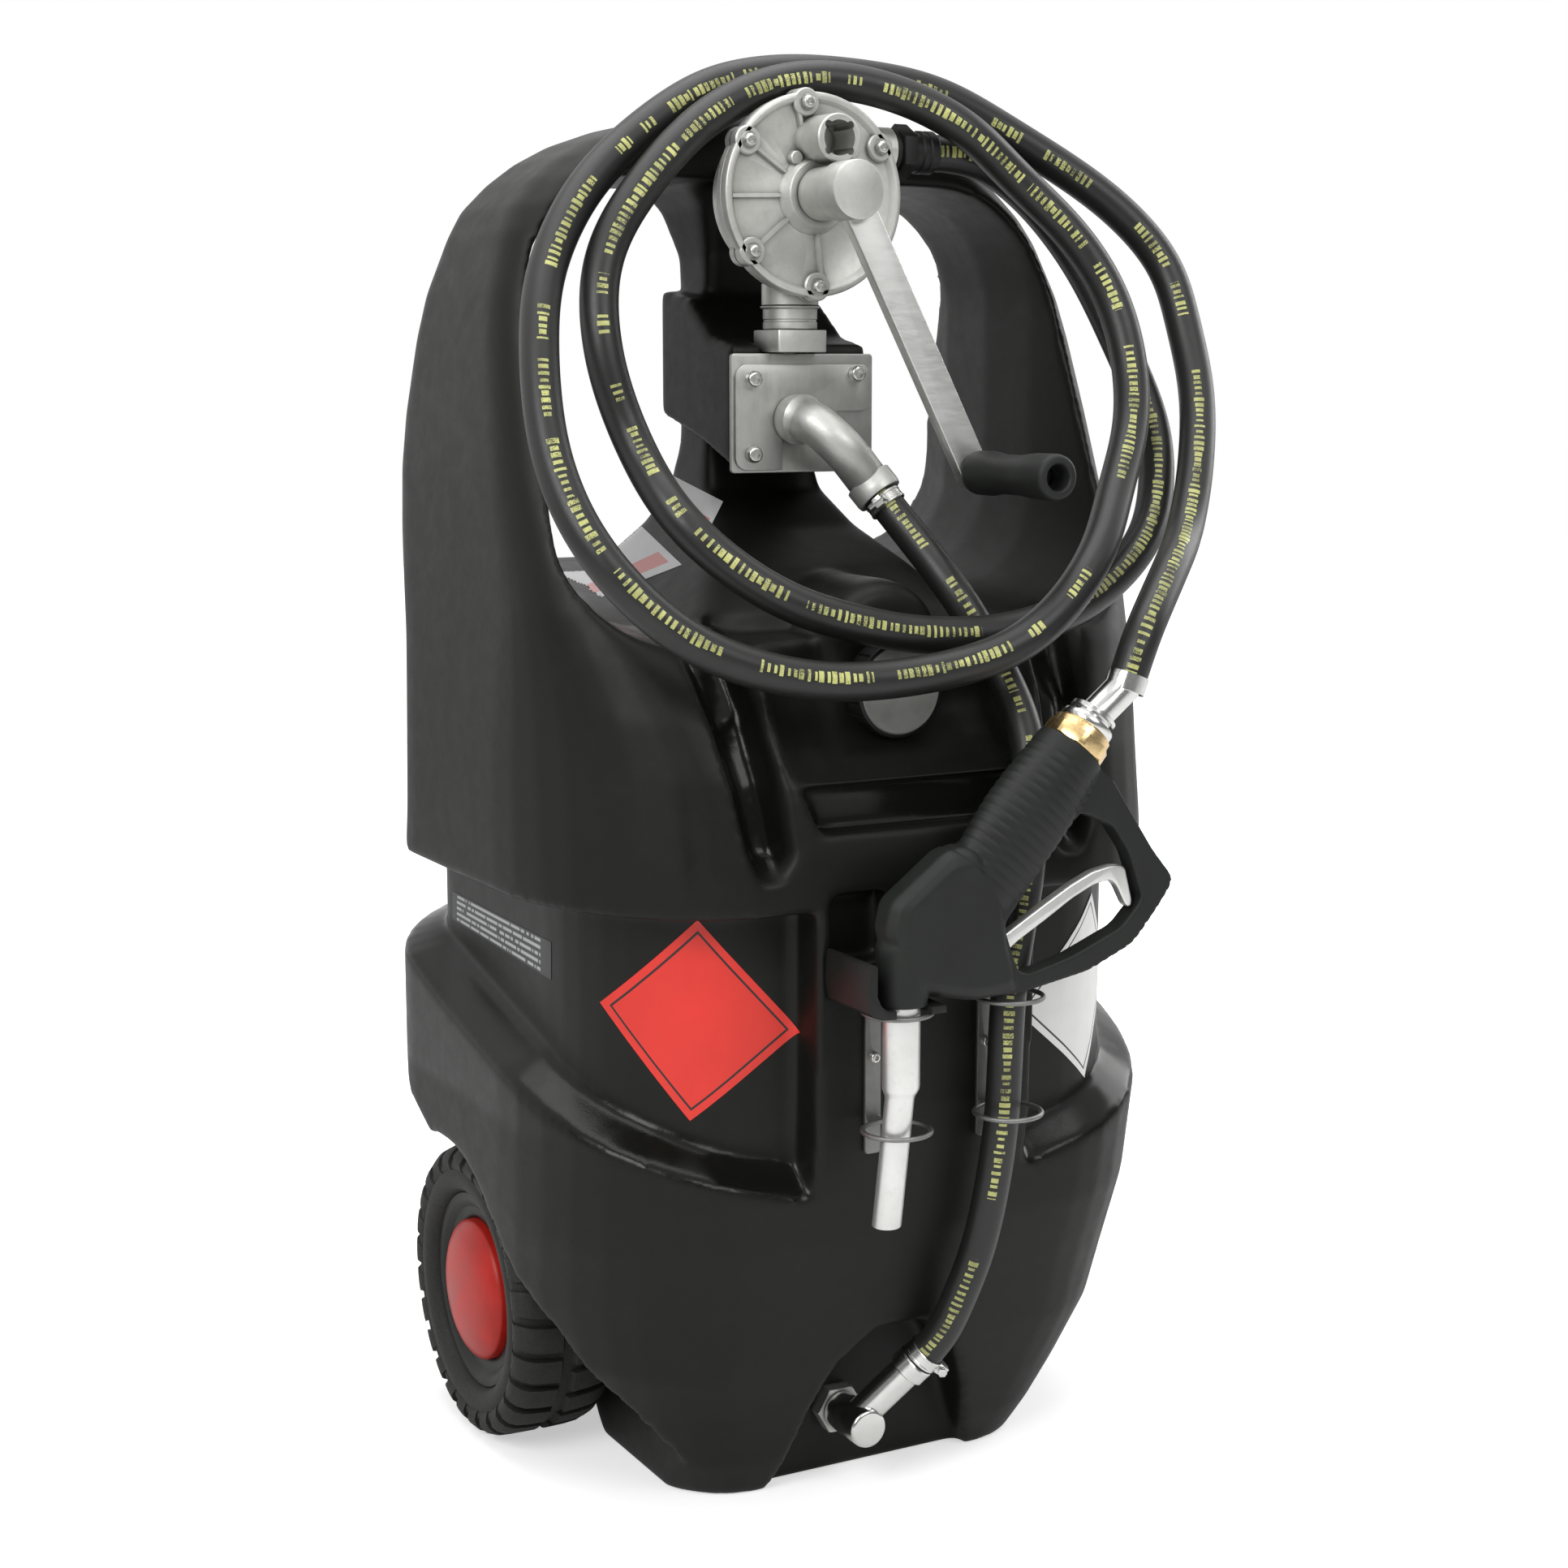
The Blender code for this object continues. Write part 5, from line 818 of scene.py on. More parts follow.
def hand_opening():
    """Cutter for both hand openings together, flared to the front and to the rear."""
    sections = ((-0.30, 0.246, 0.640, 1.000), (-0.10, 0.238, 0.652, 0.992), (0.00, 0.222, 0.668, 0.984),
                (0.06, 0.218, 0.676, 0.982), (0.13, 0.224, 0.684, 0.984), (0.18, 0.236, 0.688, 0.990),
                (0.30, 0.262, 0.700, 1.005))
    loops = []
    for y, half, bottom, top in sections:
        outline = rounded_outline((-half, bottom), (half, top), (0.075, 0.075, 0.090, 0.090), 8)
        loops.append([(x, y, z) for x, z in outline])
    return loft_bm(loops)


def neck_post():
    """Post between the hand openings, widening into the chest and into the crown."""
    sections = ((0.630, 0.135, -0.110, 0.205), (0.665, 0.112, -0.092, 0.195), (0.695, 0.088, -0.050, 0.165),
                (0.722, 0.067, 0.000, 0.135), (0.750, 0.052, 0.035, 0.114),
                (0.785, NECK_HALF + 0.002, 0.046, NECK_REAR + 0.002),
                (0.860, NECK_HALF, NECK_FRONT, NECK_REAR),
                (0.930, NECK_HALF + 0.002, NECK_FRONT - 0.002, NECK_REAR + 0.002),
                (0.965, NECK_HALF + 0.014, 0.028, 0.114), (1.000, NECK_HALF + 0.044, 0.010, 0.128))
    loops = []
    for z, half, front, rear in sections:
        radius = 0.3 * min(half, (rear - front) / 2)
        outline = rounded_outline((-half, front), (half, rear), (radius,) * 4, 4)
        loops.append([(x, y, z) for x, y in outline])
    return loft_bm(loops)


def pump_console():
    """Block on the post that carries the bracket; its underside slopes down to the front."""
    front = CONSOLE_FRONT - SKIN_ALLOWANCE
    side = [(front, 0.766), (0.030, 0.792), (0.092, 0.808), (0.092, 0.905), (0.040, 0.897), (0.000, 0.868),
            (front, 0.860)]
    return prism_bm(side, PLATE_LEFT + 0.003, PLATE_RIGHT - 0.003, 'X')


def filler_boss():
    """Rounded boss round the filler mouth, standing out of the chest."""
    front = FILLER_FACE + 0.004
    profile = [(0, -0.02), (0.052, -0.02), (0.052, front - 0.022), (0.050, front - 0.010),
               (0.044, front - 0.002), (0.036, front), (0, front)]
    return turned_bm(profile, (0, 0, FILLER_Z + 0.027), (0, -1, 0), 28)


def chest_panel():
    """Cutter that sets the middle of the chest back between the grooves, fading out sideways."""
    half = 0.115
    loops = []
    for share in (-1.0, -0.87, -0.74, -0.5, 0.0, 0.5, 0.74, 0.87, 1.0):
        x = half * share
        blend = 1 - share ** 4
        wall = []
        for z, target in ((0.552, 0.205), (0.562, 0.184), (0.575, 0.164), (0.590, 0.151), (0.610, 0.145),
                          (0.680, 0.143)):
            bare = front_of_tank(z, x)
            wall.append((x, -bare + (bare - min(target, bare)) * blend - 0.0005, z))
        loops.append([(x, -0.30, 0.552)] + wall + [(x, -0.30, 0.680)])
    return loft_bm(loops)


def chest_groove(side):
    """Tapering channel beside the chest, rounded at its lower tip."""
    loops = []
    for share in (0.0, 0.25, 0.5, 0.75, 1.0):
        z = 0.690 + (0.505 - 0.690) * share
        x = side * (0.150 + (0.126 - 0.150) * share)
        wide = 0.028 + (0.019 - 0.028) * share
        y = -front_of_tank(z, x)
        depth = 0.034 * (1 - 0.25 * share)
        section = [(x - wide, y - 0.05), (x + wide, y - 0.05), (x + wide, y), (x + 0.45 * wide, y + depth),
                   (x - 0.45 * wide, y + depth), (x - wide, y)]
        loops.append([(a, b, z) for a, b in section])
    tip = [(x + (a - x) * 0.45, min(b, y + 0.004), 0.488) for a, b, _ in loops[-1]]
    loops.append(tip)
    return loft_bm(loops)


def chest_recess():
    """Flat-bottomed recess across the chest between the two grooves."""
    y = -front_of_tank(0.535)
    outline = [(-0.086, 0.519), (0.086, 0.519), (0.100, 0.553), (-0.100, 0.553)]
    return prism_bm(outline, y - 0.03, y + 0.014, 'Y')


def waist_band(side):
    """Cutter for one side's label panel, from the column round the corner to the rear.

    Its lower face falls outwards, which leaves the sloped ledge under the panel, and the
    ledge climbs from the column to the rear.
    """
    plan = tank_plan(*section_at(0.40))
    inner = tank_plan(*[v - d for v, d in zip(section_at(0.40),
                                              (WAIST_DEPTH, WAIST_DEPTH, 0, WAIST_DEPTH,
                                               WAIST_DEPTH, WAIST_DEPTH))])
    path = []
    for (x, y), (xi, yi) in zip(plan, inner):
        if side * x > COLUMN_HALF - 0.012 and (y < 0.18 or side * x > 0.16):
            path.append((x, y, xi, yi))
    path.sort(key=lambda p: math.atan2(p[0] * side, -p[1]))
    loops = []
    for x, y, xi, yi in path:
        around = math.atan2(abs(x), -y)
        ledge = LEDGE_Z + LEDGE_CLIMB * (around - LEDGE_START)
        out = Vector((x - xi, y - yi))
        far = Vector((x, y)) + out.normalized() * 0.05
        share = min(1.0, max(0.0, (around - 0.45) / 1.1))
        fall = LEDGE_FALL_FRONT + (LEDGE_FALL_SIDE - LEDGE_FALL_FRONT) * share
        drop = fall * (0.05 + out.length) / out.length
        loops.append([(xi, yi, ledge + 0.004), (xi, yi, SKIRT_Z), (far.x, far.y, SKIRT_Z - 0.004),
                      (far.x, far.y, ledge - drop)])
    first = loops[0]
    shift = (side * (COLUMN_HALF - abs(first[0][0])), 0, 0)
    loops[0] = [tuple(Vector(p) + Vector(shift)) for p in first]
    return loft_bm(loops)


def wheel_arch(side):
    """Everything under the curve that runs over the wheel and down to the front foot."""
    outer = 0.30
    inner = WHEEL_OUT - WHEEL_W - 0.008
    clear = WHEEL_R + ARCH_GAP
    outline = [(0.30, -0.05), (0.30, 0.300), (0.215, 0.283), (0.150, 0.258)]
    outline += arc((AXLE_Y, WHEEL_R), clear, 75, 150, 8)
    outline += [(-0.075, 0.140), (-0.112, 0.080), (-0.125, 0.020), (-0.128, -0.05)]
    first, last = (inner, outer) if side > 0 else (-outer, -inner)
    return prism_bm(outline, first, last, 'X')


def outlet_cave():
    """Arched recess in the bottom of the front that shelters the outlet."""
    outline = [(-0.096, -0.02), (-0.080, 0.020), (-0.068, 0.066), (-0.050, 0.108)]
    outline += [(-0.020, 0.132), (0.020, 0.132)]
    outline += [(-x, z) for x, z in reversed(outline[:4])]
    return prism_bm(outline, -0.30, -OUTLET_SEAT, 'Y')


def cradle_pocket():
    """Small pocket in the column above the nozzle cradle."""
    return prism_bm(rounded_outline((-0.082, 0.425), (-0.036, 0.476), (0.006,) * 4, 3), -0.30, -0.196, 'Y')


def rear_keel():
    """Space under the rear of the tank, so that it stands on its front feet and wheels."""
    outline = [(-0.02, -0.05), (0.40, -0.05), (0.40, 0.085), (0.215, 0.060), (0.060, 0.036)]
    return prism_bm(outline, -0.40, 0.40, 'X')


def box_bm(low, high):
    corners = [(low[0], low[2]), (high[0], low[2]), (high[0], high[2]), (low[0], high[2])]
    return prism_bm(corners, low[1], high[1])


def rod_profile(radius, length):
    return [(0, 0), (radius, 0), (radius, length), (0, length)]


def rod_bm(radius, start, end, steps=32):
    run = Vector(end) - Vector(start)
    return turned_bm(rod_profile(radius, run.length), start, run, steps)


def smoothstep(values, low, high):
    share = np.clip((values - low) / (high - low), 0.0, 1.0)
    return share * share * (3 - 2 * share)


def vectors_of(items, name):
    values = np.empty(len(items) * 3, np.float32)
    items.foreach_get(name, values)
    return values.reshape(-1, 3)


def mark_gloss(tank):
    """Per-point share of the glossy finish that the mould leaves in the ledges and hollows."""
    mesh = tank.data
    x, y, z = vectors_of(mesh.vertices, "co").T
    upward = vectors_of(mesh.vertex_normals, "vector")[:, 2]
    heights, halves, fronts, bulges = np.array(TANK_SECTIONS).T[:4]
    half = np.interp(z, heights, halves)
    depth = np.interp(z, heights, fronts)
    depth = depth + np.interp(z, heights, bulges) * (1 - np.minimum(np.abs(x) / half, 1) ** 2) + y
    ledge = smoothstep(upward, 0.22, 0.5) * smoothstep(z, 0.215, 0.235) * smoothstep(-z, -0.43, -0.40)
    band = smoothstep(z, 0.47, 0.49) * smoothstep(-z, -0.68, -0.66)
    groove = smoothstep(depth, 0.007, 0.016) * band * smoothstep(np.abs(x), 0.102, 0.112)
    groove *= smoothstep(-np.abs(x), -0.190, -0.182) * smoothstep(-y, 0.060, 0.075)
    recess = smoothstep(depth, 0.008, 0.012) * smoothstep(z, 0.512, 0.518) * smoothstep(-z, -0.556, -0.551)
    recess *= smoothstep(-np.abs(x), -0.103, -0.098)
    panel = smoothstep(z, 0.285, 0.300) * smoothstep(-z, -0.468, -0.462) * smoothstep(np.abs(x), 0.088, 0.095)
    gloss = np.clip(np.maximum.reduce([ledge, groove, recess, panel * 0.35]), 0, 1)
    layer = mesh.attributes.new("gloss", 'FLOAT', 'POINT')
    layer.data.foreach_set("value", gloss.astype(np.float32))


def build_tank():
    tank = add_object("moulded_tank", tank_shell(), "black_moulding")
    for shape in (hand_opening, chest_panel):
        cut(tank, shape())
    for shape in (neck_post, pump_console, filler_boss):
        join(tank, shape())
    for side in (-1, 1):
        for shape in (chest_groove, waist_band, wheel_arch):
            cut(tank, shape(side))
    for shape in (chest_recess, outlet_cave, cradle_pocket, rear_keel):
        cut(tank, shape())
    cut(tank, box_bm((-COLUMN_SEAT_HALF, -0.26, 0.278), (COLUMN_SEAT_HALF, -COLUMN_FACE, 0.4390)))
    cut(tank, box_bm((-0.09, CONSOLE_FRONT - 0.03, 0.74), (0.09, CONSOLE_FRONT, 0.90)))
    cut(tank, box_bm((INLET[0] - 0.022, CONSOLE_FRONT - 0.02, 0.786),
                     (INLET[0] + 0.022, INLET[1] + 0.024, 0.93)))
    settle(tank)
    moulded_skin(tank, SKIN_CELL, SKIN_RELAX)
    mark_gloss(tank)
    stands_for(tank, "trolley", "black_moulding", "tank")
    return tank


# ---------------------------------------------------------------- small fittings
def round_point(centre_x, centre_z, radius, angle):
    turn = math.radians(angle)
    return centre_x + radius * math.cos(turn), centre_z + radius * math.sin(turn)


def ear_centres():
    return [round_point(PUMP_X, PUMP_Z, BOLT_CIRCLE, angle) for angle in EAR_ANGLES]


def disc_bm(radius, x, z, front, back, steps=64):
    return turned_bm(rod_profile(radius, back - front), (x, front, z), (0, 1, 0), steps)


def add_ears(piece, front, back):
    for x, z in ear_centres():
        join(piece, disc_bm(EAR_R, x, z, front, back, 40))


def socket_screw(name, node, x, z, seat, head_r, slot="zinc_steel"):
    """Domed socket-head screw with a hexagon socket, its head on the face y = seat."""
    head = 1.1 * head_r
    profile = [(0, 0.002), (head_r * 0.5, 0.002), (head_r * 0.5, 0), (head_r, 0), (head_r, -0.55 * head)]
    for i in range(1, 6):
        turn = math.radians(90 * i / 6)
        profile.append((head_r * (0.72 + 0.28 * math.cos(turn)), -head * (0.55 + 0.43 * math.sin(turn))))
    profile += [(0.66 * head_r, -head), (0, -head)]
    screw = turned(name, profile, (x, seat - FIT, z), (0, 1, 0), "zinc_steel", 28)
    socket = prism_bm(hexagon(head_r * 0.95, (x, z)), seat - 1.5 * head, seat - 0.5 * head)
    cut(screw, socket)
    return stands_for(screw, "trolley", slot, node)


def turned(name, profile, centre, axis, finish, steps=64):
    return add_object(name, turned_bm(profile, centre, axis, steps), finish, centre)


# ---------------------------------------------------------------- filler
def build_filler():
    seat = -FILLER_FACE - FIT
    centre = (0, seat, FILLER_Z)
    base = 0.0025 + FIT
    top = base + FILLER_CAP_L
    disc = FILLER_R - 0.003
    profile = [(0, base), (FILLER_R - 0.0008, base), (FILLER_R, base + 0.0008), (FILLER_R, top - 0.003),
               (FILLER_R - 0.0009, top - 0.0009), (FILLER_R - 0.003, top), (disc + FIT, top),
               (disc + FIT, top - 0.003), (0, top - 0.003)]
    cap = turned("filler_rim", profile, centre, (0, -1, 0), "black_plastic", 96)
    for i in range(FILLER_FLUTES):
        turn = 2 * math.pi * i / FILLER_FLUTES
        x = FILLER_R * 1.012 * math.cos(turn)
        z = FILLER_Z + FILLER_R * 1.012 * math.sin(turn)
        cut(cap, disc_bm(0.0014, x, z, seat - top + 0.002, seat - base - 0.003, 12))
    stands_for(cap, "cap", "black_plastic", "filler_cap")
    floor = top - 0.003 + FIT
    plate = [(0, floor), (disc, floor), (disc, top - 0.0008), (disc - 0.0012, top + 0.0004),
             (disc - 0.006, top + 0.0007), (disc - 0.010, top + 0.0002), (0, top + 0.0006)]
    face = turned("filler_face", plate, centre, (0, -1, 0), "grey_plastic", 96)
    stands_for(face, "cap", "grey_plastic", "filler_cap_disc")


# ---------------------------------------------------------------- wheels
def tyre_bm(face, out):
    """Tyre with two staggered rows of shoulder blocks."""
    inset = (WHEEL_W - RIM_W) / 2
    seat = RIM_R + FIT
    outer = [(seat, -inset), (RIM_R + 0.004, -0.0035), (RIM_R + 0.010, -0.0015), (RIM_R + 0.016, -0.0012),
             (0.097, -0.0030), (0.0985, -0.0020), (0.1015, -0.0020), (0.104, -0.0030), (0.1085, -0.0075),
             (0.1110, -0.0160)]
    profile = outer + [(0.1125, -WHEEL_W / 2)] + [(r, -WHEEL_W - a) for r, a in reversed(outer)]
    bm = turned_bm(profile, face, out, WHEEL_STEPS)
    axis = Vector(out)
    u, v = frame_of(axis)
    centre = Vector(face)

    def point(turn, radius, along):
        return centre + (u * math.cos(turn) + v * math.sin(turn)) * radius + axis * along

    shoulder = [(0.0990, -0.0010), (0.1040, 0.0000), (0.1090, -0.0015), (0.1135, -0.0060),
                (0.1160, -0.0125), (0.1168, -0.0220), (0.1170, -0.0360)]
    for flip in (False, True):
        for k in range(TREAD_BLOCKS):
            middle = 2 * math.pi * (k + (0.5 if flip else 0.0)) / TREAD_BLOCKS
            wide = 2 * math.pi / TREAD_BLOCKS * 0.36
            stations = []
            for step in range(5):
                share = step / 4 * 2 - 1
                lean = 0.012
                row = []
                for index, (radius, along) in enumerate(shoulder):
                    narrow = 1.0 if index > 1 else 0.82
                    drop = 0.0006 if abs(share) > 0.9 else 0.0
                    place = along if not flip else -WHEEL_W - along
                    row.append(point(middle + share * wide * narrow + lean * index, radius - drop, place))
                base = []
                for index, (radius, along) in enumerate(reversed(shoulder)):
                    turn = middle + share * wide * 0.98 + lean * (len(shoulder) - 1 - index)
                    place = along - 0.004 if not flip else -WHEEL_W - along + 0.004
                    base.append(point(turn, radius - 0.0065, place))
                stations.append(row + base)
            block = loft_bm(stations)
            mesh = bpy.data.meshes.new("block")
            block.to_mesh(mesh)
            block.free()
            bm.from_mesh(mesh)
            bpy.data.meshes.remove(mesh)
    return bm


def build_wheels():
    for side, label in ((-1, "left"), (1, "right")):
        out = (side, 0, 0)
        face = (side * WHEEL_OUT, AXLE_Y, WHEEL_R)
        inset = (WHEEL_W - RIM_W) / 2
        body = label + "_wheel"
        tyre = add_object(label + "_block_tyre", tyre_bm(face, out), "tyre_rubber", face, 40)
        stands_for(tyre, body, "tyre_rubber", label + "_tyre")
        web = -WHEEL_W / 2
        rim = [(HUB_BORE_R, web - 0.030), (HUB_BORE_R + 0.008, web - 0.030),
               (HUB_BORE_R + 0.008, web - 0.004), (RIM_R - 0.010, web - 0.004),
               (RIM_R - 0.006, -WHEEL_W + inset), (RIM_R - 0.0008, -WHEEL_W + inset),
               (RIM_R, -WHEEL_W + inset + 0.0008), (RIM_R, -inset - 0.0008), (RIM_R - 0.0008, -inset),
               (RIM_R - 0.005, -inset), (RIM_R - 0.008, -inset - 0.0015), (RIM_R - 0.012, -inset - 0.0050),
               (CAP_R + 0.004, -inset - 0.0052), (CAP_R + 0.0015, -inset - 0.0060),
               (CAP_R + FIT, -inset - 0.0075), (CAP_R + FIT, -0.0225), (CAP_R - 0.008, -0.023),
               (CAP_R - 0.010, web + 0.004), (HUB_BORE_R + 0.008, web + 0.004),
               (HUB_BORE_R + 0.008, -0.020), (HUB_BORE_R, -0.020)]
        piece = turned(label + "_moulded_rim", rim, face, out, "black_plastic", WHEEL_STEPS)
        stands_for(piece, body, "black_plastic", label + "_rim")
        cap = [(0, 0.0035), (0.006, 0.0034), (0.014, 0.0030), (0.022, 0.0023), (0.030, 0.0013),
               (0.038, -0.0002), (0.045, -0.0024), (0.050, -0.0048), (0.0535, -0.0072), (0.0552, -0.0090),
               (CAP_R - 0.0002, -0.0102), (CAP_R, -0.0112), (CAP_R, -0.0215), (CAP_R - 0.003, -0.0215),
               (CAP_R - 0.003, -0.0125), (0.046, -0.0072), (0.030, -0.002), (0, 0.0)]
        piece = turned(label + "_domed_cap", cap, face, out, "red_plastic", WHEEL_STEPS)
        stands_for(piece, body, "red_plastic", label + "_hubcap")


# ---------------------------------------------------------------- pump
def build_pump_housing():
    depth = HOUSING_L
    outline = [(0, 0), (FLANGE_R - 0.0015, 0), (FLANGE_R - 0.001, 0.0006), (FLANGE_R - 0.001, 0.0064),
               (FLANGE_R - 0.0016, 0.007), (HOUSING_R + 0.002, 0.0078), (HOUSING_R, 0.010),
               (HOUSING_R - 0.0005, 0.034), (HOUSING_R - 0.002, 0.040), (HOUSING_R - 0.007, 0.047),
               (0.047, depth - 0.002), (0.044, depth), (0, depth)]
    bm = turned_bm(outline, (PUMP_X, HOUSING_FRONT, PUMP_Z), (0, 1, 0), 96)
    housing = add_object("cast_housing", bm, "cast_metal", (PUMP_X, HOUSING_FRONT, PUMP_Z))
    add_ears(housing, HOUSING_FRONT, HOUSING_FRONT + 0.007)
    neck = [(0, 0), (0.0210, 0), (0.0215, 0.0006), (0.0215, 0.016), (0.0205, 0.017), (0.0205, 0.020),
            (0.0215, 0.021), (0.0215, 0.040), (0.0225, 0.046), (0, 0.046)]
    join(housing, turned_bm(neck, (*INLET, NECK_END), (0, 0, 1), 48))
    boss = [(0, 0), (0.0175, 0), (0.0175, BOSS_END - PUMP_X - 0.001), (0.0165, BOSS_END - PUMP_X),
            (0, BOSS_END - PUMP_X)]
    join(housing, turned_bm(boss, (PUMP_X, OUTLET_Y, OUTLET_Z), (1, 0, 0), 48))
    middle = PUMP_Z + ECCENTRIC
    cut(housing, rod_bm(CHAMBER_R, (PUMP_X, HOUSING_FRONT - 0.01, middle),
                        (PUMP_X, HOUSING_FRONT + CHAMBER_L, middle), 96))
    cut(housing, rod_bm(0.011, (*INLET, NECK_END - 0.01), (*INLET, PUMP_Z - 0.030)))
    cut(housing, rod_bm(0.009, (PUMP_X + 0.025, OUTLET_Y, OUTLET_Z), (0.11, OUTLET_Y, OUTLET_Z)))
    cut(housing, rod_bm(SHAFT_R + RUN, (PUMP_X, HOUSING_FRONT, PUMP_Z),
                        (PUMP_X, HOUSING_FRONT + CHAMBER_L + 0.010, PUMP_Z)))
    stands_for(housing, "trolley", "cast_metal", "pump_housing")


def build_cover():
    floor = 0.0045
    bore_r = SHAFT_R + RUN
    lip = COVER_T
    outline = [(bore_r, 0), (FLANGE_R - 0.0006, 0), (FLANGE_R, 0.0006), (FLANGE_R, lip - 0.0016),
               (FLANGE_R - 0.0006, lip - 0.0006), (FLANGE_R - 0.0016, lip), (FLANGE_R - 0.0045, lip),
               (FLANGE_R - 0.0054, lip - 0.0005), (FLANGE_R - 0.0075, floor + 0.0006),
               (FLANGE_R - 0.0085, floor), (0.031, floor), (0.0292, floor + 0.0006), (0.0278, lip - 0.0004),
               (0.0268, lip + 0.0006), (0.0252, 0.0150), (0.0242, 0.0160), (bore_r + 0.004, 0.0160),
               (bore_r + 0.003, 0.0150), (bore_r, 0.0150)]
    bm = turned_bm(outline, (PUMP_X, COVER_Y + COVER_T, PUMP_Z), (0, -1, 0), 120)
    cover = add_object("cast_cover", bm, "cast_metal", (PUMP_X, COVER_Y, PUMP_Z))
    for x, z in ear_centres():
        ear = [(0, 0), (EAR_R, 0), (EAR_R, 0.0078), (EAR_R - 0.0010, 0.0090), (0.0064, 0.0090),
               (0.0060, 0.0086), (0, 0.0086)]
        join(cover, turned_bm(ear, (x, COVER_Y + COVER_T, z), (0, -1, 0), 40))
    for angle in (EAR_ANGLES[1], 182, EAR_ANGLES[2], EAR_ANGLES[3] + 4, 330, EAR_ANGLES[0] + 6):
        run, side = upright(angle)
        start = PUMP + run * 0.024
        end = PUMP + run * (FLANGE_R - 0.006)
        loops = []
        for y, half in ((COVER_Y + COVER_T - 0.001, 0.0026), (COVER_Y + 0.0028, 0.0017),
                        (COVER_Y + 0.0010, 0.0013)):
            loops.append([(p.x, y, p.z) for p in (start - side * half, end - side * half,
                                                  end + side * half, start + side * half)])
        join(cover, loft_bm(loops))
    boss_x = PUMP_X + SPOUT_BOSS[0]
    boss_z = PUMP_Z + SPOUT_BOSS[1]
    deep = COVER_Y + COVER_T - SPOUT_FRONT
    boss = [(0, 0), (SPOUT_BOSS_R + 0.0015, 0), (SPOUT_BOSS_R, 0.010),
            (SPOUT_BOSS_R - 0.0004, deep - 0.0012), (SPOUT_BOSS_R - 0.0014, deep), (0, deep)]
    join(cover, turned_bm(boss, (boss_x, COVER_Y + COVER_T, boss_z), (0, -1, 0), 64))
    for x, z, radius, tall in ((boss_x + 0.0245, boss_z - 0.006, 0.0065, 0.006),
                               (boss_x + 0.019, boss_z - 0.021, 0.0055, 0.004),
                               (boss_x - 0.020, boss_z - 0.013, 0.0050, 0.003)):
        pad = [(0, 0), (radius + 0.0006, 0), (radius, COVER_T - floor + tall - 0.0008),
               (radius - 0.0008, COVER_T - floor + tall), (0, COVER_T - floor + tall)]
        join(cover, turned_bm(pad, (x, COVER_Y + COVER_T - floor + 0.001, z), (0, -1, 0), 32))
    cut(cover, disc_bm(SPOUT_BORE_R, boss_x, boss_z, SPOUT_FRONT - 0.01, SPOUT_FLOOR, 64))
    for angle in (45, 135, 225, 315):
        x, z = round_point(boss_x, boss_z, SPOUT_BORE_R, angle)
        cut(cover, disc_bm(0.0030, x, z, SPOUT_FRONT - 0.01, SPOUT_FLOOR - 0.004, 20))
    stands_for(cover, "trolley", "cast_metal", "pump_cover")


def build_pump_screws():
    for index, (x, z) in enumerate(ear_centres(), 1):
        socket_screw("cover_bolt_%d" % index, "cover_screw_%d" % index, x, z, COVER_Y + 0.0004,
                     COVER_SCREW_R)


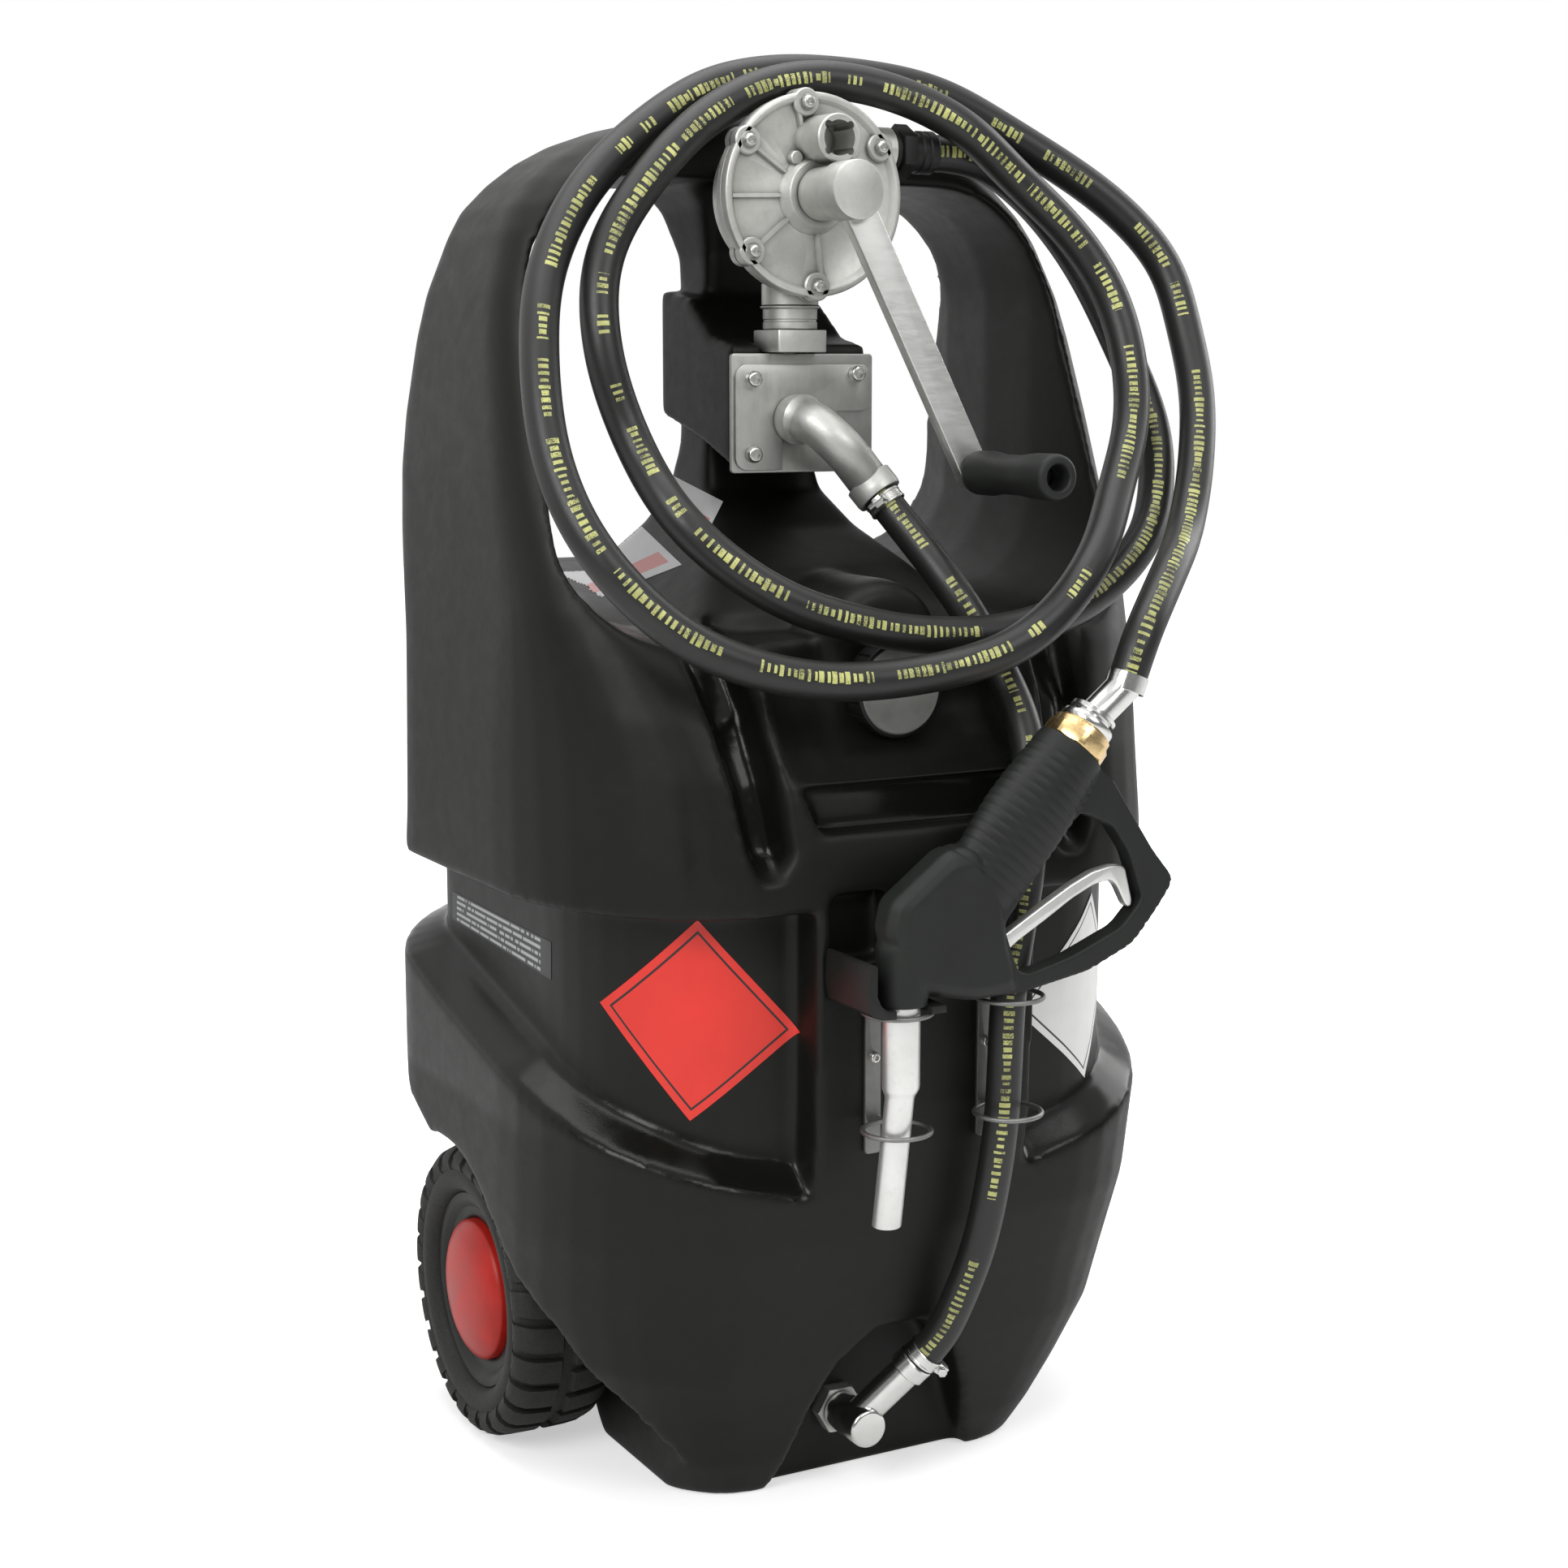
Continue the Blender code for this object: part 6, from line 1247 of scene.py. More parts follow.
# ---------------------------------------------------------------- crank
def build_crank():
    pivot = (PUMP_X, HUB_FACE, PUMP_Z)
    length = (COVER_Y + COVER_T - 0.016 - RUN) - HUB_FACE
    step = HUB_FACE - (ARM_BACK + 0.004)
    outline = [(0, 0.0), (HUB_R - 0.0022, 0), (HUB_R - 0.0008, 0.0006), (HUB_R, 0.0022),
               (HUB_R, -step - 0.0008), (HUB_R - 0.0006, -step), (HUB_R - 0.0022, -step + 0.0012),
               (HUB_R - 0.0022, length - 0.0008), (HUB_R - 0.0030, length), (0, length)]
    hub = turned("turned_hub", outline, pivot, (0, 1, 0), "cast_metal", 72)
    turn = math.radians(CRANK_ANGLE)
    down = Vector((math.sin(turn), 0, -math.cos(turn)))
    side = Vector((math.cos(turn), 0, math.sin(turn)))
    arm_front = ARM_BACK - ARM_T

    def bar(start, end, half, round_end):
        points = [PUMP + down * start - side * half, PUMP + down * start + side * half]
        if round_end:
            for i in range(25):
                sweep = math.radians(180 * i / 24)
                points.append(PUMP + down * (end + half * math.sin(sweep)) + side * half * math.cos(sweep))
        else:
            points += [PUMP + down * end + side * half, PUMP + down * end - side * half]
        return [(p.x, p.z) for p in points]

    slot = prism_bm(bar(0.006 - FIT, 0.06, ARM_W / 2 + FIT, False), arm_front - FIT, ARM_BACK + FIT)
    cut(hub, slot)
    stands_for(hub, "crank", "cast_metal", "crank_hub")
    arm = add_object("flat_arm", prism_bm(bar(0.006, CRANK_L, ARM_W / 2, True), arm_front, ARM_BACK),
                     "arm_steel", pivot, 30)
    end = PUMP + down * CRANK_L
    bevel(arm, 0.0011, 3, 50)
    stands_for(arm, "crank", "sheet_steel", "crank_arm")
    grip_back = arm_front - RUN
    grip_front = grip_back - GRIP_L
    head = grip_front + 0.024
    spindle = [(0, 0), (SPINDLE_R, 0), (SPINDLE_R, ARM_BACK - head - 0.002),
               (0.0080, ARM_BACK - head - 0.002), (0.0085, ARM_BACK - head - 0.0015),
               (0.0085, ARM_BACK - head + 0.001), (0.0070, ARM_BACK - head + 0.002),
               (0, ARM_BACK - head + 0.002)]
    rod_piece = turned("turned_spindle", spindle, (end.x, ARM_BACK, end.z), (0, -1, 0), "zinc_steel", 40)
    stands_for(rod_piece, "crank", "zinc_steel", "grip_spindle")
    cup = head + 0.002 + RUN / 2
    outline = [(SPINDLE_R + RUN / 2, 0), (GRIP_R - 0.0045, 0), (GRIP_R - 0.0020, 0.0008),
               (GRIP_R - 0.0006, 0.0028), (GRIP_R, 0.006), (GRIP_R, 0.022), (GRIP_R - 0.0006, 0.028),
               (GRIP_R - 0.0016, 0.035), (GRIP_R - 0.0018, 0.042), (GRIP_R - 0.0018, 0.058),
               (GRIP_R - 0.0012, 0.066), (GRIP_R - 0.0004, 0.074), (GRIP_R + 0.0002, 0.082),
               (GRIP_R + 0.0003, GRIP_L - 0.005), (GRIP_R - 0.0003, GRIP_L - 0.0022),
               (GRIP_R - 0.0015, GRIP_L - 0.0006), (GRIP_R - 0.0028, GRIP_L), (0.0110, GRIP_L),
               (0.0100, GRIP_L - 0.0008), (0.0095, GRIP_L - 0.002), (0.0095, grip_back - cup),
               (SPINDLE_R + RUN / 2, grip_back - cup)]
    grip = turned("moulded_grip", outline, (end.x, grip_back, end.z), (0, -1, 0), "grip_plastic", 72)
    stands_for(grip, "grip", "black_plastic", "crank_grip")


# ---------------------------------------------------------------- pipework and bracket
def build_inlet():
    top = NECK_END - FIT
    collar = [(0.013, 0), (0.0198, 0), (0.0205, 0.0007), (0.0205, 0.0052), (0.0198, 0.0060),
              (0.0198, 0.0072), (0.0205, 0.0080), (0.0205, 0.0150), (0.0225, 0.0163), (0.0225, 0.0170),
              (0.0220, 0.0175), (0.013, 0.0175)]
    piece = turned("turned_collar", collar, (*INLET, top - 0.0175), (0, 0, 1), "cast_metal", 64)
    stands_for(piece, "trolley", "cast_metal", "inlet_collar")
    low = top - 0.0175 - FIT
    outline = rounded_outline((INLET[0] - 0.021, INLET[1] - 0.021), (INLET[0] + 0.021, INLET[1] + 0.021),
                              (0.003,) * 4, 5)
    flange = add_object("cast_flange", prism_bm(outline, low - 0.0165, low, 'Z'), "cast_metal",
                        (*INLET, low), 40)
    cut(flange, rod_bm(0.011, (*INLET, low - 0.03), (*INLET, low + 0.01)))
    bevel(flange, 0.0008, 2, 50)
    stands_for(flange, "trolley", "cast_metal", "square_flange")
    foot = low - 0.0165 - FIT
    bend_y = CONSOLE_FRONT + 0.0105
    path = smooth_path([(INLET[0], bend_y, foot), (INLET[0], bend_y, RISER_Z + 0.012),
                        (INLET[0], bend_y - 0.003, RISER_Z + 0.003),
                        (INLET[0], bend_y - 0.010, RISER_Z), (INLET[0], PLATE_Y, RISER_Z)], 0.004)
    riser = add_object("bent_riser", swept_bm(path, round_section(RISER_R, 32)), "zinc_steel",
                       (INLET[0], bend_y, foot), 40)
    stands_for(riser, "trolley", "zinc_steel", "suction_riser")


def build_bracket():
    back_front = PLATE_Y + PLATE_T + FIT
    outline = rounded_outline((PLATE_LEFT, PLATE_BOTTOM), (PLATE_RIGHT, PLATE_TOP), (0.003,) * 4, 5)
    back = add_object("plate_back", prism_bm(outline, back_front, back_front + PLATE_T), "sheet_steel",
                      (0, back_front, 0.81), 40)
    split = -0.027
    low = 0.812
    outline = arc((PLATE_LEFT + 0.012, PLATE_BOTTOM + 0.012), 0.010, 180, 270, 8)
    outline += [(split, PLATE_BOTTOM + 0.002), (split, low)]
    outline += arc((PLATE_RIGHT - 0.012, low + 0.010), 0.010, 270, 360, 8)
    outline += arc((PLATE_RIGHT - 0.012, PLATE_TOP - 0.018), 0.010, 0, 90, 8)
    outline += arc((PLATE_LEFT + 0.012, PLATE_TOP - 0.018), 0.010, 90, 180, 8)
    front = add_object("plate_front", prism_bm(outline, PLATE_Y, PLATE_Y + PLATE_T), "sheet_steel",
                       (0, PLATE_Y, 0.81), 40)
    for plate, node in ((back, "mount_plate"), (front, "clamp_plate")):
        cut(plate, disc_bm(RISER_R + FIT, INLET[0], RISER_Z, PLATE_Y - 0.01, CONSOLE_FRONT + 0.01, 48))
        bevel(plate, 0.0006, 2, 50)
        stands_for(plate, "trolley", "sheet_steel", node)
    for index, (x, z) in enumerate(PLATE_BOLTS, 1):
        socket_screw("bracket_bolt_%d" % index, "plate_bolt_%d" % index, x, z, PLATE_Y, PLATE_BOLT_R,
                     "bright_steel")


def build_elbow():
    start = Vector((INLET[0], PLATE_Y - FIT, RISER_Z))
    turn = Vector((0, -1, 0))
    path = smooth_path([start + turn * 0.014, start + Vector((0.005, -0.028, -0.005)),
                        start + Vector((0.020, -0.040, -0.022)), ELBOW_END - ELBOW_RUN * 0.016], 0.0025)
    lead = [start + turn * 0.0035 * i for i in range(4)]
    tail = [ELBOW_END - ELBOW_RUN * 0.0030 * i for i in range(5, -1, -1)]
    path = lead + path + tail
    total = len(path) - 1

    def section(share):
        first = min(share, 1 - share) * total
        collar = 0.0160
        if share * total < 5 or (1 - share) * total < 6:
            collar = 0.0187 - 0.0008 * (first < 1)
        return arc((0, 0), collar, 0, 352.5, 47)
    piece = add_object("cast_elbow", swept_bm(path, section), "cast_metal", tuple(start), 40)
    stands_for(piece, "trolley", "cast_metal", "suction_elbow")


def build_clamp(name, node, end, run, side, lug, finish="zinc_steel"):
    """A band round the straight end of a hose, with its tightening lug and screw on one side."""
    seat = end + run * 0.0012
    inner = SUCTION_R + FIT
    outer = inner + 0.0016
    profile = [(inner, 0), (outer - 0.0005, 0), (outer, 0.0005), (outer, 0.0020), (outer - 0.0004, 0.0024),
               (outer - 0.0004, CLAMP_W - 0.0024), (outer, CLAMP_W - 0.0020), (outer, CLAMP_W - 0.0005),
               (outer - 0.0005, CLAMP_W), (inner, CLAMP_W)]
    band = turned(name, profile, seat, run, finish, 64)
    side = Vector(side)
    side = (side - run * side.dot(run)).normalized()
    across = run.cross(side)
    middle = seat + run * (CLAMP_W / 2)
    corners = []
    for a, b in ((-0.004, -0.0045), (0.004, -0.0045), (0.004, 0.0045), (-0.004, 0.0045)):
        corners.append(across * a + run * b)
    near = [middle + side * (inner + 0.0006) + corner for corner in corners]
    far = [middle + side * (outer + lug * 0.5) + corner * 0.85 for corner in corners]
    join(band, loft_bm([near, far]))
    screw = middle + side * (outer + lug * 0.28)
    join(band, rod_bm(0.0026, screw - across * 0.006, screw + across * (lug * 0.75), 20))
    head = screw - across * 0.0068
    join(band, rod_bm(0.0036, head, head + across * 0.0020, 6))
    bevel(band, 0.0003, 2, 50)
    stands_for(band, "trolley", "zinc_steel", node)


def build_outlet():
    seat = -OUTLET_SEAT - FIT
    nut = add_object("hex_nut", prism_bm(hexagon(0.034, (OUTLET_X, OUTLET_Z0), 0), seat - 0.012, seat),
                     "cast_metal", (OUTLET_X, seat, OUTLET_Z0), 30)
    cone = [(0, 0.001), (0.0175, 0.001), (0.0198, -0.0012), (0.0198, -0.0108), (0.0175, -0.0130),
            (0, -0.0130)]
    boolean(nut, turned_bm(cone, (OUTLET_X, seat, OUTLET_Z0), (0, 1, 0), 64), 'INTERSECT')
    cut(nut, rod_bm(OUTLET_STUB_R + FIT, (OUTLET_X, -0.2, OUTLET_Z0), (OUTLET_X, 0, OUTLET_Z0)))
    stands_for(nut, "trolley", "cast_metal", "outlet_nut")
    profile = [(0, -0.024), (OUTLET_STUB_R, -0.024), (OUTLET_STUB_R, 0.0125), (0.0142, 0.0125),
               (0.0150, 0.0133), (0.0150, 0.0530), (0.0146, 0.0545), (0.0135, 0.0556), (0.0122, 0.0560),
               (0, 0.0560)]
    body = turned("plated_elbow", profile, (OUTLET_X, seat, OUTLET_Z0), (0, -1, 0), "bright_steel", 64)
    join(body, rod_bm(0.0125, BRANCH_START, BRANCH_END - BRANCH_RUN * 0.012, 48))
    bead = [(0, 0), (0.0142, 0), (0.0150, 0.0010), (0.0150, 0.0115), (0.0142, 0.0125), (0, 0.0125)]
    join(body, turned_bm(bead, BRANCH_END - BRANCH_RUN * 0.0125, BRANCH_RUN, 48))
    stands_for(body, "trolley", "bright_steel", "outlet_elbow")


# ---------------------------------------------------------------- holders
def build_holder(name, node, x, ring_y):
    front = -COLUMN_FACE - FIT
    outline = rounded_outline((x - STRIP_W / 2, RING_ZS[1] - 0.026), (x + STRIP_W / 2, RING_ZS[0] + 0.002),
                              (0.003,) * 4, 5)
    strip = add_object(name, prism_bm(outline, front - STRIP_T, front), "strip_steel", (x, front, 0.355), 40)
    bevel(strip, 0.0005, 2, 50)
    settle(strip)
    for z in RING_ZS:
        loops = []
        for i in range(72):
            turn = 2 * math.pi * i / 72
            arm = Vector((math.cos(turn), math.sin(turn), 0))
            centre = Vector((x, ring_y, z)) + arm * RING_R
            loops.append([centre + arm * a + Vector((0, 0, b)) for a, b in arc((0, 0), WIRE_R, 0, 337.5, 15)])
        join(strip, loft_bm(loops, True))
        join(strip, box_bm((x - 0.005, ring_y + RING_R - 0.0006, z - 0.0012),
                           (x + 0.005, front - 0.001, z + 0.0012)))
    stands_for(strip, "trolley", "bright_steel", node)
    socket_screw(name + "_bolt", node + "_screw", x, STRIP_SCREW_Z, front - STRIP_T, STRIP_SCREW_R)


def build_cradle():
    floor_top = SLEEVE_Z - FIT
    floor_low = RING_ZS[0] + 0.0022 + FIT
    left = -0.0800
    right = -0.0240
    outline = [(left, floor_top + 0.033), (left - 0.0015, floor_top + 0.0345),
               (left - 0.003, floor_top + 0.035), (left - 0.005, floor_top + 0.0343),
               (left - 0.006, floor_top + 0.0325), (left - 0.007, floor_top + 0.012),
               (left - 0.0055, floor_low + 0.0055), (left - 0.002, floor_low + 0.0022),
               (left + 0.003, floor_low + 0.0004), (left + 0.008, floor_low), (right, floor_low),
               (right, floor_top), (left + 0.012, floor_top), (left + 0.007, floor_top + 0.0015),
               (left + 0.003, floor_top + 0.0055), (left, floor_top + 0.012)]
    cradle = add_object("moulded_cradle", prism_bm(outline, NOZZLE_Y - 0.018, -COLUMN_FACE - FIT),
                        "black_plastic",
                        (SPOUT_X, NOZZLE_Y, floor_top), 40)
    low = (SPOUT_X - SPOUT_R - 0.001, -0.30, 0.35)
    high = (SPOUT_X + SPOUT_R + 0.001, NOZZLE_Y, 0.45)
    cut(cradle, box_bm(low, high))
    cut(cradle, rod_bm(SPOUT_R + 0.001, (SPOUT_X, NOZZLE_Y, 0.35), (SPOUT_X, NOZZLE_Y, 0.45), 48))
    bevel(cradle, 0.0005, 2, 50)
    stands_for(cradle, "trolley", "black_plastic", "nozzle_cradle")


# ---------------------------------------------------------------- nozzle
def pillow_bm(outline, middle, half):
    """Flat body with rounded rims: the outline drawn in towards its centre at both faces."""
    centre_a = sum(a for a, _ in outline) / len(outline)
    centre_b = sum(b for _, b in outline) / len(outline)
    loops = []
    for share, scale in ((-1, 0.80), (-0.82, 0.92), (-0.45, 1.0), (0.45, 1.0), (0.82, 0.92), (1, 0.80)):
        loops.append([(centre_a + (a - centre_a) * scale, middle + half * share,
                       centre_b + (b - centre_b) * scale)
                      for a, b in outline])
    return loft_bm(loops)


def rounded_path(points, radius, steps=5):
    """Outline with its corners rounded off to about the radius."""
    rounded = []
    count = len(points)
    for i in range(count):
        before, here, after = (Vector(points[(i + k) % count]) for k in (-1, 0, 1))
        one = (before - here).normalized() * min(radius, (before - here).length * 0.45)
        two = (after - here).normalized() * min(radius, (after - here).length * 0.45)
        for k in range(steps + 1):
            t = k / steps
            rounded.append(tuple(here + one * (1 - t) ** 2 + two * t ** 2))
    return rounded


def nozzle_form():
    """Moulded handle, body and trigger guard of the nozzle before its sockets are cut."""
    y = NOZZLE_Y
    block = [(SPOUT_X - SLEEVE_R, 0.457), (SPOUT_X - 0.014, 0.478), (-0.0198, 0.511), (0.0042, 0.514),
             (0.0272, 0.472), (0.0302, 0.442), (0.0412, 0.403), (0.0042, 0.401), (SPOUT_X, 0.412)]
    form = add_object("moulded_nozzle", pillow_bm(rounded_path(block, 0.006), y, 0.0180), "grip_plastic",
                      (PIVOT[0], y, PIVOT[1]))
    sleeve = [(0, 0), (SLEEVE_R - 0.001, 0), (SLEEVE_R, 0.001), (SLEEVE_R, 0.044),
              (SLEEVE_R - 0.006, 0.064), (0, 0.070)]
    join(form, turned_bm(sleeve, (SPOUT_X, y, SLEEVE_Z - 0.002), (0, 0, 1), 48))
    last = len(HANDLE_WIDE) - 1
    stations = np.linspace(0, last, 4 * last + 1)
    wides = np.interp(stations, range(last + 1), HANDLE_WIDE)
    deeps = np.interp(stations, range(last + 1), HANDLE_DEEP)
    deep_side = Vector((0, 1, 0))
    wide_side = HANDLE_RUN.cross(deep_side)
    loops = []
    for share, wide, deep in zip(stations / last, wides, deeps):
        centre = HANDLE_START.lerp(HANDLE_END, float(share))
        loops.append([centre + deep_side * (float(deep) * math.cos(math.pi * i / 24))
                      + wide_side * (float(wide) * math.sin(math.pi * i / 24)) for i in range(48)])
    join(form, loft_bm(loops))
    guard = prism_bm(rounded_path(GUARD_OUTER, 0.008), GUARD_Y - 0.0085, GUARD_Y + 0.0085)
    join(form, guard)
    hole = prism_bm(rounded_path(GUARD_INNER, 0.006), GUARD_Y - 0.05, GUARD_Y + 0.05)
    cut(form, hole)
    return form


def rib_handle(body):
    """Press the cross ribs into the grip of the handle."""
    mesh = body.data
    mesh.update()
    base = Vector(body.location) - Vector((0, PARTING_Y, 0))
    axis = HANDLE_RUN
    normals = [v.vector.copy() for v in mesh.vertex_normals]
    length = (HANDLE_END - HANDLE_START).length
    for vertex, normal in zip(mesh.vertices, normals):
        p = base + vertex.co - HANDLE_START
        along = p.dot(axis)
        if not 0.012 < along < length - 0.010:
            continue
        radial = (p - axis * along).normalized()
        if normal.dot(radial) < 0.5:
            continue
        mask = min(1.0, (along - 0.012) / 0.006, (length - 0.010 - along) / 0.006)
        wave = 0.5 - 0.5 * math.cos(2 * math.pi * along / RIB_PITCH)
        vertex.co -= normal * RIB_DEPTH * mask * wave ** 3
    mesh.update()


def build_nozzle():
    body = nozzle_form()
    moulded_skin(body, NOZZLE_CELL, NOZZLE_RELAX)
    rib_handle(body)
    y = NOZZLE_Y
    x, z = PIVOT
    cut(body, box_bm((-0.08, y - 0.03, 0.38), (-0.01, y + 0.03, SLEEVE_Z)))
    slot = [(x - 0.014, z - 0.009), (x + 0.024, z - 0.009), (x + 0.024, z + 0.034), (x - 0.004, z + 0.018),
            (x - 0.014, z + 0.010)]
    half = TRIGGER_W / 2 + RUN
    cut(body, prism_bm(slot, GUARD_Y - half, GUARD_Y + half))
    end = HANDLE_END - HANDLE_RUN * 0.0015
    cut(body, rod_bm(0.040, end, end + HANDLE_RUN * 0.03))
    settle(body, 50)
    stands_for(body, "trolley", "black_plastic", "nozzle_body")


def build_spout():
    top = Vector((SPOUT_X, NOZZLE_Y, SLEEVE_Z + 0.026))
    shoulder = Vector((SPOUT_X, NOZZLE_Y, 0.344))
    tip = shoulder + Vector((-0.0110, 0, -0.101))
    run = (tip - shoulder).normalized()
    stations = [(top, SPOUT_R), (shoulder + Vector((0, 0, 0.001)), SPOUT_R), (shoulder, SPOUT_R - 0.0002)]
    for i in range(1, 6):
        share = i / 5
        stations.append((shoulder + run * 0.009 * share,
                         SPOUT_R + (TIP_R - SPOUT_R) * (3 * share ** 2 - 2 * share ** 3)))
    stations += [(tip - run * 0.0008, TIP_R), (tip, TIP_R - 0.0005), (tip, TIP_R - 0.0016),
                 (tip - run * 0.0006, TIP_R - 0.0020), (tip - run * 0.050, TIP_R - 0.0020)]
    loops = []
    for point, radius in stations:
        loops.append([point + Vector((a, b, 0)) for a, b in arc((0, 0), radius, 0, 354, 59)])
    spout = add_object("plated_spout", loft_bm(loops), "satin_steel", tuple(shoulder), 35)
    stands_for(spout, "trolley", "bright_steel", "nozzle_spout")


def build_trigger():
    x, z = PIVOT
    upper = ((-0.0065, 0.0010), (-0.0030, 0.0062), (0.0080, 0.0130), (0.0185, 0.0190), (0.0435, 0.0330),
             (0.0660, 0.0450), (0.0850, 0.0530), (0.1020, 0.0560), (0.1135, 0.0545))
    lower = ((0.1205, 0.0285), (0.1195, 0.0235), (0.1150, 0.0240), (0.1060, 0.0410), (0.1000, 0.0455),
             (0.0860, 0.0430), (0.0680, 0.0350), (0.0450, 0.0215), (0.0200, 0.0075), (0.0060, -0.0030),
             (0.0000, -0.0065), (-0.0050, -0.0045))
    outline = rounded_path([(x + a, z + b) for a, b in upper + lower], 0.004, 4)
    trigger = add_object("plated_trigger", prism_bm(outline, GUARD_Y - TRIGGER_W / 2,
                                                    GUARD_Y + TRIGGER_W / 2),
                         "satin_steel", (x, GUARD_Y, z), 40)
    bevel(trigger, 0.0018, 4, 60)
    stands_for(trigger, "trigger_lever", "bright_steel", "trigger")
    pin = [(0, 0), (TRIGGER_PIN_R - 0.0004, 0), (TRIGGER_PIN_R, 0.0005), (TRIGGER_PIN_R, 0.0265),
           (TRIGGER_PIN_R - 0.0004, 0.027), (0, 0.027)]
    piece = turned("pivot_pin", pin, (x, NOZZLE_Y - 0.0165, z), (0, 1, 0), "zinc_steel", 24)
    stands_for(piece, "trolley", "zinc_steel", "trigger_pin")


def build_coupling():
    start = HANDLE_END - HANDLE_RUN * (0.0015 - FIT)
    collar = [(0, 0), (0.0232, 0), (0.0245, 0.0012), (0.0245, 0.0148), (0.0232, 0.0162), (0, 0.0165)]
    piece = turned("brass_nut", collar, start, HANDLE_RUN, "brass", 72)
    u, v = frame_of(HANDLE_RUN)
    hexa = []
    for i in range(8):
        turn = math.radians(22.5 + 45 * i)
        hexa.append((u * math.cos(turn) + v * math.sin(turn)) * 0.0253)
    block = loft_bm([[start - HANDLE_RUN * 0.002 + p for p in hexa],
                     [start + HANDLE_RUN * 0.0105 + p for p in hexa]])
    far = [(0, 0.0100), (0.0222, 0.0100), (0.0222, 0.02), (0, 0.02)]
    mask = add_object("tool_nut_faces", block)
    join(mask, turned_bm(far, start, HANDLE_RUN, 72))
    settle(mask)
    boolean(piece, mask, 'INTERSECT')
    bevel(piece, 0.0004, 2, 35)
    stands_for(piece, "trolley", "brass", "brass_collar")
    nose = start + HANDLE_RUN * (0.0165 + FIT)
    ring = [(0, 0), (0.0185, 0), (0.0198, 0.0006), (0.0205, 0.0016), (0.0205, 0.0058), (0.0198, 0.0070),
            (0.0186, 0.0075), (0.0150, 0.0075), (0.0150, 0.0110), (0.0172, 0.0110), (0.0180, 0.0117),
            (0.0180, 0.0144), (0.0172, 0.0150), (0.0120, 0.0160), (0, 0.0160)]
    swivel = turned("plated_swivel", ring, nose, HANDLE_RUN, "bright_steel", 64)
    tail_end = HOSE_END - HOSE_RUN * FIT
    join(swivel, rod_bm(0.0125, nose + HANDLE_RUN * 0.006, tail_end - HOSE_RUN * 0.008, 48))
    foot = tail_end - HOSE_RUN * 0.0125
    join(swivel, rod_bm(0.0150, foot, tail_end, 64))
    stands_for(swivel, "trolley", "bright_steel", "hose_swivel")


def build_outlet_fitting():
    """Threaded hose tail on the pump outlet, with its spanner hexagon."""
    start = BOSS_END + FIT
    end = HOSE_START_X - FIT
    length = end - start
    profile = [(0, 0), (0.0158, 0), (0.0165, 0.0007), (0.0165, 0.0030), (0.0150, 0.0040),
               (0.0150, length - 0.0150), (0.0162, length - 0.0140), (0.0162, length - 0.0105),
               (0.0154, length - 0.0098), (0.0154, length - 0.0082), (0.0162, length - 0.0075),
               (0.0162, length - 0.0015), (0.0150, length), (0, length)]
    fitting = turned("black_hose_tail", profile, (start, OUTLET_Y, OUTLET_Z), (1, 0, 0), "black_plastic", 64)
    hexa = prism_bm(hexagon(0.036, (OUTLET_Y, OUTLET_Z), 30), start + 0.0050, start + 0.0165, 'X')
    block = add_object("tool_fitting_hex", hexa)
    bevel(block, 0.0007, 2)
    join(fitting, block)
    stands_for(fitting, "trolley", "black_plastic", "outlet_fitting")


# ---------------------------------------------------------------- hoses
def hose_points(route, first_run, last_run):
    """Centre line of a hose: straight next to both fittings, smooth between them."""
    points = smooth_path(route, HOSE_STEP)
    first, last = points[0], points[-1]
    inner = [p for p in points if (p - first).length > LEAD + 0.002 and (p - last).length > LEAD + 0.002]
    start = [first + Vector(first_run) * LEAD * i / 3 for i in range(4)]
    end = [last + Vector(last_run) * LEAD * i / 3 for i in range(3, -1, -1)]
    line = start + inner + end
    for _ in range(HOSE_EASING):
        line[4:-4] = [(a + b * 2 + c) / 4 for a, b, c in zip(line[3:-5], line[4:-4], line[5:-3])]
    return line


def hose(name, node, route, radius, first_run, last_run, finish):
    """Tube with 'run' and 'turn' stored for its printed line, which faces PRINT_SIDE."""
    points = hose_points(route, first_run, last_run)
    bm = bmesh.new()
    run_layer = bm.verts.layers.float.new("run")
    turn_layer = bm.verts.layers.float.new("turn")
    rings = []
    run = 0.0
    for i, point in enumerate(points):
        if i:
            run += (point - points[i - 1]).length
        tangent = tangent_at(points, i)
        towards = (PRINT_SIDE - point).normalized()
        front = (towards - tangent * towards.dot(tangent)).normalized()
        side = tangent.cross(front)
        ring = []
        for k in range(HOSE_SIDES):
            turn = 2 * math.pi * k / HOSE_SIDES + math.pi / HOSE_SIDES
            arm = front * math.cos(turn) + side * math.sin(turn)
            vert = bm.verts.new(point + arm * radius)
            vert[run_layer] = run
            vert[turn_layer] = abs((turn + math.pi) % (2 * math.pi) - math.pi)
            ring.append(vert)
        rings.append(ring)
    skin_rows(bm, rings)
    piece = add_object(name, bm, finish, smooth=60)
    stands_for(piece, "trolley", "rubber", node)


def build_hoses():
    hose("coiled_hose", "delivery_hose", DELIVERY_ROUTE, HOSE_R, (1, 0, 0), HOSE_RUN, "hose_rubber")
    hose("suction_line", "suction_hose", SUCTION_ROUTE, SUCTION_R, ELBOW_RUN, BRANCH_RUN, "suction_rubber")
    build_clamp("upper_band", "upper_hose_clamp", SUCTION_START, ELBOW_RUN, (-0.35, -0.75, -0.30), 0.011)
    build_clamp("lower_band", "lower_hose_clamp", SUCTION_END, BRANCH_RUN, (0.85, -0.40, -0.10), 0.016,
                "bright_steel")


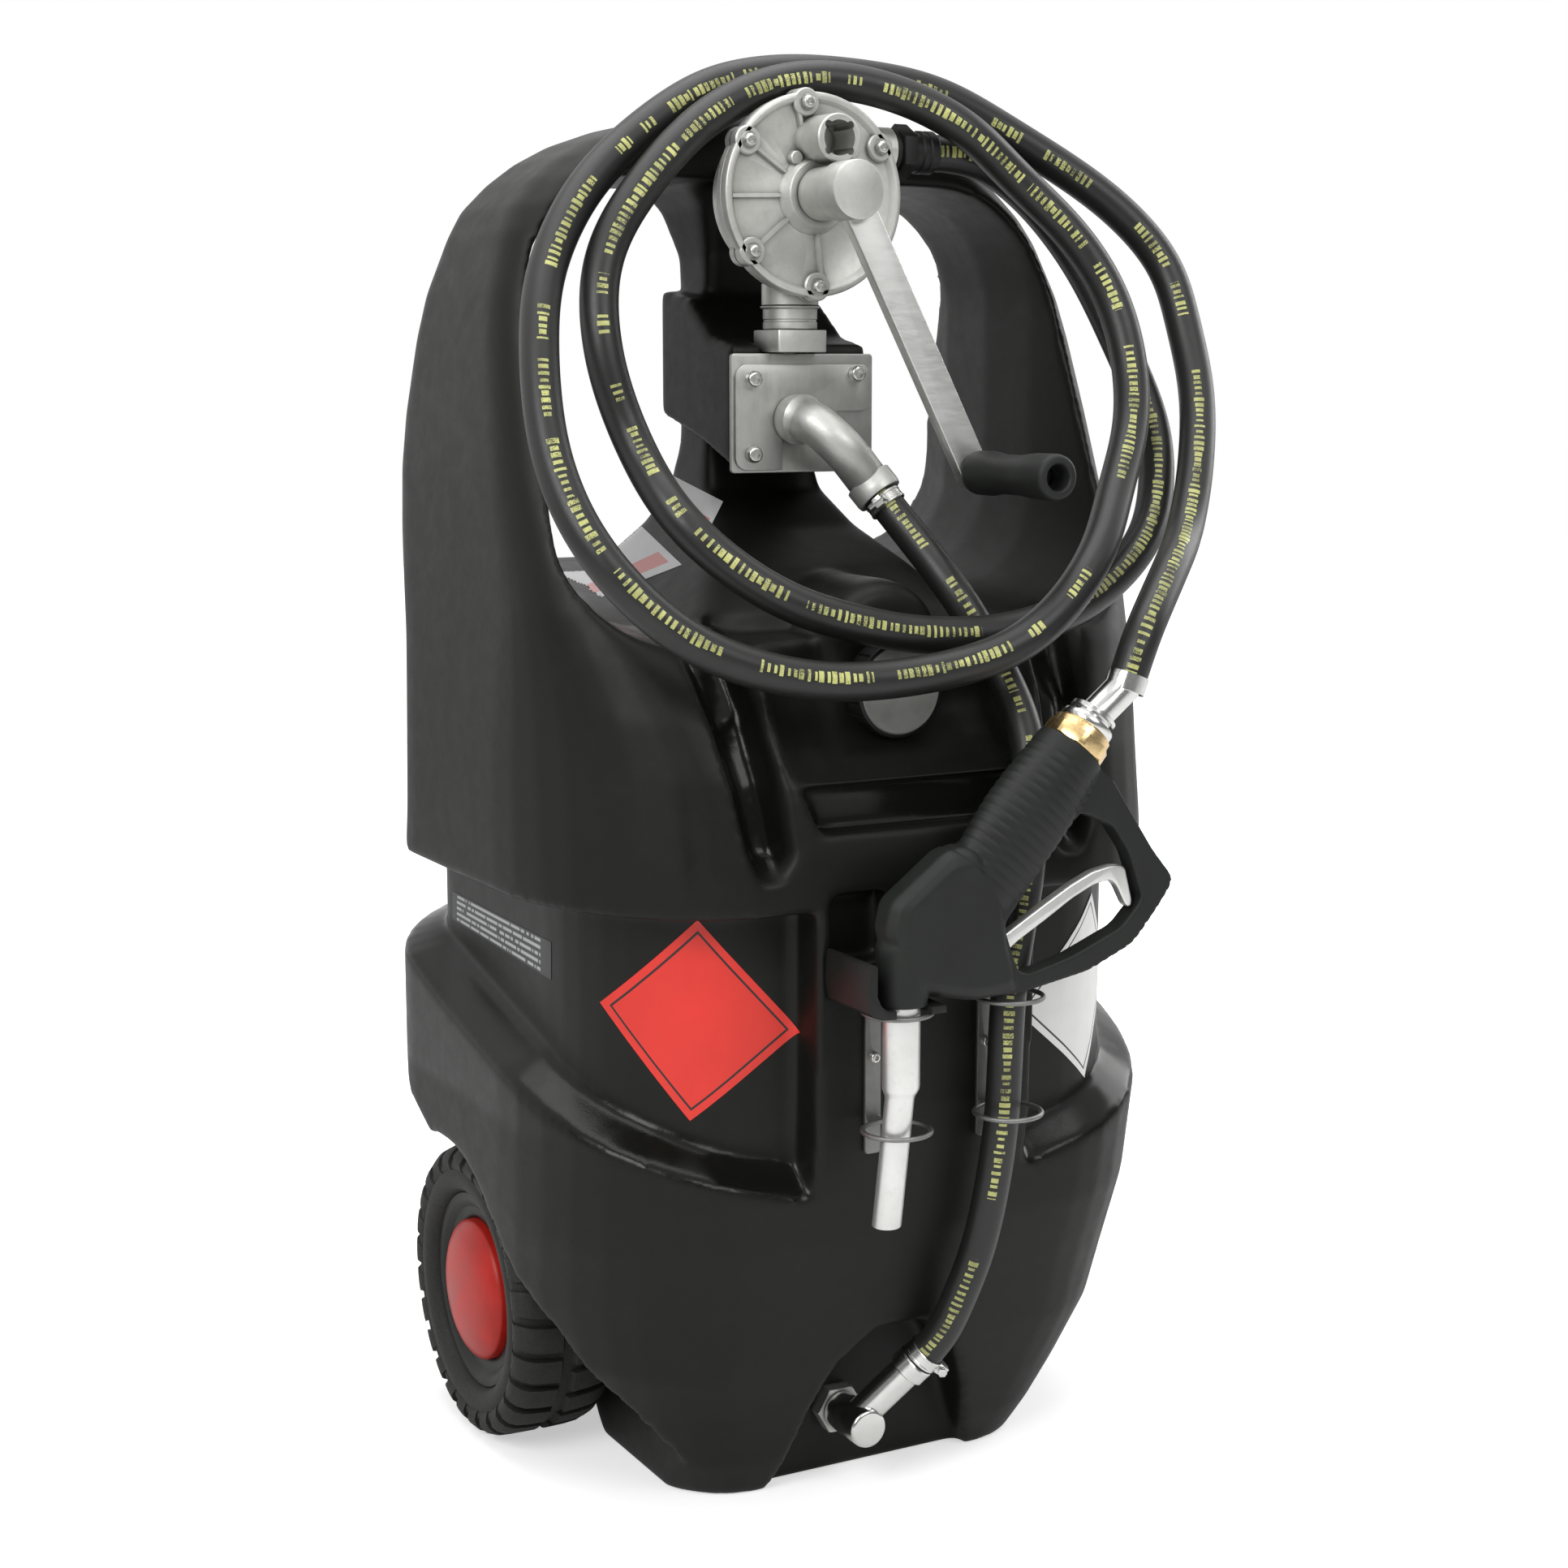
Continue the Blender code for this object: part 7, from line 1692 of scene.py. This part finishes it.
# ---------------------------------------------------------------- stickers
LABEL_CELLS = 64             # cells across a label
LABEL_LIFT = 0.0005          # its middle above the tank
LABEL_T = 0.00025
LABEL_STEP = 0.006           # a label ends where the tank falls away by more than this
LABEL_AHEAD = 0.12           # how far ahead of its sheet the search for the tank starts, and its length
LABEL_SEARCH = 0.3
# corners of each sheet in the order left, bottom, right, top, the way it faces inwards, and its finish
LABELS = {
    "red_diamond": (((-0.235, -0.15, 0.393), (-0.188, -0.20, 0.312), (-0.099, -0.20, 0.372),
                     (-0.181, -0.20, 0.459)), (0.45, 0.89, 0.0), "red_card"),
    "white_diamond": (((0.102, -0.19, 0.364), (0.167, -0.16, 0.299), (0.205, -0.13, 0.383),
                       (0.176, -0.16, 0.444)), (-0.42, 0.91, 0.0), "white_card"),
    "dark_panel": (((-0.239, 0.12, 0.413), (-0.2149, -0.02, 0.3903), (-0.2145, -0.02, 0.4186),
                    (-0.2385, 0.12, 0.4356)), (0.3723, 0.9028, -0.2152), "dark_card"),
    "sill_label": (((-0.1474, 0.1, 0.6547), (-0.0555, 0.08, 0.6894), (-0.0728, 0.12, 0.7216),
                    (-0.1482, 0.14, 0.6779)), (0.4193, 0.9047, -0.076), "sill_card"),
    "post_label": (((-0.109, 0.02, 0.7448), (-0.0603, 0.02, 0.7196), (-0.047, 0.02, 0.7421),
                    (-0.0966, 0.02, 0.7665)), (0.4486, 0.8923, -0.0497), "sill_card"),
}


def skin_tree(piece):
    """Search tree of a piece's surface, in the frame of the part."""
    shift = Vector(piece.location)
    points = [shift + v.co for v in piece.data.vertices]
    faces = [tuple(p.vertices) for p in piece.data.polygons]
    return BVHTree.FromPolygons(points, faces)


def sticker(name, tree, corners, towards, finish):
    """A thin label laid on the tank."""
    shift = Vector((0, PARTING_Y, 0))
    a, b, c, d = (Vector(p) + shift for p in corners)
    towards = Vector(towards).normalized()
    bm = bmesh.new()
    uv = bm.loops.layers.uv.new("UVMap")
    rows = []
    for i in range(LABEL_CELLS + 1):
        u = i / LABEL_CELLS
        row = []
        for k in range(LABEL_CELLS + 1):
            v = k / LABEL_CELLS
            flat = a * (1 - u) * (1 - v) + b * u * (1 - v) + c * u * v + d * (1 - u) * v
            start = flat - towards * LABEL_AHEAD
            hit = tree.ray_cast(start, towards, LABEL_SEARCH)[0]
            if hit is None:
                row.append(None)
            else:
                row.append((bm.verts.new(hit - towards * LABEL_LIFT - shift), u, v, (hit - start).length))
        rows.append(row)
    for one, two in zip(rows, rows[1:]):
        for k in range(LABEL_CELLS):
            quad = (one[k], two[k], two[k + 1], one[k + 1])
            if None in quad:
                continue
            depths = [corner[3] for corner in quad]
            if max(depths) - min(depths) > LABEL_STEP:
                continue
            face = bm.faces.new([corner[0] for corner in quad])
            for loop, corner in zip(face.loops, quad):
                loop[uv].uv = (corner[1], corner[2])
    bmesh.ops.delete(bm, geom=[v for v in bm.verts if not v.link_faces], context='VERTS')
    piece = add_object(name, bm, finish, smooth=180)
    thick = piece.modifiers.new("thick", 'SOLIDIFY')
    thick.thickness = LABEL_T
    thick.offset = 0.0
    settle(piece, 60)
    stands_for(piece, "trolley", "black_moulding")


def card_shader(name, paper, ink, frame_line=None, bars=None):
    """Printed label: plain paper with a thin line inside its edge, or with rows of plain bars."""
    rough = 0.32
    made = Shader(name)
    place = made.node("ShaderNodeTexCoord")
    split = made.node("ShaderNodeSeparateXYZ")
    made.link(place.outputs["UV"], split.inputs[0])
    u, v = split.outputs["X"], split.outputs["Y"]
    edge = made.lowest(made.lowest(u, made.minus(1.0, u)), made.lowest(v, made.minus(1.0, v)))
    cloud = made.noise(26.0, 3.0, 0.6)
    colour = made.blend(made.spread(cloud, 0.0, 1.0), paper, tuple(c * 0.93 for c in paper))
    if frame_line:
        inset, width = frame_line
        low = made.above(edge, inset)
        high = made.below(edge, inset + width)
        colour = made.blend(made.times(low, high), colour, ink)
    if bars:
        rows, columns, low_u, high_u, low_v, high_v, fill = bars
        row = made.math('FRACT', made.times(v, rows))
        line = made.math('FLOOR', made.times(v, rows))
        cell = made.math('FLOOR', made.times(u, columns))
        random = made.node("ShaderNodeTexWhiteNoise", noise_dimensions='2D')
        join_cell = made.node("ShaderNodeCombineXYZ")
        made.link(cell, join_cell.inputs[0])
        made.link(line, join_cell.inputs[1])
        made.link(join_cell.outputs[0], random.inputs["Vector"])
        mask = made.times(made.above(random.outputs["Value"], fill),
                          made.below(made.math('ABSOLUTE', made.minus(row, 0.5)), 0.24))
        for side, low, high in ((u, low_u, high_u), (v, low_v, high_v)):
            mask = made.times(mask, made.above(side, low))
            mask = made.times(mask, made.below(side, high))
        colour = made.blend(mask, colour, ink)
    fine = made.noise(700.0, 2.0, 0.5)
    made.set(Base_Color=colour, Roughness=made.spread(fine, rough - 0.04, rough + 0.05), Metallic=0.0)
    made.bump((fine, 0.00003, 0.3))


def build_stickers(tank):
    card_shader("red_card", (0.74, 0.030, 0.018), (0.020, 0.010, 0.010), (0.052, 0.016))
    card_shader("white_card", (0.84, 0.84, 0.83), (0.030, 0.030, 0.030), (0.045, 0.014))
    card_shader("dark_card", (0.020, 0.022, 0.022), (0.42, 0.43, 0.43),
                bars=(5, 90, 0.05, 0.90, 0.06, 0.94, 0.16))
    card_shader("sill_card", (0.84, 0.84, 0.84), (0.80, 0.30, 0.28),
                bars=(2, 5, 0.06, 0.94, 0.05, 0.45, 0.30))
    tree = skin_tree(tank)
    for name, (corners, towards, finish) in LABELS.items():
        sticker(name, tree, corners, towards, finish)


# ---------------------------------------------------------------- room
# name, place, width, height and watts of each lamp
LIGHTS = (("window_left", (-2.4, -1.5, 2.3), 1.6, 1.6, 52),
          ("window_front", (0.6, -3.0, 2.6), 2.0, 1.4, 34),
          ("window_right", (2.6, 0.2, 1.8), 1.2, 1.8, 26),
          ("ceiling", (0.0, 0.2, 3.2), 2.4, 2.4, 42))


def build_room():
    """White floor and surround.  Behind the trolley the surround is white to glossy rays too; the side
    of the room that the trolley faces is dimmer, and its ceiling is pale."""
    floor_mesh = bpy.data.meshes.new("floor")
    corners = [(x * FLOOR_HALF, y * FLOOR_HALF, 0) for x, y in ((-1, -1), (1, -1), (1, 1), (-1, 1))]
    floor_mesh.from_pydata(corners, [], [(0, 1, 2, 3)])
    floor = link_object("floor", floor_mesh)
    made = Shader("floor_paper")
    made.set(Base_Color=(0.80, 0.80, 0.80), Roughness=0.9)
    made.principled.inputs["Specular IOR Level"].default_value = 0.1
    glow = made.node("ShaderNodeEmission", Color=(1, 1, 1, 1))
    path = made.node("ShaderNodeLightPath")
    seen = made.highest(path.outputs["Is Camera Ray"], path.outputs["Is Transmission Ray"])
    reach = made.node("ShaderNodeVectorMath", operation='LENGTH')
    made.link(made.coords(), reach.inputs[0])
    paper = made.spread(reach.outputs["Value"], FLOOR_GLOW, 1.0, *FLOOR_GLOW_REACH)
    level = made.plus(made.times(seen, paper), made.times(path.outputs["Is Glossy Ray"], FLOOR_SHEEN))
    made.link(level, glow.inputs["Strength"])
    both = made.node("ShaderNodeAddShader")
    made.link(made.principled.outputs[0], both.inputs[0])
    made.link(glow.outputs[0], both.inputs[1])
    made.link(both.outputs[0], made.tree.nodes["Material Output"].inputs["Surface"])
    floor_mesh.materials.append(made.material)

    world = bpy.data.worlds.new("room")
    world.use_nodes = True
    bpy.context.scene.world = world
    room = NodeTree(world.node_tree)
    background = room.tree.nodes["Background"]
    background.inputs["Color"].default_value = (1, 1, 1, 1)
    path = room.node("ShaderNodeLightPath")
    place = room.node("ShaderNodeTexCoord")
    split = room.node("ShaderNodeSeparateXYZ")
    room.link(place.outputs["Generated"], split.inputs[0])
    back = room.spread(split.outputs["Y"], 0.0, 1.0, -0.15, 0.35, 'SMOOTHSTEP')
    over = room.spread(split.outputs["Z"], 0.0, 0.75, 0.25, 0.95, 'SMOOTHSTEP')
    glossy = room.spread(room.highest(back, over), ROOM_DIM, 1.0, 0.0, 1.0, 'SMOOTHSTEP')
    white = room.highest(path.outputs["Is Camera Ray"], path.outputs["Is Transmission Ray"])
    level = room.node("ShaderNodeMix", data_type='FLOAT')
    level.inputs[2].default_value = WORLD_LIGHT
    room.link(path.outputs["Is Glossy Ray"], level.inputs[0])
    room.link(glossy, level.inputs[3])
    room.link(room.highest(level.outputs[0], white), background.inputs["Strength"])


def build_lights():
    middle = Vector((0.0, 0.0, 0.55))
    for name, place, wide, tall, power in LIGHTS:
        data = bpy.data.lights.new(name, 'AREA')
        data.shape = 'RECTANGLE'
        data.size = wide
        data.size_y = tall
        data.energy = power
        lamp = link_object(name, data)
        lamp.location = place
        lamp.rotation_euler = (middle - Vector(place)).to_track_quat('-Z', 'Y').to_euler()


def build_camera():
    data = bpy.data.cameras.new("camera")
    data.sensor_width = CAMERA_SENSOR
    data.lens = CAMERA_SENSOR * CAMERA_FOCUS / PHOTO_PIXELS
    data.clip_start = 0.05
    camera = link_object("camera", data)
    camera.matrix_world = (Matrix.Translation(CAMERA_PLACE) @ Matrix.Rotation(-CAMERA_TURN, 4, 'Z')
                           @ Matrix.Rotation(math.pi / 2 - CAMERA_DIP, 4, 'X'))
    bpy.context.scene.camera = camera


def dress_inner_nodes():
    """Nodes that keep their CAD shape get the finish of their slot."""
    slots = {part["node"]: part["material_slot"] for part in frame["record"]["subparts"]}
    for node, piece in frame["nodes"].items():
        finish = MATERIALS[slots[node]]
        for slot in piece.material_slots:
            slot.material = finish


build_camera()
build_materials()
build_hoses()
skin = build_tank()
for build in (build_filler, build_wheels, build_pump_housing, build_cover, build_pump_screws, build_crank,
              build_inlet, build_bracket, build_elbow, build_outlet):
    build()
build_holder("left_rings", "nozzle_holder", LEFT_RING_X, NOZZLE_Y + 0.0085)
build_holder("right_rings", "hose_holder", RIGHT_RING_X, RING_Y)
for build in (build_cradle, build_nozzle, build_spout, build_trigger, build_coupling, build_outlet_fitting):
    build()
build_stickers(skin)
dress_inner_nodes()
build_room()
build_lights()
bpy.context.scene.view_settings.view_transform = 'Standard'
